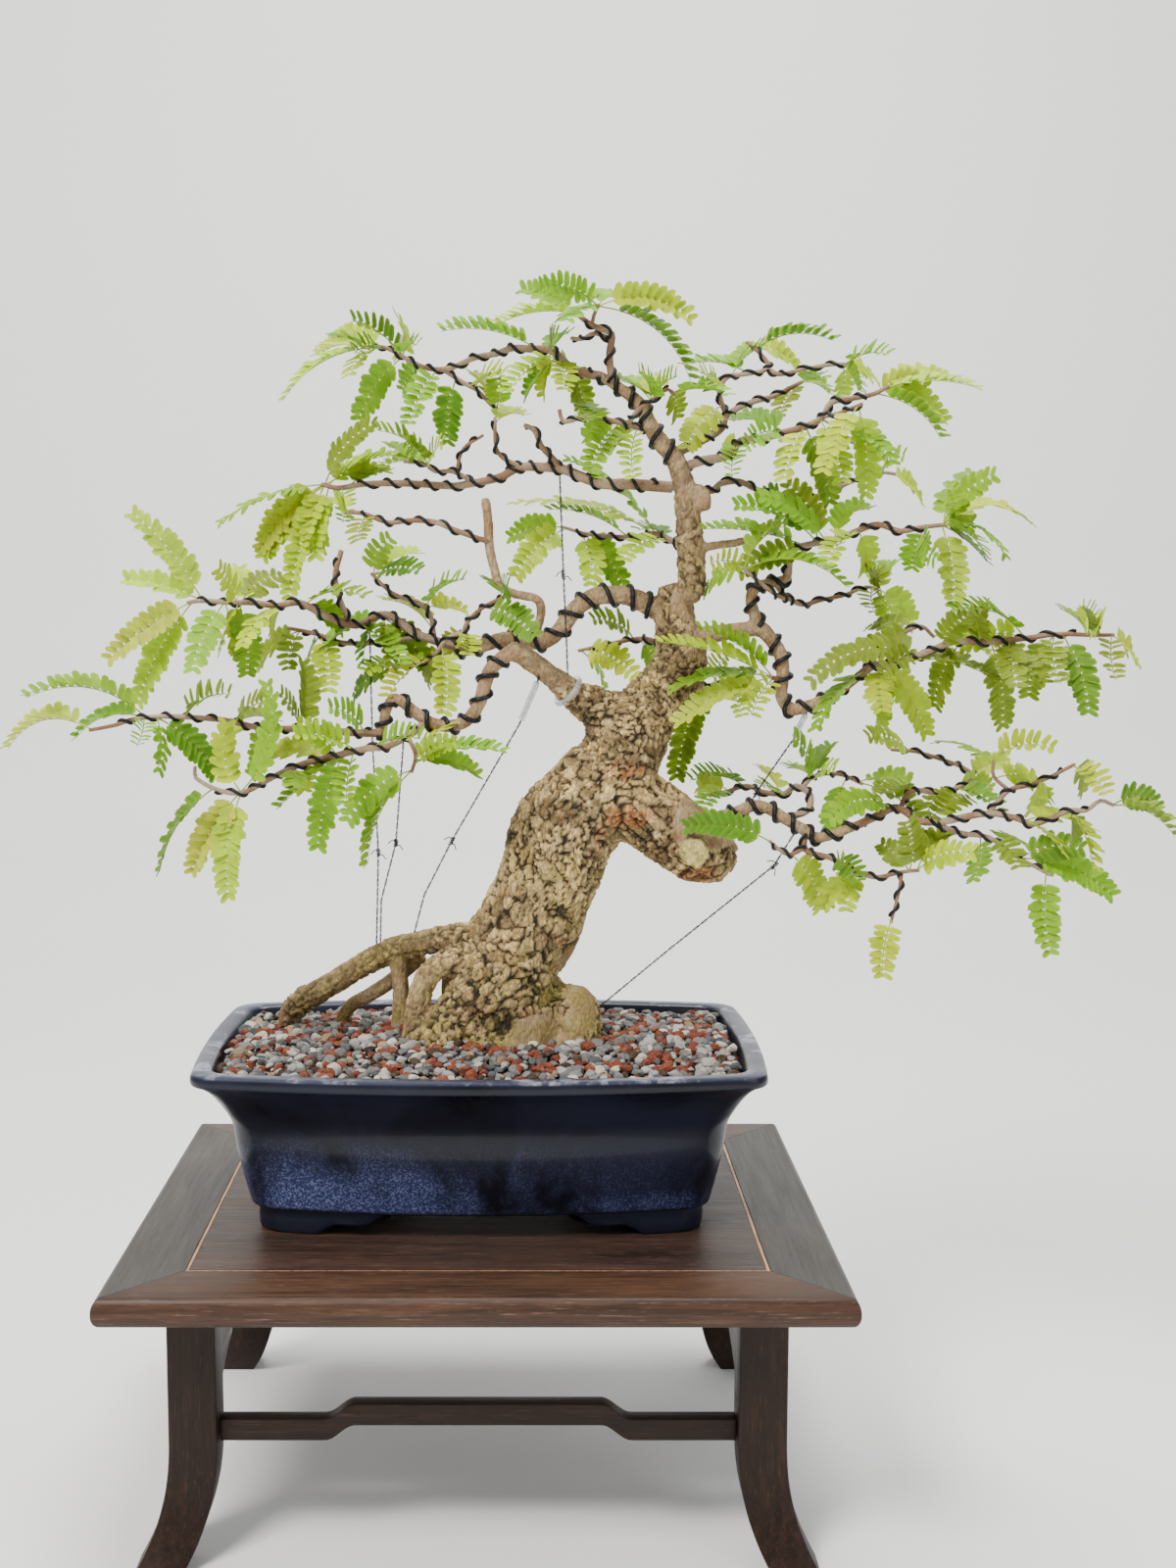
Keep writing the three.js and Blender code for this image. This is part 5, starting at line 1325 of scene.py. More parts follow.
def finish_board(board: bpy.types.Object, finish: bpy.types.Material, edge: float,
                 place: Matrix, slot: str, node: str) -> None:
    """Ease a board's edges, set it in its place and give it its finish.

    Args:
        board: The board.
        finish: Its material.
        edge: How far its edges are eased.
        place: Where it goes.
        slot: Its material slot in the record.
        node: The CAD node that it stands for.
    """
    board.data.transform(place)
    if edge:
        apply_modifier(board, "BEVEL", width=edge, segments=3, limit_method="ANGLE",
                       angle_limit=math.radians(38))
    board.data.materials.clear()
    board.data.materials.append(finish)
    board.data.shade_smooth()
    board.data.set_sharp_from_angle(angle=math.radians(35))
    settle(board, slot, node)


@dataclass
class Stand:
    """The low table: mitred top, flared legs, stretchers and aprons."""

    width: float = 350 * MM
    depth: float = 278 * MM
    height: float = 140 * MM
    top: float = 14 * MM
    rail: float = 36.5 * MM
    joint: float = 0.15 * MM
    leg_width: float = 23 * MM
    leg_depth: float = 22 * MM
    leg_inset: float = 28.5 * MM
    flare: float = 15 * MM
    flare_height: float = 62 * MM
    stretcher_high: float = 10.5 * MM
    stretcher_thick: float = 9 * MM
    stretcher_setback: float = 8 * MM
    stretcher_under: float = 56 * MM
    stretcher_rise: float = 7.5 * MM
    raised_half: float = 59 * MM
    raised_curve: float = 14 * MM
    apron_thick: float = 9 * MM
    apron_deep: float = 47 * MM
    apron_shallow: float = 26 * MM
    gap: float = 0.3 * MM

    def middle(self) -> Matrix:
        """Return the move from the stand's own middle to its place."""
        return Matrix.Translation((PICTURE.stand_middle(), 0.0, 0.0))

    def leg_outer(self) -> tuple[float, float]:
        """Return how far out the legs' upper parts stand, across and back."""
        return self.width / 2 - self.leg_inset, self.depth / 2 - self.leg_inset

    def leg_top(self) -> float:
        """Return the height of the legs' upper ends."""
        return self.height - self.top - self.gap

    def rails(self, across: bpy.types.Material, back: bpy.types.Material) -> None:
        """Build the four mitred rails with a rounded outer edge."""
        sides = (("front", self.width, self.depth, 0.0, across),
                 ("right", self.depth, self.width, math.pi / 2, back),
                 ("back", self.width, self.depth, math.pi, across),
                 ("left", self.depth, self.width, -math.pi / 2, back))
        for name, length, apart, turn, finish in sides:
            outer = -apart / 2
            low, high = self.height - self.top, self.height
            rail = sawn_block(f"rail_{name}", (-length / 2, outer, low),
                              (length / 2, outer + self.rail - self.joint, high))
            with Bench(rail) as bench:
                bench.choose("EDGE", lambda edge: all(
                    abs(point.co.y - outer) < 1e-6 for point in edge.verts)
                    and abs(edge.verts[0].co.z - edge.verts[1].co.z) < 1e-6)
                bpy.ops.mesh.bevel(offset=self.top * 0.47, segments=8, affect="EDGES")
                bench.shift(lambda at: Vector((at.x, outer + (at.y - outer) * self.nose(at.y - outer),
                                               at.z)))
                for side in (-1, 1):
                    bpy.ops.mesh.select_all(action="SELECT")
                    corner = (side * (length / 2 - self.joint), outer, 0.0)
                    bpy.ops.mesh.bisect(plane_co=corner, plane_no=(side, 1.0, 0.0),
                                        use_fill=True, clear_outer=True)
            place = self.middle() @ Matrix.Rotation(turn, 4, "Z")
            finish_board(rail, finish, 0.0, place, "rail_wood", f"stand_rail_{name}")

    def nose(self, into: float) -> float:
        """Return how much a rounded edge is flattened at a distance in from the outside."""
        return 0.62 if into < self.top * 0.5 else 1.0

    def legs(self, finish: bpy.types.Material) -> None:
        """Build the four legs, which sweep outwards at the foot."""
        outer_x, outer_y = self.leg_outer()
        for name, side_x, side_y in (("front_left", -1, -1), ("front_right", 1, -1),
                                     ("back_left", -1, 1), ("back_right", 1, 1)):
            corners = sorted((side_x * outer_x, side_x * (outer_x - self.leg_width)))
            depths = sorted((side_y * outer_y, side_y * (outer_y - self.leg_depth)))
            leg = sawn_block(f"leg_{name}", (corners[0], depths[0], 0.0),
                             (corners[1], depths[1], self.leg_top()))
            with Bench(leg) as bench:
                bench.choose("EDGE", lambda edge: abs(edge.verts[0].co.z - edge.verts[1].co.z) > 0.01)
                bpy.ops.mesh.subdivide(number_cuts=36)
                bench.shift(lambda at: at + Vector((side_x, side_y, 0.0)) * self.flare_at(at.z))
                bench.choose("EDGE", lambda edge: abs(edge.verts[0].co.z - edge.verts[1].co.z) > 1e-4)
                bpy.ops.mesh.bevel(offset=1.1 * MM, segments=3, affect="EDGES")
            finish_board(leg, finish, 0.0, self.middle(), "leg_wood", f"stand_leg_{name}")

    def flare_at(self, height: float) -> float:
        """Return how far a leg stands out at a height."""
        down = max(0.0, (self.flare_height - height) / self.flare_height)
        return self.flare * down**2.6

    def stretchers(self, finish: bpy.types.Material) -> None:
        """Build the front and back stretchers with their raised middles."""
        outer_x, outer_y = self.leg_outer()
        half = outer_x - self.leg_width - self.gap
        front = -outer_y + self.stretcher_setback

        def lower(x: float) -> float:
            """Return the lower edge's height."""
            down = ease((abs(x) - self.raised_half) / self.raised_curve)
            return self.stretcher_under + self.stretcher_rise * (1 - down)

        for name, place in (("front", front), ("back", -front - self.stretcher_thick)):
            board = cut_board(f"stretcher_{name}", lower, lambda x: lower(x) + self.stretcher_high,
                              half, self.stretcher_thick, 120)
            set_at = self.middle() @ Matrix.Translation((0.0, place, 0.0))
            finish_board(board, finish, 0.5 * MM, set_at, "leg_wood", f"stand_stretcher_{name}")

    def aprons(self, finish: bpy.types.Material) -> None:
        """Build the side aprons with their arched lower edges."""
        outer_x, outer_y = self.leg_outer()
        half = outer_y - self.leg_depth - self.gap
        inner = outer_x - self.leg_width + 1 * MM

        def lower(x: float) -> float:
            """Return the arch's height."""
            bow = (x / half) ** 2
            return self.leg_top() - self.apron_shallow - (self.apron_deep - self.apron_shallow) * bow

        for name, side in (("left", -1), ("right", 1)):
            board = cut_board(f"apron_{name}", lower, lambda x: self.leg_top(), half,
                              self.apron_thick)
            turned = Matrix.Rotation(math.pi / 2, 4, "Z")
            near = inner + self.apron_thick if side > 0 else -inner
            set_at = self.middle() @ Matrix.Translation((near, 0.0, 0.0)) @ turned
            finish_board(board, finish, 0.5 * MM, set_at, "leg_wood", f"stand_apron_{name}")

    def build(self) -> None:
        """Build the stand and dress the panel and the strips that are right already."""
        nose = {"dark": (0.022, 0.010, 0.005), "middle": (0.052, 0.023, 0.011),
                "light": (0.095, 0.042, 0.018), "flecks": 0.45, "gloss": 0.25}
        grey = {"dark": (0.022, 0.018, 0.015), "middle": (0.037, 0.031, 0.026),
                "light": (0.058, 0.049, 0.042), "figure": 2.2, "flecks": 0.12, "gloss": 0.22}
        deep = {"dark": (0.008, 0.0038, 0.0022), "middle": (0.017, 0.0078, 0.0042),
                "light": (0.036, 0.017, 0.010), "fleck": (0.11, 0.065, 0.045), "gloss": 0.15}
        self.rails(RosewoodFinish(Grain.ACROSS, **nose).make("rail_front_wood"),
                   RosewoodFinish(Grain.BACK, **grey).make("rail_side_wood"))
        self.legs(RosewoodFinish(Grain.UP, **deep).make("leg_wood"))
        self.stretchers(RosewoodFinish(Grain.ACROSS, **deep).make("stretcher_wood"))
        self.aprons(RosewoodFinish(Grain.BACK, **deep).make("apron_wood"))
        panel = RosewoodFinish(Grain.ACROSS, middle=(0.046, 0.024, 0.017), flecks=0.55)
        dress_node("stand_panel", panel.make("panel_wood"))
        strips = InlayFinish().make()
        line = (self.width / 2 - self.rail, -self.depth / 2 + self.rail)
        seam = sawn_block("seam_front", (-line[0], line[1] - 0.25 * MM, self.height - 2 * MM),
                          (line[0], line[1] + 0.25 * MM, self.height + 0.05 * MM))
        seam.data.materials.append(strips)
        seam.data.transform(self.middle())
        settle(seam, "inlay")
        dress_node("stand_inlay_left", strips)
        dress_node("stand_inlay_right", strips)


def dress_node(node: str, finish: bpy.types.Material) -> None:
    """Give a CAD node that keeps its shape a better finish.

    Args:
        node: The node's name.
        finish: Its new material.
    """
    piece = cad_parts[node]
    for slot in piece.material_slots:
        slot.link = "OBJECT"
        slot.material = finish
    LOG.info("%s: dressed", node)




@dataclass(frozen=True)
class GlazeFinish:
    """Navy glaze, mottled lighter low down; the rim's top is worn grey lilac, with a painted highlight
    along it.
    """

    navy: Colour = (0.0080, 0.0095, 0.022)
    ink: Colour = (0.0030, 0.0034, 0.0070)
    blue: Colour = (0.022, 0.031, 0.100)
    haze: Colour = (0.180, 0.205, 0.370)
    rim: Colour = (0.030, 0.034, 0.056)
    # Light grey lilac of the rim's top: partly worn glaze, partly a painted highlight.
    milk: Colour = (0.36, 0.37, 0.43)
    foot: Colour = (0.010, 0.013, 0.024)
    rim_low: float = 225.6 * MM
    foot_top: float = 153.0 * MM
    body_top: float = 222.0 * MM

    def make(self) -> bpy.types.Material:
        """Return the glaze's material."""
        sheet = Sheet("glaze", Specular_IOR_Level=0.2, Coat_Weight=0.15, Coat_Roughness=0.1)
        where = sheet.place()
        height, across = sheet.part(where, "Z"), sheet.part(where, "X")
        cloud = sheet.noise(where, 17.0, 5.0, 0.6, 0.6)
        fine = sheet.noise(where, 900.0, 4.0, 0.7)
        streak = sheet.noise(sheet.place((1.0, 1.0, 0.22)), 70.0, 4.0, 0.6, 0.5)
        low = sheet.range(height, self.foot_top + 0.004, self.foot_top + 0.046, 1.0, 0.0)
        left = sheet.range(across, -0.19, 0.05, 1.0, 0.12)
        band = sheet.range(height, self.foot_top + 0.003, self.foot_top + 0.018, 0.45, 0.0)
        pooled = sheet.sum("MAXIMUM", sheet.sum("MULTIPLY", low, left), band)
        blots = sheet.range(cloud, 0.36, 0.58)
        above_feet = sheet.range(height, self.foot_top - 0.001, self.foot_top + 0.003)
        patchy = sheet.sum("MULTIPLY", sheet.sum("MULTIPLY", pooled, blots), above_feet)
        dark = sheet.ramp(cloud, ((0.36, self.ink), (0.62, self.navy)))
        shaded = sheet.mix(above_feet, self.foot, dark)
        body = sheet.mix(patchy, shaded, self.blue)
        grains = sheet.sum("MULTIPLY", sheet.range(fine, 0.46, 0.64), patchy)
        hazy = sheet.mix(grains, body, self.haze)
        # Painted highlight: the rim's top face gets light grey-lilac streaks, partly worn glaze and
        # partly the light line along the lip's top edge.
        edge = sheet.range(height, self.rim_low, self.rim_low + 0.0012)
        worn = sheet.mix(sheet.range(streak, 0.50, 0.70), self.rim, self.milk)
        speck = sheet.mix(sheet.range(fine, 0.35, 0.60, 0.55, 0.0), worn, self.blue)
        sheet.set(Base_Color=sheet.mix(sheet.sum("MULTIPLY", edge, 0.92), hazy, speck))
        sheet.set(Roughness=sheet.range(cloud, 0.3, 0.7, 0.26, 0.42))
        sheet.bump(sheet.noise(where, 55.0, 2.0), 0.0006, 0.35)
        sheet.bump(fine, 0.00006, 0.4)
        return sheet.material


def raise_rings(name: str, rings: Sequence[Sequence[Vector]]) -> bpy.types.Object:
    """Extrude an end face from ring to ring, and leave a closed body.

    Args:
        name: The piece's name.
        rings: Rings with equal numbers of points, from the first end to the last.

    Returns:
        The body.
    """
    bpy.ops.object.select_all(action="DESELECT")
    bpy.ops.mesh.primitive_circle_add(vertices=len(rings[0]), radius=1.0, fill_type="NGON")
    body = bpy.context.active_object
    body.name = name
    with Bench(body) as bench:
        made = bench.mesh()
        order = made.verts.layers.int.new("order")
        made.verts.ensure_lookup_table()
        for index, vertex in enumerate(made.verts):
            vertex[order] = index
            vertex.co = rings[0][index]
        bmesh.update_edit_mesh(body.data)
        bpy.ops.mesh.select_mode(type="FACE")
        bpy.ops.mesh.select_all(action="SELECT")
        for ring in rings[1:]:
            bpy.ops.mesh.extrude_region_move()
            made = bench.mesh()
            order = made.verts.layers.int["order"]
            for vertex in made.verts:
                if vertex.select:
                    vertex.co = ring[vertex[order]]
            bmesh.update_edit_mesh(body.data)
        bpy.ops.mesh.select_all(action="SELECT")
        bpy.ops.mesh.normals_make_consistent(inside=False)
    return body


@dataclass
class Pot:
    """The glazed pot: bowed sides, flared rim and cloud-shaped feet."""

    base: float = 140.3
    high: float = 87.0
    half_x: float = 139.5
    half_y: float = 79.0
    long_bow: float = 12.0
    short_bow: float = 4.0
    corner: float = 9.0
    foot_high: float = 12.0
    foot_inset: float = 29.0
    foot_wall: float = 9.0
    drain_radius: float = 9.0
    drain_offset: float = 55.0
    floor: float = 160.3

    def rim_top(self) -> float:
        """Return the rim's height in millimetres."""
        return self.base + self.high

    def body_base(self) -> float:
        """Return the height of the body's underside in millimetres."""
        return self.base + self.foot_high

    def plan(self, inset: float, steps: int = 10) -> list[tuple[float, float]]:
        """Return the outline at an inset from the rim, in millimetres from the pot's middle.

        Args:
            inset: How far in from the rim.
            steps: The number of steps round a corner.
        """
        half_x, half_y = self.half_x - inset, self.half_y - inset
        corner = self.corner + inset * 0.04
        corners = []
        for turn, (sign_x, sign_y) in enumerate(((1, 1), (-1, 1), (-1, -1), (1, -1))):
            arc = []
            for i in range(steps + 1):
                angle = (turn + i / steps) * math.pi / 2
                arc.append((sign_x * (half_x - corner) + corner * math.cos(angle),
                            sign_y * (half_y - corner) + corner * math.sin(angle)))
            corners.append(arc)
        outline = []
        for turn, arc in enumerate(corners):
            outline.extend(arc)
            (ax, ay), (bx, by) = arc[-1], corners[(turn + 1) % 4][0]
            count = 44 if turn % 2 == 0 else 24
            outline.extend((ax + (bx - ax) * k / count, ay + (by - ay) * k / count)
                           for k in range(1, count))

        def bowed(along: float, out: float) -> float:
            """Return how much of the bow a point gets."""
            return max(0.0, 1 - along**2) * abs(out) ** 8

        return [
            (x + math.copysign(self.short_bow, x) * bowed(y / half_y, x / half_x),
             y + math.copysign(self.long_bow, y) * bowed(x / half_x, y / half_y))
            for x, y in outline
        ]

    def ring(self, inset: float, height: float) -> list[Vector]:
        """Return the outline as points of the object at a height."""
        shift = PICTURE.stand_middle()
        return [Vector((x * MM + shift, y * MM, height * MM)) for x, y in self.plan(inset)]

    def outer_wall(self) -> tuple:
        """Return the outer wall's insets and heights, from the bottom up."""
        low, top = self.body_base(), self.rim_top()
        return ((31.5, low), (27.6, low + 0.3), (25.9, low + 1.6), (25.2, low + 4), (24.2, low + 8),
                (22.6, low + 15), (19.6, low + 30), (17.5, top - 30), (14, top - 22),
                (7.8, top - 12), (2.2, top - 6.9), (0.5, top - 6.1), (0, top - 5), (0, top - 1.9),
                (0.6, top - 0.6), (1.9, top))

    def inner_wall(self) -> tuple:
        """Return the inner wall's insets and heights, from the rim down."""
        top = self.rim_top()
        return ((7.4, top), (8.9, top - 0.9), (10.2, top - 3.5), (12, top - 8), (20, top - 18),
                (29, self.floor + 6), (34, self.floor))

    def lowest(self, x: float, y: float, inset: float) -> float:
        """Return the height of a foot's lower edge at a place on the skirt."""
        half_x, half_y = self.half_x - inset, self.half_y - inset
        long_side = abs(y) / half_y > abs(x) / half_x
        scale = 1.0 if long_side else 0.5
        away = ((half_x - abs(x)) if long_side else (half_y - abs(y))) / scale
        first = ease((away - 27) / 9.5) * 5.2
        second = ease((away - 52) / 13) * (self.foot_high + 0.4 - 5.2)
        return self.base + first + second

    def feet(self) -> bpy.types.Object:
        """Build the skirt of four cloud-shaped feet as one closed band."""
        profile = ((self.foot_inset, 1.0), (self.foot_inset - 0.2, 0.55), (self.foot_inset, 0.14),
                   (self.foot_inset + 0.9, 0.0), (self.foot_inset + self.foot_wall - 0.6, 0.0),
                   (self.foot_inset + self.foot_wall, 0.1), (self.foot_inset + self.foot_wall, 1.0))
        shift = PICTURE.stand_middle()
        top = self.body_base() + 1.0
        rings = []
        for inset, share in profile:
            ring = []
            for x, y in self.plan(inset):
                low = min(self.lowest(x, y, inset), top - 0.5)
                ring.append(Vector((x * MM + shift, y * MM, (low + (top - low) * share) * MM)))
            rings.append(ring)
        shell = Shell()
        count = len(rings[0])
        faces = []
        for i in range(len(rings)):
            after = (i + 1) % len(rings)
            for k in range(count):
                k2 = (k + 1) % count
                faces.append((i * count + k, after * count + k, after * count + k2, i * count + k2))
        shell.add([point for ring in rings for point in ring], faces)
        return shell.piece("pot_feet", bpy.data.materials.new("plain"))

    def build(self, finish: bpy.types.Material) -> None:
        """Build the pot as one piece with its two drain holes."""
        walls = []
        for wall in (self.outer_wall(), self.inner_wall()):
            points = [Vector((inset, 0.0, height)) for inset, height in wall]
            walls += Route(points, [1.0] * len(points)).smoothed(1.6).points
        pot = raise_rings("glazed_pot", [self.ring(at.x, at.z) for at in walls])
        for side in (-1, 1):
            bpy.ops.object.select_all(action="DESELECT")
            middle = (side * self.drain_offset * MM + PICTURE.stand_middle(), 0.0, self.floor * MM)
            bpy.ops.mesh.primitive_cylinder_add(vertices=48, radius=self.drain_radius * MM,
                                                depth=40 * MM, location=middle)
            drill = bpy.context.active_object
            apply_modifier(pot, "BOOLEAN", object=drill, operation="DIFFERENCE", solver="EXACT")
            bpy.data.objects.remove(drill)
        feet = self.feet()
        bpy.ops.object.select_all(action="DESELECT")
        feet.select_set(True)
        pot.select_set(True)
        bpy.context.view_layer.objects.active = pot
        bpy.ops.object.join()
        with Bench(pot):
            bpy.ops.mesh.select_all(action="SELECT")
            bpy.ops.mesh.normals_make_consistent(inside=False)
        finish_board(pot, finish, 0.0, Matrix.Identity(4), "glaze", "pot")




@dataclass(frozen=True)
class SoilFinish:
    """Dark crumbly soil between the stones."""

    dark: Colour = (0.018, 0.012, 0.008)
    crumb: Colour = (0.085, 0.055, 0.034)

    def make(self) -> bpy.types.Material:
        """Return the soil's material."""
        sheet = Sheet("soil_bed", Roughness=0.95, Specular_IOR_Level=0.2)
        where = sheet.place()
        crumbs = sheet.noise(where, 600.0, 5.0, 0.7)
        sheet.set(Base_Color=sheet.ramp(crumbs, ((0.38, self.dark), (0.68, self.crumb))))
        sheet.bump(crumbs, 0.0009, 1.0)
        return sheet.material


@dataclass(frozen=True)
class StoneFinish:
    """Rough stones, each in its own tone, with pits where they are lava."""

    def make(self) -> bpy.types.Material:
        """Return the stones' material."""
        sheet = Sheet("gravel_stone", Roughness=0.85, Specular_IOR_Level=0.3)
        where = sheet.place()
        fine = sheet.noise(where, 1300.0, 5.0, 0.7)
        broad = sheet.noise(where, 330.0, 3.0)
        speckle = sheet.ramp(fine, ((0.32, (0.50, 0.48, 0.46)), (0.68, (1.35, 1.32, 1.28))))
        toned = sheet.mix(0.85, sheet.value("tone", colour=True), speckle, "MULTIPLY")
        dusty = sheet.sum("MULTIPLY", sheet.range(broad, 0.52, 0.70), 0.30)
        sheet.set(Base_Color=sheet.mix(dusty, toned, (0.33, 0.29, 0.25)))
        pits = sheet.range(sheet.cells(where, 900.0, edges=False), 0.1, 0.45)
        rough = sheet.sum("MULTIPLY", pits, sheet.value("pitted"))
        sheet.bump(fine, 0.0004, 0.8)
        sheet.bump(rough, 0.0006, 0.8)
        return sheet.material


class Stone(Enum):
    """The gravel's stones: tone, share of the whole, and how pitted they are."""

    LIGHT_GREY = ((0.36, 0.355, 0.34), 20, 0.1)
    GREY = ((0.17, 0.172, 0.168), 24, 0.1)
    DARK_GREY = ((0.075, 0.078, 0.085), 13, 0.2)
    BRICK_LAVA = ((0.20, 0.048, 0.022), 26, 1.0)
    CREAM = ((0.54, 0.50, 0.42), 7, 0.0)
    TAN = ((0.32, 0.22, 0.13), 5, 0.3)
    BARK = ((0.055, 0.034, 0.022), 8, 0.4)


@dataclass
class GravelBed:
    """The soil with its gravel, mounded to the trunk."""

    pot: Pot
    edge_drop: float = 4.5
    mound: float = 8.0
    spacing: float = 4.9
    crumb_spacing: float = 3.4
    clear_of_wall: float = 13.5

    def height(self, x: float, y: float) -> float:
        """Return the soil's height at a place, in millimetres from the pot's middle."""
        reach = math.hypot(x / self.pot.half_x, y / self.pot.half_y)
        return self.pot.rim_top() - self.edge_drop + self.mound * max(0.0, 1 - reach**1.6)

    def bed(self, finish: bpy.types.Material) -> None:
        """Build the soil as one closed body, up to the lumpy surface under the stones."""
        shift = PICTURE.stand_middle()
        top = self.pot.rim_top()
        rings = [self.pot.ring(inset + 0.5, height) for inset, height in (
            (34, self.pot.floor + 0.3), (29, self.pot.floor + 6), (20, top - 18), (12, top - 8),
            (11, top - 6.2))]
        outline = self.pot.plan(11.5)
        for scale in (0.94, 0.86, 0.76, 0.66, 0.56, 0.46, 0.36, 0.26, 0.16, 0.07):
            ring = []
            for x, y in outline:
                x, y = x * scale, y * scale
                lumps = noise.noise(Vector((x, y, 3.0)) / 7.0) * 1.2
                ring.append(Vector((x * MM + shift, y * MM, (self.height(x, y) - 1.6 + lumps) * MM)))
            rings.append(ring)
        bed = raise_rings("soil_bed", rings)
        finish_board(bed, finish, 0.0, Matrix.Identity(4), "gravel", "soil")

    def shapes(self, chance: random.Random, count: int, detail: int) -> list:
        """Return some stone shapes about 1 across, each as points and faces."""
        made = []
        for index in range(count):
            bpy.ops.object.select_all(action="DESELECT")
            bpy.ops.mesh.primitive_ico_sphere_add(subdivisions=detail, radius=0.5)
            seed = bpy.context.active_object
            with Bench(seed) as bench:
                cuts = [
                    (Vector([chance.uniform(-1, 1) for _ in range(3)]).normalized(),
                     chance.uniform(0.26, 0.40)) for _ in range(6)
                ]

                def worn(at: Vector) -> Vector:
                    """Flatten a point against the stone's broken faces."""
                    for normal, reach in cuts:
                        over = at.dot(normal) - reach
                        if over > 0:
                            at = at - normal * over
                    return at * (1 + 0.16 * noise.noise(at * 3.0 + Vector((index, 0.0, 0.0))))

                bench.shift(worn)
            made.append(([vertex.co.copy() for vertex in seed.data.vertices],
                         [tuple(face.vertices) for face in seed.data.polygons]))
            bpy.data.objects.remove(seed)
        return made

    def places(self, chance: random.Random, spacing: float, wood: kdtree.KDTree,
               found: list) -> Iterator[tuple[float, float]]:
        """Give places for stones, in millimetres, which avoid the wood and the wall."""
        half_x, half_y = self.pot.half_x - 8, self.pot.half_y + 2
        rows = int(2 * half_y / spacing)
        columns = int(2 * half_x / spacing)
        for row in range(rows + 1):
            for column in range(columns + 1):
                x = -half_x + (column + (row % 2) / 2) * spacing + chance.uniform(-0.4, 0.4) * spacing
                y = -half_y + row * spacing + chance.uniform(-0.4, 0.4) * spacing
                bow_y = self.pot.long_bow * max(0.0, 1 - (x / self.pot.half_x) ** 2)
                bow_x = self.pot.short_bow * max(0.0, 1 - (y / self.pot.half_y) ** 2)
                if abs(x) > self.pot.half_x + bow_x - self.clear_of_wall:
                    continue
                if abs(y) > self.pot.half_y + bow_y - self.clear_of_wall:
                    continue
                at = Vector((x * MM + PICTURE.stand_middle(), y * MM, self.height(x, y) * MM))
                _, index, away = wood.find(at)
                if away > found[index][1] * 0.93:
                    yield x, y

    def stones(self, finish: bpy.types.Material, wood: kdtree.KDTree, found: list) -> None:
        """Lay the gravel: small crumbs first, then the stones over them."""
        kinds = list(Stone)
        shares = [kind.value[1] for kind in kinds]
        for name, detail, spacing, sizes, lift, seed in (
            ("gravel_crumbs", 1, self.crumb_spacing, (2.2, 3.9), -0.4, 41),
            ("gravel_stones", 2, self.spacing, (4.2, 8.4), 0.7, 43),
        ):
            chance = random.Random(seed)
            shapes = self.shapes(chance, 8, detail)
            shell = Shell()
            for x, y in self.places(chance, spacing, wood, found):
                if chance.random() < 0.12:
                    continue
                points, faces = chance.choice(shapes)
                size = chance.uniform(*sizes) * (1 if chance.random() < 0.85 else 1.25)
                tone, _, pitted = chance.choices(kinds, shares)[0].value
                vary = chance.uniform(0.75, 1.25)
                turn = Matrix.Rotation(chance.uniform(0, 6.3), 3, "Z")
                tip = Matrix.Rotation(chance.uniform(-0.7, 0.7), 3, "X")
                form = Matrix.Diagonal((1.0, chance.uniform(0.72, 0.95), chance.uniform(0.55, 0.8)))
                at = Vector((x, y, self.height(x, y) + lift + chance.uniform(-0.5, 0.5)))
                move = turn @ tip @ form * size
                placed = [(move @ point + at) * MM + Vector((PICTURE.stand_middle(), 0.0, 0.0))
                          for point in points]
                shell.add(placed, faces, tone=tuple(c * vary for c in tone), pitted=pitted)
            settle(shell.piece(name, finish, 32), "gravel", "soil")




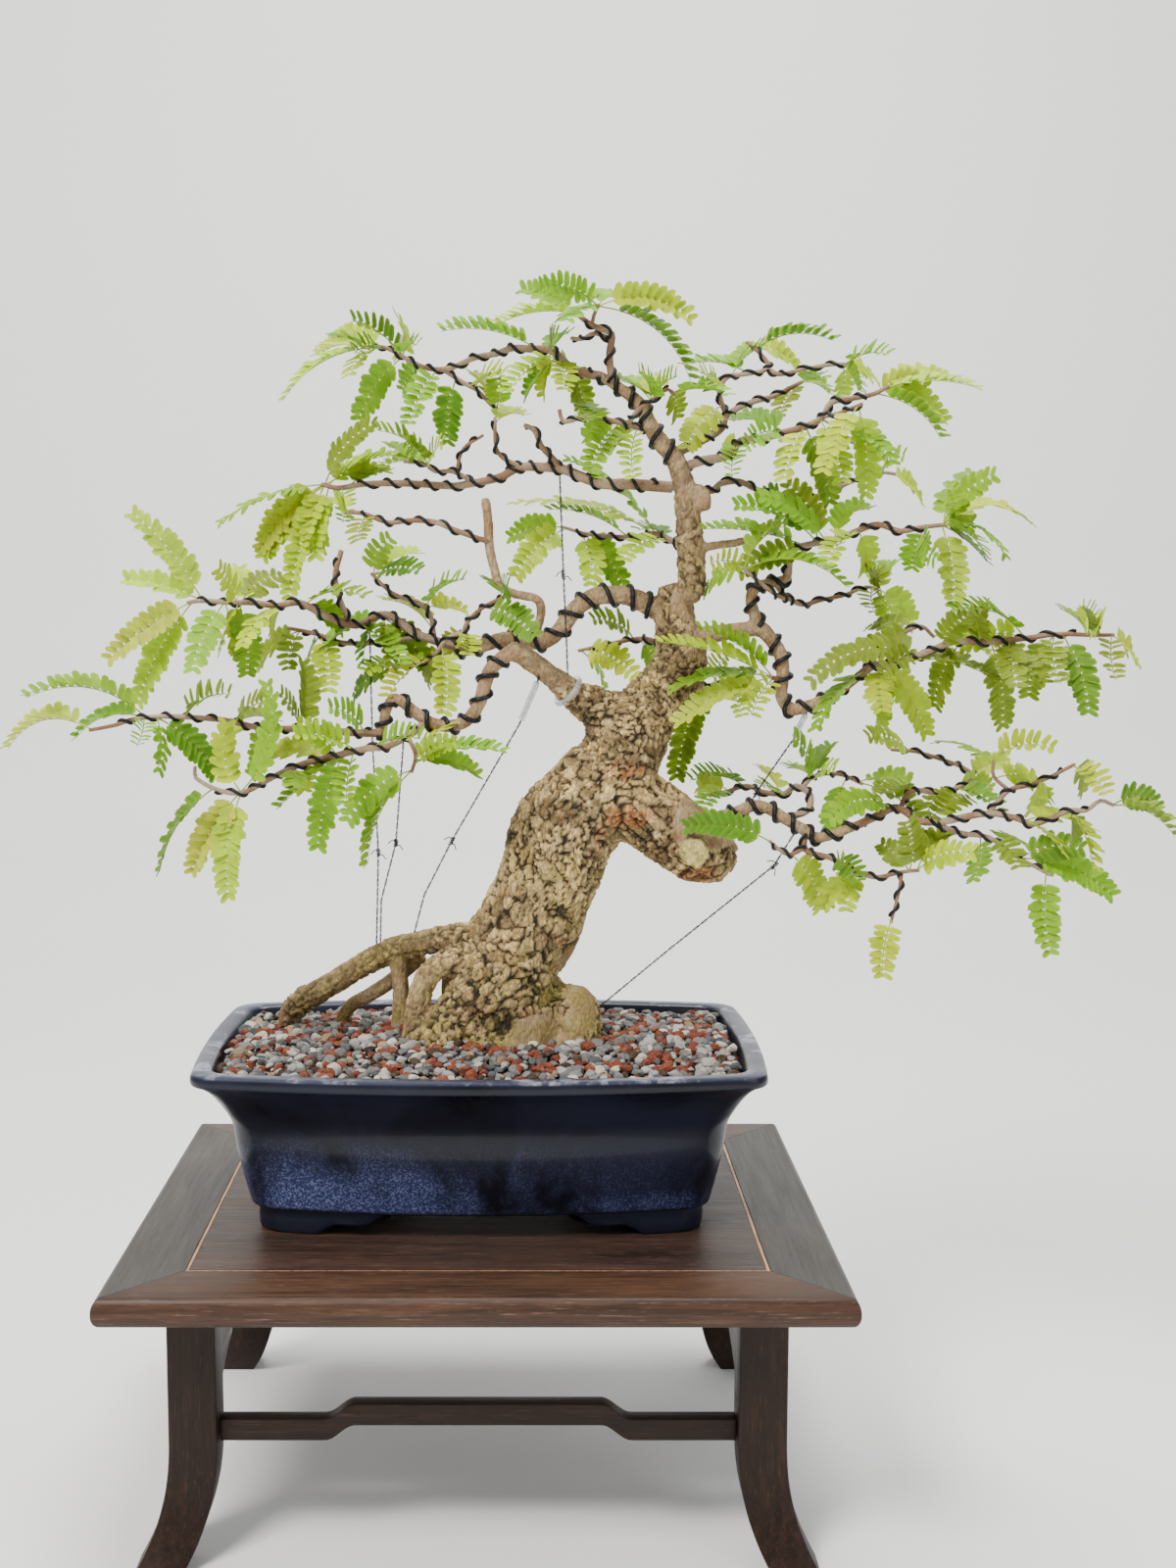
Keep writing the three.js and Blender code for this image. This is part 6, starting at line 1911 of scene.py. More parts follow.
@dataclass(frozen=True)
class BarkFinish:
    """Plated bark with dark cracks, moss low down, rusty scars and one pale cut."""

    tan: Colour = (0.80, 0.585, 0.27)
    grey: Colour = (0.56, 0.43, 0.22)
    brown: Colour = (0.33, 0.205, 0.088)
    crack: Colour = (0.020, 0.013, 0.007)
    moss: Colour = (0.26, 0.24, 0.028)
    rust: Colour = (0.42, 0.115, 0.020)
    raw: Colour = (0.62, 0.36, 0.15)
    cut: Colour = (0.64, 0.50, 0.20)
    pith: Colour = (0.36, 0.33, 0.085)
    young: Colour = (0.33, 0.205, 0.105)
    pale: Colour = (0.47, 0.345, 0.205)

    def make(self) -> bpy.types.Material:
        """Return the bark's material."""
        sheet = Sheet("bark", Roughness=0.86, Specular_IOR_Level=0.3)
        where = sheet.place()
        broad = sheet.noise(where, 60.0, 5.0, 0.62)
        plates = sheet.ramp(broad, ((0.32, self.brown), (0.46, self.grey), (0.62, self.tan)))
        blocks = sheet.ramp(sheet.value("tone"), ((0.20, (0.54, 0.50, 0.44)), (0.70, (1.3, 1.28, 1.2))))
        plates = sheet.mix(1.0, plates, blocks, "MULTIPLY")
        fresh = sheet.ramp(sheet.noise(where, 95.0, 4.0, 0.6), ((0.38, self.young), (0.62, self.pale)))
        youth = sheet.mix(sheet.value("age"), fresh, plates)
        grain = sheet.noise(sheet.place((1.0, 1.0, 0.35)), 900.0, 5.0, 0.7)
        speckle = sheet.ramp(grain, ((0.32, (0.50, 0.47, 0.44)), (0.66, (1.25, 1.22, 1.16))))
        rough = sheet.mix(0.75, youth, speckle, "MULTIPLY")
        mossy = sheet.sum("MULTIPLY", sheet.value("moss"), sheet.range(broad, 0.35, 0.6))
        green = sheet.mix(mossy, rough, self.moss)
        raw = sheet.ramp(sheet.noise(where, 300.0, 3.0), ((0.45, self.rust), (0.60, self.raw)))
        rusty = sheet.mix(sheet.value("scar"), green, raw)
        long = sheet.cells(sheet.place((1.0, 1.0, 0.45)), 330.0)
        fine = sheet.range(long, 0.0, 0.13, 1.0, 0.0)
        aged = sheet.range(sheet.value("age"), 0.0, 1.0, 0.10, 0.5)
        deep = sheet.sum("MAXIMUM", sheet.value("crack"), sheet.sum("MULTIPLY", fine, aged))
        split = sheet.mix(deep, rusty, self.crack)
        pithy = sheet.mix(sheet.range(sheet.noise(where, 420.0, 3.0), 0.42, 0.60), self.cut, self.pith)
        sheet.set(Base_Color=sheet.mix(sheet.value("cut"), split, pithy))
        sheet.bump(grain, 0.0006, 0.8)
        sheet.bump(sheet.range(long, 0.0, 0.2), 0.0005, 0.6)
        return sheet.material


@dataclass
class TreeWood:
    """The trunk, its roots and its limbs as one skin of bark."""

    grain: float = 1.16 * MM
    plate: float = 5.8 * MM
    chip: float = 2.9 * MM
    plate_relief: float = 1.7 * MM
    chip_relief: float = 0.5 * MM
    moss_height: float = 95 * MM
    neck: tuple = (640, 745)
    cut_centre: tuple = (711, 872)
    cut_radius: float = 7.6 * MM
    scars: tuple = ((638, 786, 24, 11), (640, 832, 34, 17), (714, 893, 34, 13), (612, 852, 9, 14))

    def routes(self) -> list:
        """Return each wood route, smoothed, with whether it is lumpy."""
        return [
            (PICTURE.routed(wood.path, wood.depth, wood.radius).smoothed(3 * MM), wood.lump)
            for wood in WOOD_ROUTES
        ]

    def body(self, finish: bpy.types.Material) -> bpy.types.Object:
        """Join every route's tube and remesh them into one skin."""
        shell = Shell()
        for route, lump in self.routes():
            sides = 22 if max(route.radii) > 8 * MM else 14
            shell.tube(route, sides, lump=0.055 if lump else 0.02)
        wood = shell.piece("bonsai_wood", finish)
        for kind, settings in (
            ("REMESH", {"mode": "VOXEL", "voxel_size": self.grain}),
            ("SMOOTH", {"factor": 0.5, "iterations": 6}),
        ):
            apply_modifier(wood, kind, **settings)
        return wood

    def nearest(self) -> tuple[kdtree.KDTree, list]:
        """Return a finder over the routes' points, and each point's radius and direction."""
        found = []
        for route, _ in self.routes():
            for point, radius, (ahead, _, _) in zip(route.points, route.radii, route.frames()):
                found.append((point, radius, ahead))
        tree = kdtree.KDTree(len(found))
        for index, (point, _, _) in enumerate(found):
            tree.insert(point, index)
        tree.balance()
        return tree, found

    def plates(self, place: Vector, size: float, drift: float) -> tuple[float, float]:
        """Return a bark plate's height at a place, 0 in a crack and 1 inside, and its tone."""
        warp = noise.noise_vector(place / (size * 1.7)) * drift
        distances, middles = noise.voronoi(place / size + warp)
        tone = 0.5 + 0.9 * noise.noise(middles[0] * 2.3 + Vector((0.37, 0.61, 0.19)))
        return ease((distances[1] - distances[0]) / 0.22), tone

    def weathered(self, wood: bpy.types.Object) -> None:
        """Raise the plates, cut the cracks and set the values that the bark's finish reads."""
        mesh = wood.data
        tree, found = self.nearest()
        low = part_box("soil")[1][2] - 6 * MM
        narrow = PICTURE.seen(self.neck, 0)
        cut = PICTURE.seen(self.cut_centre, -31)
        cut_normal = Vector((0.25, -0.93, -0.1)).normalized()
        scars = [(PICTURE.seen(scar[:2], -20), scar[2] * 0.42 * MM, scar[3] * 0.42 * MM)
                 for scar in self.scars]
        values = {"crack": [], "moss": [], "scar": [], "age": [], "cut": [], "tone": []}
        places = []
        for vertex in mesh.vertices:
            here, up = vertex.co.copy(), vertex.normal
            _, index, _ = tree.find(here)
            _, radius, ahead = found[index]
            age = ease((radius - 3.0 * MM) / (6 * MM))
            neck = math.exp(-((here - narrow).length / (19 * MM)) ** 2)
            flat = here - ahead * here.dot(ahead) * (0.34 + 0.3 * neck)
            plate, tone = self.plates(flat, self.plate, 0.55)
            chip, _ = self.plates(flat + Vector((3.1, 1.7, 0.4)), self.chip, 0.4)
            rough = noise.fractal(here / (11 * MM), 1.0, 2.0, 4)
            rise = age * (self.plate_relief * (plate - 0.75) + self.chip_relief * (chip - 0.6))
            rise += (1 - age) * 0.14 * MM * (chip - 0.5) + rough * (0.08 + 0.5 * age) * MM
            moved = here + up * rise
            offset = here - cut
            depth = offset.dot(cut_normal)
            reach = (offset - cut_normal * depth).length
            on_cut = 0.0
            if reach < self.cut_radius * 1.35 and depth > -9 * MM:
                ragged = 1 + 0.16 * noise.noise(here / (4 * MM))
                on_cut = 1.0 - ease((reach / self.cut_radius / ragged - 0.86) / 0.16)
                ring = math.exp(-((reach / self.cut_radius - 1.12) / 0.12) ** 2)
                level = moved - cut_normal * (moved - cut).dot(cut_normal)
                coarse = noise.fractal(here / (2.4 * MM), 1.0, 2.0, 3) * 0.7 * MM
                moved = moved.lerp(level, on_cut * 0.8) + cut_normal * (ring * 1.2 * MM + coarse * on_cut)
            scar = 0.0
            if up.y < 0.2:
                for middle, wide, high in scars:
                    away = math.hypot((here.x - middle.x) / wide, (here.z - middle.z) / high)
                    uneven = 1 + 0.5 * noise.fractal(here / (4 * MM), 1.0, 2.0, 3)
                    scar = max(scar, 1 - ease((away / uneven - 0.6) / 0.5))
            crack = age * max(0.9 * (1 - plate), 0.5 * (1 - chip)) + (1 - age) * 0.25 * (1 - chip)
            height = (here.z - low) / self.moss_height
            damp = noise.fractal(here / (28 * MM) + Vector((5, 2, 1)), 1.0, 2.0, 3)
            moss = max(age, 0.7) * min(1.0, max(0.0, 0.85 - height + damp * 0.9)) * 0.7
            crack = min(1.0, crack * (1.25 + 0.35 * neck))
            tone -= 0.30 * neck + 0.32 * ease((here.z - narrow.z) / (60 * MM))
            places.extend(moved)
            values["crack"].append(crack * (1 - on_cut))
            values["moss"].append(moss * (1 - on_cut))
            values["scar"].append(scar * 0.8 * (1 - on_cut))
            values["age"].append(age)
            values["tone"].append(tone)
            values["cut"].append(on_cut)
        mesh.vertices.foreach_set("co", places)
        for name, given in values.items():
            mesh.attributes.new(name, "FLOAT", "POINT").data.foreach_set("value", given)
        mesh.shade_smooth()
        mesh.update()

    def build(self, finish: bpy.types.Material) -> None:
        """Build the wood and let it stand for its node."""
        wood = self.body(finish)
        self.weathered(wood)
        settle(wood, "bark", "tree_wood")




class Foliage(Enum):
    """The greens of the fronds."""

    BRIGHT = (0.38, 0.50, 0.003)
    FRESH = (0.17, 0.34, 0.003)
    MIDDLE = (0.070, 0.18, 0.003)
    OLIVE = (0.15, 0.19, 0.005)
    PALE = (0.40, 0.48, 0.030)


@dataclass(frozen=True)
class LeafFinish:
    """Soft thin leaflets with lighter ribs and light coming through."""

    rib: Colour = (0.46, 0.64, 0.08)
    spot: Colour = (0.30, 0.16, 0.03)

    def make(self) -> bpy.types.Material:
        """Return the leaves' material."""
        sheet = Sheet("leaf", Roughness=0.55, Specular_IOR_Level=0.2, Subsurface_Weight=0.25,
                      Subsurface_Radius=(0.6, 1.0, 0.25), Subsurface_Scale=0.0012)
        where = sheet.place()
        mottle = sheet.noise(where, 260.0, 4.0, 0.6)
        shade = sheet.ramp(mottle, ((0.30, (0.72, 0.76, 0.62)), (0.72, (1.18, 1.14, 1.05))))
        green = sheet.mix(0.8, sheet.value("tint", colour=True), shade, "MULTIPLY")
        ribbed = sheet.mix(sheet.sum("MULTIPLY", sheet.value("rib"), 0.16), green, self.rib)
        spots = sheet.range(sheet.noise(where, 900.0, 2.0, 0.5), 0.70, 0.78, 0.0, 0.75)
        sheet.set(Base_Color=sheet.mix(spots, ribbed, self.spot))
        sheet.bump(sheet.noise(where, 1800.0, 3.0), 0.00012, 0.5)
        return sheet.material


@dataclass(frozen=True)
class TwigFinish:
    """Thin red-brown to grey bark on the twigs, the brown partly painted shade."""

    grey: Colour = (0.36, 0.275, 0.19)
    # Red-brown bark tone, partly painted shade of the twigs' shaded sides.
    brown: Colour = (0.22, 0.125, 0.070)

    def make(self) -> bpy.types.Material:
        """Return the twigs' material."""
        sheet = Sheet("twig", Roughness=0.8, Specular_IOR_Level=0.3)
        where = sheet.place()
        broad = sheet.noise(where, 45.0, 3.0)
        fine = sheet.noise(where, 1100.0, 5.0, 0.7)
        # The brown stands partly for red-brown bark and partly for painted shade from the twigs' shaded
        # sides, spread by noise.
        bark = sheet.ramp(broad, ((0.40, self.brown), (0.60, self.grey)))
        speckle = sheet.ramp(fine, ((0.30, (0.45, 0.42, 0.40)), (0.72, (1.5, 1.45, 1.35))))
        sheet.set(Base_Color=sheet.mix(0.8, bark, speckle, "MULTIPLY"))
        sheet.bump(fine, 0.0003, 0.8)
        return sheet.material


@dataclass
class Frond:
    """One frond: a curved rib with pairs of leaflets."""

    base: Vector
    tip: Vector
    turn: float
    bow: float
    green: Colour
    fold: float

    leaflet: float = 9.6 * MM
    pitch: float = 4.4 * MM
    rib: float = 0.42 * MM

    def grow(self, shell: Shell, chance: random.Random) -> None:
        """Add the frond to a shell of leaves.

        Args:
            shell: The shell that takes the frond's points.
            chance: The source of the leaflets' small differences.
        """
        chord = self.tip - self.base
        length = chord.length
        ahead = chord.normalized()
        front = Vector((0.0, -1.0, 0.0))
        upright = front.cross(ahead).normalized()
        if upright.z < 0:
            upright.negate()
        turn = math.radians(self.turn)
        normal = upright * math.cos(turn) + front * math.sin(turn)
        normal = (normal - ahead * normal.dot(ahead)).normalized()
        rise = 4 * self.bow * length

        def at(share: float) -> Vector:
            """Return the rib's place at a share of its length."""
            return self.base + chord * share + upright * rise * share * (1 - share)

        stops = 9
        line = Route(
            [at(i / stops) for i in range(stops + 1)],
            [self.rib * (1.0 - 0.62 * i / stops) for i in range(stops + 1)],
        )
        stem = tuple(0.65 * c + 0.35 * r for c, r in zip(self.green, (0.36, 0.42, 0.04)))
        shell.tube(line, 5, tint=stem, rib=0.3)
        pairs = int(min(14, max(6, round(length / self.pitch))))
        size = min(self.leaflet, 6.0 * MM + length * 0.085)
        for pair in range(pairs):
            share = 0.14 + 0.86 * (pair + 0.5) / pairs
            near = (at(min(1.0, share + 0.03)) - at(share - 0.03)).normalized()
            up = (normal - near * normal.dot(near)).normalized()
            swell = 0.62 + 0.38 * math.sin(math.pi * min(1.0, share * 0.95 + 0.08))
            for side in (-1, 1):
                self.leaf(shell, chance, at(share), near, up, side, size * swell, share)

    def leaf(self, shell: Shell, chance: random.Random, foot: Vector, near: Vector, up: Vector,
             side: int, size: float, share: float) -> None:
        """Add one leaflet as a thin closed blade.

        Args:
            shell: The shell that takes the leaflet.
            chance: The source of its small differences.
            foot: The place on the rib where it grows.
            near: The rib's direction there.
            up: The frond's upper side there.
            side: 1 for the left leaflet of a pair and -1 for the right one.
            size: The leaflet's length.
            share: How far along the rib it is.
        """
        across = up.cross(near) * side
        lean = math.radians(20 + 22 * share + chance.uniform(-6, 6))
        fold = math.radians(self.fold + chance.uniform(-9, 9))
        axis = across * math.cos(lean) + near * math.sin(lean)
        blade = (up * math.cos(fold) - axis * math.sin(fold)).normalized()
        axis = (axis * math.cos(fold) + up * math.sin(fold)).normalized()
        blade = (blade - axis * blade.dot(axis)).normalized()
        left = blade.cross(axis)
        length = size * chance.uniform(0.9, 1.08)
        wide = length * 0.26
        start = foot + axis * self.rib * 0.2
        stations = ((0.07, 0.92), (0.46, 1.0), (0.88, 0.72))
        droop = length * chance.uniform(0.02, 0.16)
        points = [start, start + axis * length - blade * droop]
        middle, under, lefts, rights = [], [], [], []
        for where, width in stations:
            centre = start + axis * length * where - blade * droop * where**2
            edge = left * wide * width
            lift = blade * wide * 0.16
            middle.append(centre)
            under.append(centre - blade * 0.22 * MM)
            lefts.append(centre + edge + lift)
            rights.append(centre - edge + lift)
        points += middle + under + lefts + rights
        faces = []
        for first, flip in ((2, False), (5, True)):
            top = [
                (0, first, 8), (0, 11, first), (first + 2, 1, 10), (first + 2, 13, 1),
                (first, first + 1, 9, 8), (first + 1, first + 2, 10, 9),
                (first, 11, 12, first + 1), (first + 1, 12, 13, first + 2),
            ]
            faces += [tuple(reversed(face)) for face in top] if flip else top
        vary = chance.uniform(0.86, 1.14)
        tint = tuple(min(1.0, c * vary) for c in self.green)
        ribs = [1.0, 0.6] + [0.7, 0.2, 0.2] * 2 + [1.0, 0.9, 0.9] * 2
        shell.add(points, faces, tint=tint, rib=ribs)


@dataclass
class LeafyBranches:
    """Every leafy branch: its twigs and its fronds."""

    full_frond: float = 46.0
    deepest_lean: float = 24.0
    bright: tuple = ((944, 749), (837, 928), (1050, 830), (767, 731), (329, 560))
    olive: tuple = (
        (273, 696), (954, 721), (1050, 710), (1110, 728), (945, 835), (886, 654),
    )
    spot: float = 42.0
    sister_share: float = 0.6
    grown: dict = field(default_factory=dict)

    def foot_on(self, grown: Sequence, place: Sequence[float]) -> Vector:
        """Find the point of some twigs that shows nearest to a picture place."""
        column, row = place
        best, away = None, math.inf
        for path, route in grown:
            for i, ((ax, ay), (bx, by)) in enumerate(zip(path, path[1:])):
                span = (bx - ax) ** 2 + (by - ay) ** 2
                along = ((column - ax) * (bx - ax) + (row - ay) * (by - ay)) / span
                t = min(max(along, 0.05), 0.88)
                far = math.hypot(ax + t * (bx - ax) - column, ay + t * (by - ay) - row)
                if far < away:
                    best, away = route.points[i].lerp(route.points[i + 1], t), far
        return best

    def twig_routes(self, branch: LeafyBranch) -> list:
        """Return a branch's twigs with their routes. A later twig starts on an earlier one."""
        grown = []
        for twig in branch.twigs:
            route = PICTURE.routed(twig.path, twig.depth, twig.radius)
            if grown:
                route.points[0] = self.foot_on(grown, twig.path[0])
            grown.append((twig.path, route))
        return grown

    def green_at(self, place: Sequence[float], chance: random.Random) -> Colour:
        """Choose a frond's green from where it is and from chance."""
        for spots, kind in ((self.bright, Foliage.BRIGHT), (self.olive, Foliage.OLIVE)):
            if any(math.hypot(place[0] - x, place[1] - y) < self.spot for x, y in spots):
                return kind.value
        kinds = (Foliage.FRESH, Foliage.MIDDLE, Foliage.BRIGHT, Foliage.PALE, Foliage.OLIVE)
        kind = chance.choices(kinds, (6, 3, 5, 1, 2))[0]
        return tuple(c * chance.uniform(0.88, 1.12) for c in kind.value)

    def fronds(self, branch: LeafyBranch, grown: Sequence, chance: random.Random) -> Iterator[Frond]:
        """Give each frond of a branch, and the shorter one that grows beside it."""
        for index, (col, row, tip_col, tip_row, turn, bow) in enumerate(branch.fronds):
            base = self.foot_on(grown, (col, row))
            flat = PICTURE.seen((tip_col, tip_row), base.y / MM)
            length = (flat - base).length / MM
            hidden = math.sqrt(max(0.0, self.full_frond**2 - length**2))
            lean = (-1 if index % 2 == 0 else 1) * min(self.deepest_lean, 6 + 0.5 * hidden)
            tip = PICTURE.seen((tip_col, tip_row), base.y / MM + lean)
            middle = ((col + tip_col) / 2, (row + tip_row) / 2)
            green = self.green_at(middle, chance)
            yield Frond(base, tip, turn, bow, green, chance.uniform(0, 42))
            if chance.random() < self.sister_share:
                swing = math.radians(chance.choice((-1, 1)) * chance.uniform(24, 46))
                across, up = tip_col - col, tip_row - row
                reach = chance.uniform(0.6, 0.9)
                other = (
                    col + (across * math.cos(swing) - up * math.sin(swing)) * reach,
                    row + (across * math.sin(swing) + up * math.cos(swing)) * reach,
                )
                back = PICTURE.seen(other, base.y / MM - lean * chance.uniform(0.5, 1.2))
                tone = self.green_at(middle, chance)
                turned = chance.choice((LEVEL, SLANTED, FACING))
                yield Frond(base, back, turned, bow, tone, chance.uniform(0, 42))

    def build(self, leaf: bpy.types.Material, twig: bpy.types.Material) -> None:
        """Build each branch's twigs and leaves as two pieces that stand for its node."""
        for order, branch in enumerate(LEAFY_BRANCHES):
            chance = random.Random(100 + order)
            grown = self.twig_routes(branch)
            self.grown[branch.name] = [route.smoothed(2.5 * MM) for _, route in grown]
            wood, leaves = Shell(), Shell()
            for route in self.grown[branch.name]:
                wood.tube(route, 8, lump=0.05)
            for frond in self.fronds(branch, grown, chance):
                frond.grow(leaves, chance)
            name = branch.name.replace("leafy_", "")
            settle(wood.piece(f"twigs_{name}", twig), "bark", branch.name)
            settle(leaves.piece(f"fronds_{name}", leaf, 50), "leaf", branch.name)




@dataclass(frozen=True)
class WireFinish:
    """Black anodised wire, a little worn."""

    black: Colour = (0.010, 0.010, 0.011)
    worn: Colour = (0.050, 0.048, 0.046)
    roughness: float = 0.38

    def make(self, name: str) -> bpy.types.Material:
        """Return the wire's material."""
        sheet = Sheet(name, Metallic=0.6, Specular_IOR_Level=0.5)
        scuffs = sheet.noise(sheet.place(), 500.0, 4.0, 0.6)
        sheet.set(Base_Color=sheet.ramp(scuffs, ((0.50, self.black), (0.72, self.worn))))
        sheet.set(Roughness=sheet.range(scuffs, 0.3, 0.7, self.roughness, self.roughness + 0.2))
        sheet.bump(scuffs, 0.0001, 0.4)
        return sheet.material


@dataclass(frozen=True)
class SleeveFinish:
    """Clear soft tubing."""

    tint: Colour = (0.86, 0.90, 0.92)

    def make(self) -> bpy.types.Material:
        """Return the tubing's material."""
        sheet = Sheet("clear_tube", Base_Color=self.tint, Transmission_Weight=0.75, IOR=1.42,
                      Specular_IOR_Level=0.6)
        haze = sheet.noise(sheet.place(), 300.0, 3.0)
        sheet.set(Roughness=sheet.range(haze, 0.3, 0.7, 0.12, 0.35))
        return sheet.material


@dataclass
class Wiring:
    """The black training wire on every limb and twig, the guy wires and their sleeves."""

    thick: float = 1.25 * MM
    thin: float = 0.92 * MM
    pitch: float = 11.0 * MM
    guy: float = 0.42 * MM
    sleeve: float = 1.6 * MM
    sling_at: tuple = (580, 708)
    wired: tuple = (
        ("leader", "training_wire_crown", 0.55, 1.0),
        ("left low limb", "training_wire_left_low", 0.05, 1.0),
        ("left arch", "training_wire_left_arch", 0.12, 1.0),
        ("right rising limb", "training_wire_right_rising", 0.05, 1.0),
        ("right falling limb", "training_wire_right_falling", 0.1, 1.0),
        ("right low limb", "training_wire_right_low", 0.12, 1.0),
    )

    def coil(self, shell: Shell, route: Route, first: float, last: float, wire: float,
             chance: random.Random) -> None:
        """Wind a wire round a stretch of a route.

        Args:
            shell: The shell that takes the wire.
            route: The limb's smoothed route.
            first: Where the wire starts, as a share of the limb.
            last: Where it ends.
            wire: The wire's radius.
            chance: The source of the small differences between turns.
        """
        steps = 12
        count = len(route.points) - 1
        length = route.length() * (last - first)
        turns = max(1.5, length / self.pitch)
        frames = route.frames()
        phase = chance.uniform(0, 2 * math.pi)
        points = []
        total = max(8, int(turns * steps))
        for i in range(total + 1):
            share = first + (last - first) * i / total
            place = min(share * count, count - 1e-6)
            index = int(place)
            part = place - index
            point = route.points[index].lerp(route.points[index + 1], part)
            radius = route.radii[index] + (route.radii[index + 1] - route.radii[index]) * part
            ahead, normal, across = frames[index]
            _, normal2, across2 = frames[index + 1]
            normal = normal.lerp(normal2, part).normalized()
            across = across.lerp(across2, part).normalized()
            wobble = 2.2 * noise.noise(Vector((i * 0.035, phase, 0.0)))
            angle = phase + 2 * math.pi * turns * i / total + wobble
            reach = radius + wire * 0.62
            points.append(point + (normal * math.cos(angle) + across * math.sin(angle)) * reach)
        shell.tube(Route(points, [wire] * len(points)), 7)

    def training_wires(self, finish: bpy.types.Material, branches: LeafyBranches) -> None:
        """Wire the limbs, and then each leafy branch's twigs."""
        chance = random.Random(5)
        for limb, node, first, last in self.wired:
            wood = next(wood for wood in WOOD_ROUTES if wood.name == limb)
            route = PICTURE.routed(wood.path, wood.depth, wood.radius).smoothed(2 * MM)
            shell = Shell()
            self.coil(shell, route, first, last, self.thick, chance)
            settle(shell.piece(node.replace("training_wire", "limb_wire"), finish), "wire", node)
        for name, routes in branches.grown.items():
            shell = Shell()
            for route in routes:
                if route.length() > 22 * MM:
                    self.coil(shell, route, 0.04, chance.uniform(0.86, 0.97), self.thin, chance)
            if shell.points:
                short = name.replace("leafy_", "")
                settle(shell.piece(f"twig_wire_{short}", finish), "wire", name)

    def guy_wires(self, finish: bpy.types.Material, clear: bpy.types.Material) -> None:
        """Build the thin pulling wires with their knots, and the clear sleeves."""
        for order, wire in enumerate(GUY_WIRES):
            route = PICTURE.routed(wire.path, wire.depth, (0.6,))
            points = route.points
            shell = Shell()
            line = []
            for start, end in zip(points, points[1:]):
                steps = max(2, int((end - start).length / (6 * MM)))
                line += [start.lerp(end, k / steps) for k in range(steps)]
            line.append(points[-1])
            ahead = (points[-1] - points[0]).normalized()
            side = ahead.cross(Vector((0.0, 1.0, 0.0))).normalized()
            other = ahead.cross(side)
            for strand in (0, math.pi):
                fine = []
                for a, b in zip(line, line[1:]):
                    for k in range(3):
                        fine.append(a.lerp(b, k / 3))
                fine.append(line[-1])
                wound = [
                    at + (side * math.cos(i * 1.25 + strand) + other * math.sin(i * 1.25 + strand))
                    * self.guy * 0.85 for i, at in enumerate(fine)
                ]
                shell.tube(Route(wound, [self.guy * 0.62] * len(wound)), 5)
            self.knot(shell, points[wire.knot], ahead, order)
            settle(shell.piece(wire.name.replace("guy_wire", "pull_wire"), finish), "wire", wire.name)
            if wire.sleeve:
                start, end = points[wire.sleeve - 1], points[wire.sleeve]
                tube = Shell()
                self.tubing(tube, start.lerp(end, 0.25), start.lerp(end, 0.92))
                node = wire.name.replace("guy_wire", "clear_sleeve")
                settle(tube.piece(node.replace("clear_sleeve", "clear_tube"), clear), "clear_sleeve",
                       node)

    def sling(self, clear: bpy.types.Material) -> None:
        """Lay clear tubing over the limb that a guy wire pulls on."""
        limb = next(wood for wood in WOOD_ROUTES if wood.name == "left primary limb")
        route = PICTURE.routed(limb.path, limb.depth, limb.radius).smoothed(2 * MM)
        index = min(range(len(route.points)), key=lambda i: abs(
            route.points[i].x - PICTURE.seen(self.sling_at, -10).x))
        middle, radius = route.points[index], route.radii[index] + 1.1 * MM
        _, normal, across = route.frames()[index]
        shell = Shell()
        arc = [middle + (normal * math.cos(turn / 9) + across * math.sin(turn / 9)) * radius
               for turn in range(-22, 23)]
        shell.tube(Route(arc, [1.5 * MM] * len(arc)), 12)
        settle(shell.piece("clear_tube_sling", clear), "clear_sleeve")

    def knot(self, shell: Shell, middle: Vector, ahead: Vector, order: int) -> None:
        """Tie a small knot of three loops and two cut ends round a point."""
        side = ahead.cross(Vector((0.0, 1.0, 0.0))).normalized()
        other = ahead.cross(side)
        turns, steps = 3.5, 10
        count = int(turns * steps)
        points = []
        for i in range(count + 1):
            angle = 2 * math.pi * i / steps + order
            reach = self.guy * 2.3
            along = (i / count - 0.5) * 4.5 * MM
            points.append(middle + ahead * along
                          + (side * math.cos(angle) + other * math.sin(angle)) * reach)
        shell.tube(Route(points, [self.guy * 0.75] * len(points)), 5)
        for sign in (-1, 1):
            tail = middle + ahead * sign * 1.2 * MM
            ends = [tail, tail + side * 2.2 * MM * sign, tail + (side * sign + ahead * 0.6) * 4 * MM]
            shell.tube(Route(ends, [self.guy * 0.7] * 3), 5)

    def tubing(self, shell: Shell, start: Vector, end: Vector) -> None:
        """Add a length of tubing with its bore open."""
        ahead = (end - start).normalized()
        side = ahead.cross(Vector((0.0, 1.0, 0.0))).normalized()
        other = ahead.cross(side)
        sides = 20
        points, faces = [], []
        bore = self.guy + 0.55 * MM
        for place, radius in ((start, self.sleeve), (end, self.sleeve), (end, bore), (start, bore)):
            for k in range(sides):
                angle = 2 * math.pi * k / sides
                points.append(place + (side * math.cos(angle) + other * math.sin(angle)) * radius)
        for i in range(4):
            after = (i + 1) % 4
            for k in range(sides):
                k2 = (k + 1) % sides
                faces.append((i * sides + k, after * sides + k, after * sides + k2, i * sides + k2))
        shell.add(points, faces)

    def build(self, branches: LeafyBranches) -> None:
        """Build all the wiring."""
        self.training_wires(WireFinish().make("training_wire"), branches)
        guys = WireFinish(black=(0.016, 0.016, 0.018), worn=(0.12, 0.12, 0.12), roughness=0.3)
        clear = SleeveFinish().make()
        self.guy_wires(guys.make("guy_wire"), clear)
        self.sling(clear)




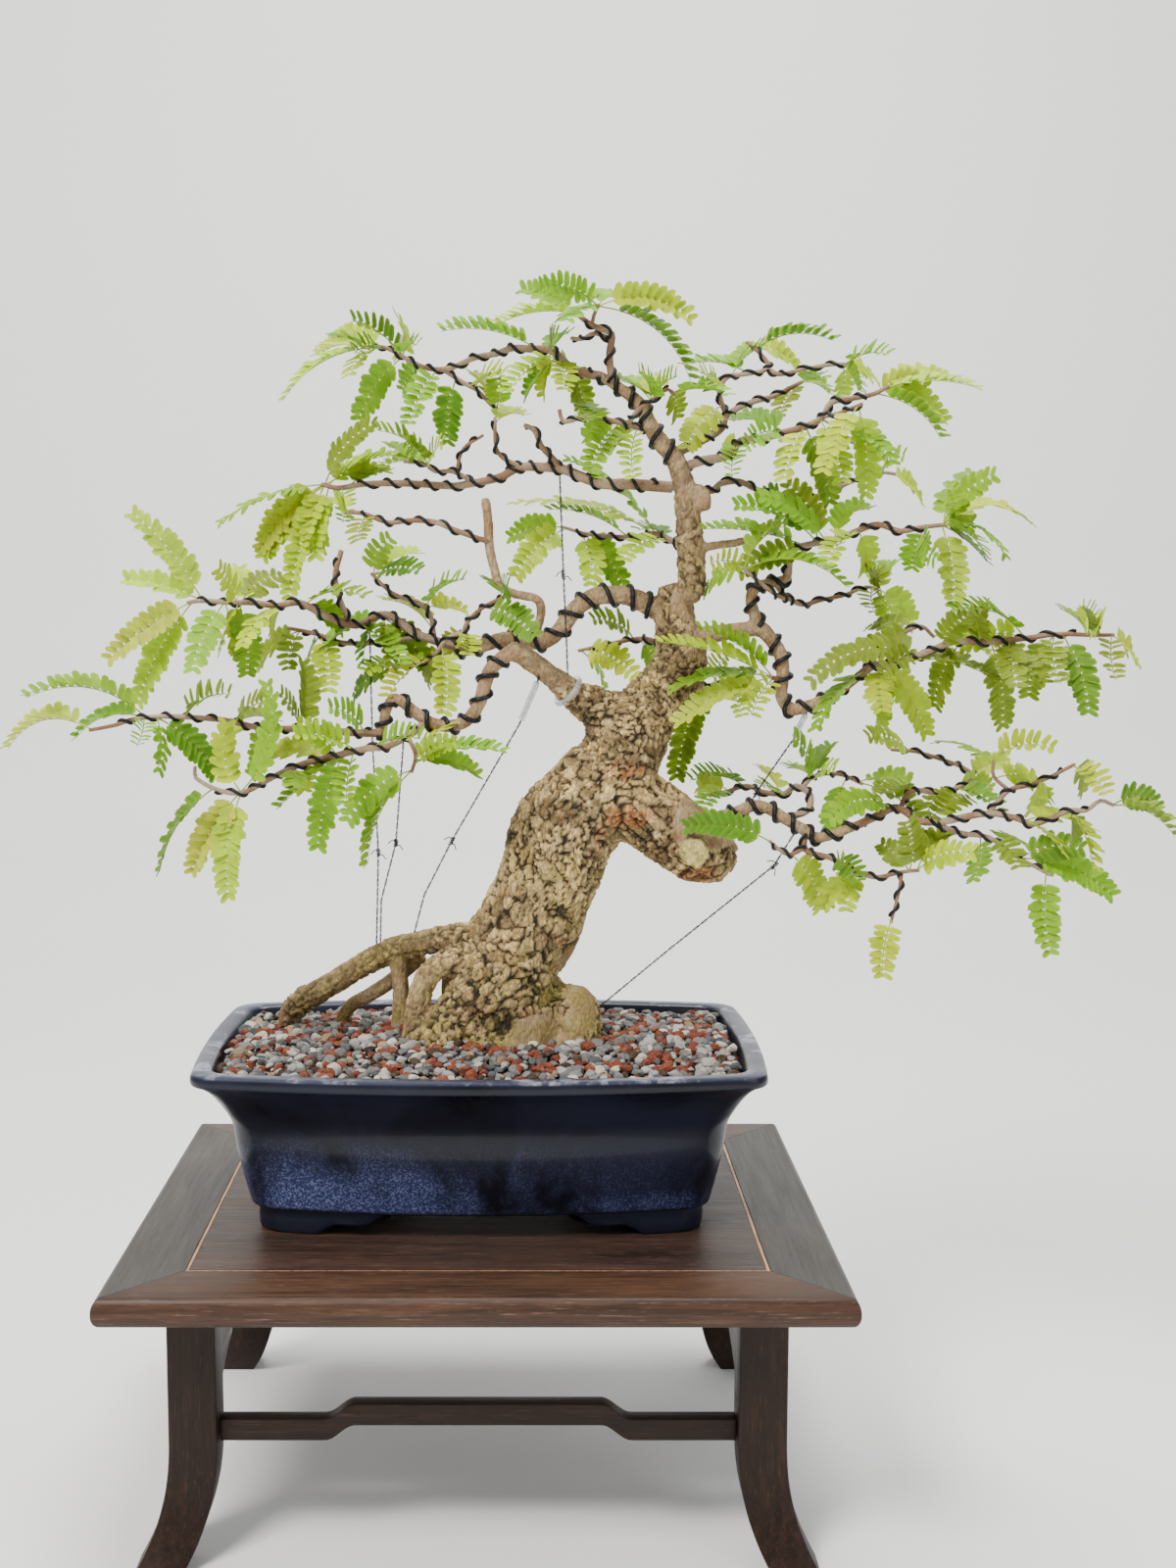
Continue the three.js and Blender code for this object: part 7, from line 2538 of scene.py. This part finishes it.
@dataclass
class Studio:
    """A pale floor with a soft backdrop, and soft light."""

    floor: Colour = (0.86, 0.86, 0.84)
    sweep: tuple = ((-3.0, 0.0), (0.9, 0.0), (1.15, 0.03), (1.35, 0.12), (1.48, 0.28), (1.55, 0.5),
                    (1.58, 2.6))

    def surfaces(self) -> None:
        """Add a sheet of pale paper that lies on the floor and rises behind the object."""
        paper = Sheet("studio_paper", Roughness=0.9, Base_Color=self.floor)
        shell = Shell()
        for y, z in self.sweep:
            shell.points += [Vector((side * 3.0, y, z - 0.0004)) for side in (-1, 1)]
        shell.faces = [(2 * i, 2 * i + 1, 2 * i + 3, 2 * i + 2) for i in range(len(self.sweep) - 1)]
        shell.piece("studio_paper", paper.material)

    def light(self, name: str, place: Colour, size: float, power: float, tone: Colour) -> None:
        """Add a soft lamp that points at the middle of the tree."""
        data = bpy.data.lights.new(name, "AREA")
        data.shape = "DISK"
        data.size = size
        data.energy = power
        data.color = tone
        lamp = bpy.data.objects.new(name, data)
        lamp.location = place
        aim = Vector((0.0, 0.0, 0.33)) - Vector(place)
        lamp.rotation_euler = aim.to_track_quat("-Z", "Y").to_euler()
        bpy.context.scene.collection.objects.link(lamp)

    def build(self) -> None:
        """Add the floor, the lamps and the pale room light."""
        self.surfaces()
        self.light("key_lamp", (-1.0, -1.3, 2.1), 0.9, 78.0, (1.0, 0.97, 0.93))
        self.light("fill_lamp", (1.6, -1.4, 1.0), 1.6, 14.0, (0.93, 0.96, 1.0))
        self.light("top_lamp", (0.2, 0.3, 2.2), 1.0, 46.0, (1.0, 1.0, 1.0))
        world = bpy.data.worlds.new("studio_light")
        world.use_nodes = True
        world.node_tree.nodes["Background"].inputs["Color"].default_value = (0.80, 0.82, 0.85, 1.0)
        world.node_tree.nodes["Background"].inputs["Strength"].default_value = 0.62
        bpy.context.scene.world = world


def main() -> None:
    """Build every part of the object and the studio round it."""
    logging.basicConfig(level=logging.INFO, format="%(message)s")
    PICTURE.place_camera()
    bark = BarkFinish().make()
    twig = TwigFinish().make()
    leaf = LeafFinish().make()
    Stand().build()
    pot = Pot()
    pot.build(GlazeFinish().make())
    wood = TreeWood()
    wood.build(bark)
    gravel = GravelBed(pot)
    gravel.bed(SoilFinish().make())
    gravel.stones(StoneFinish().make(), *wood.nearest())
    for side in ("left", "right"):
        dress_node(f"drain_screen_{side}", WireFinish(roughness=0.55).make(f"screen_{side}"))
    branches = LeafyBranches()
    branches.build(leaf, twig)
    Wiring().build(branches)
    Studio().build()


if __name__ == "__main__":
    main()
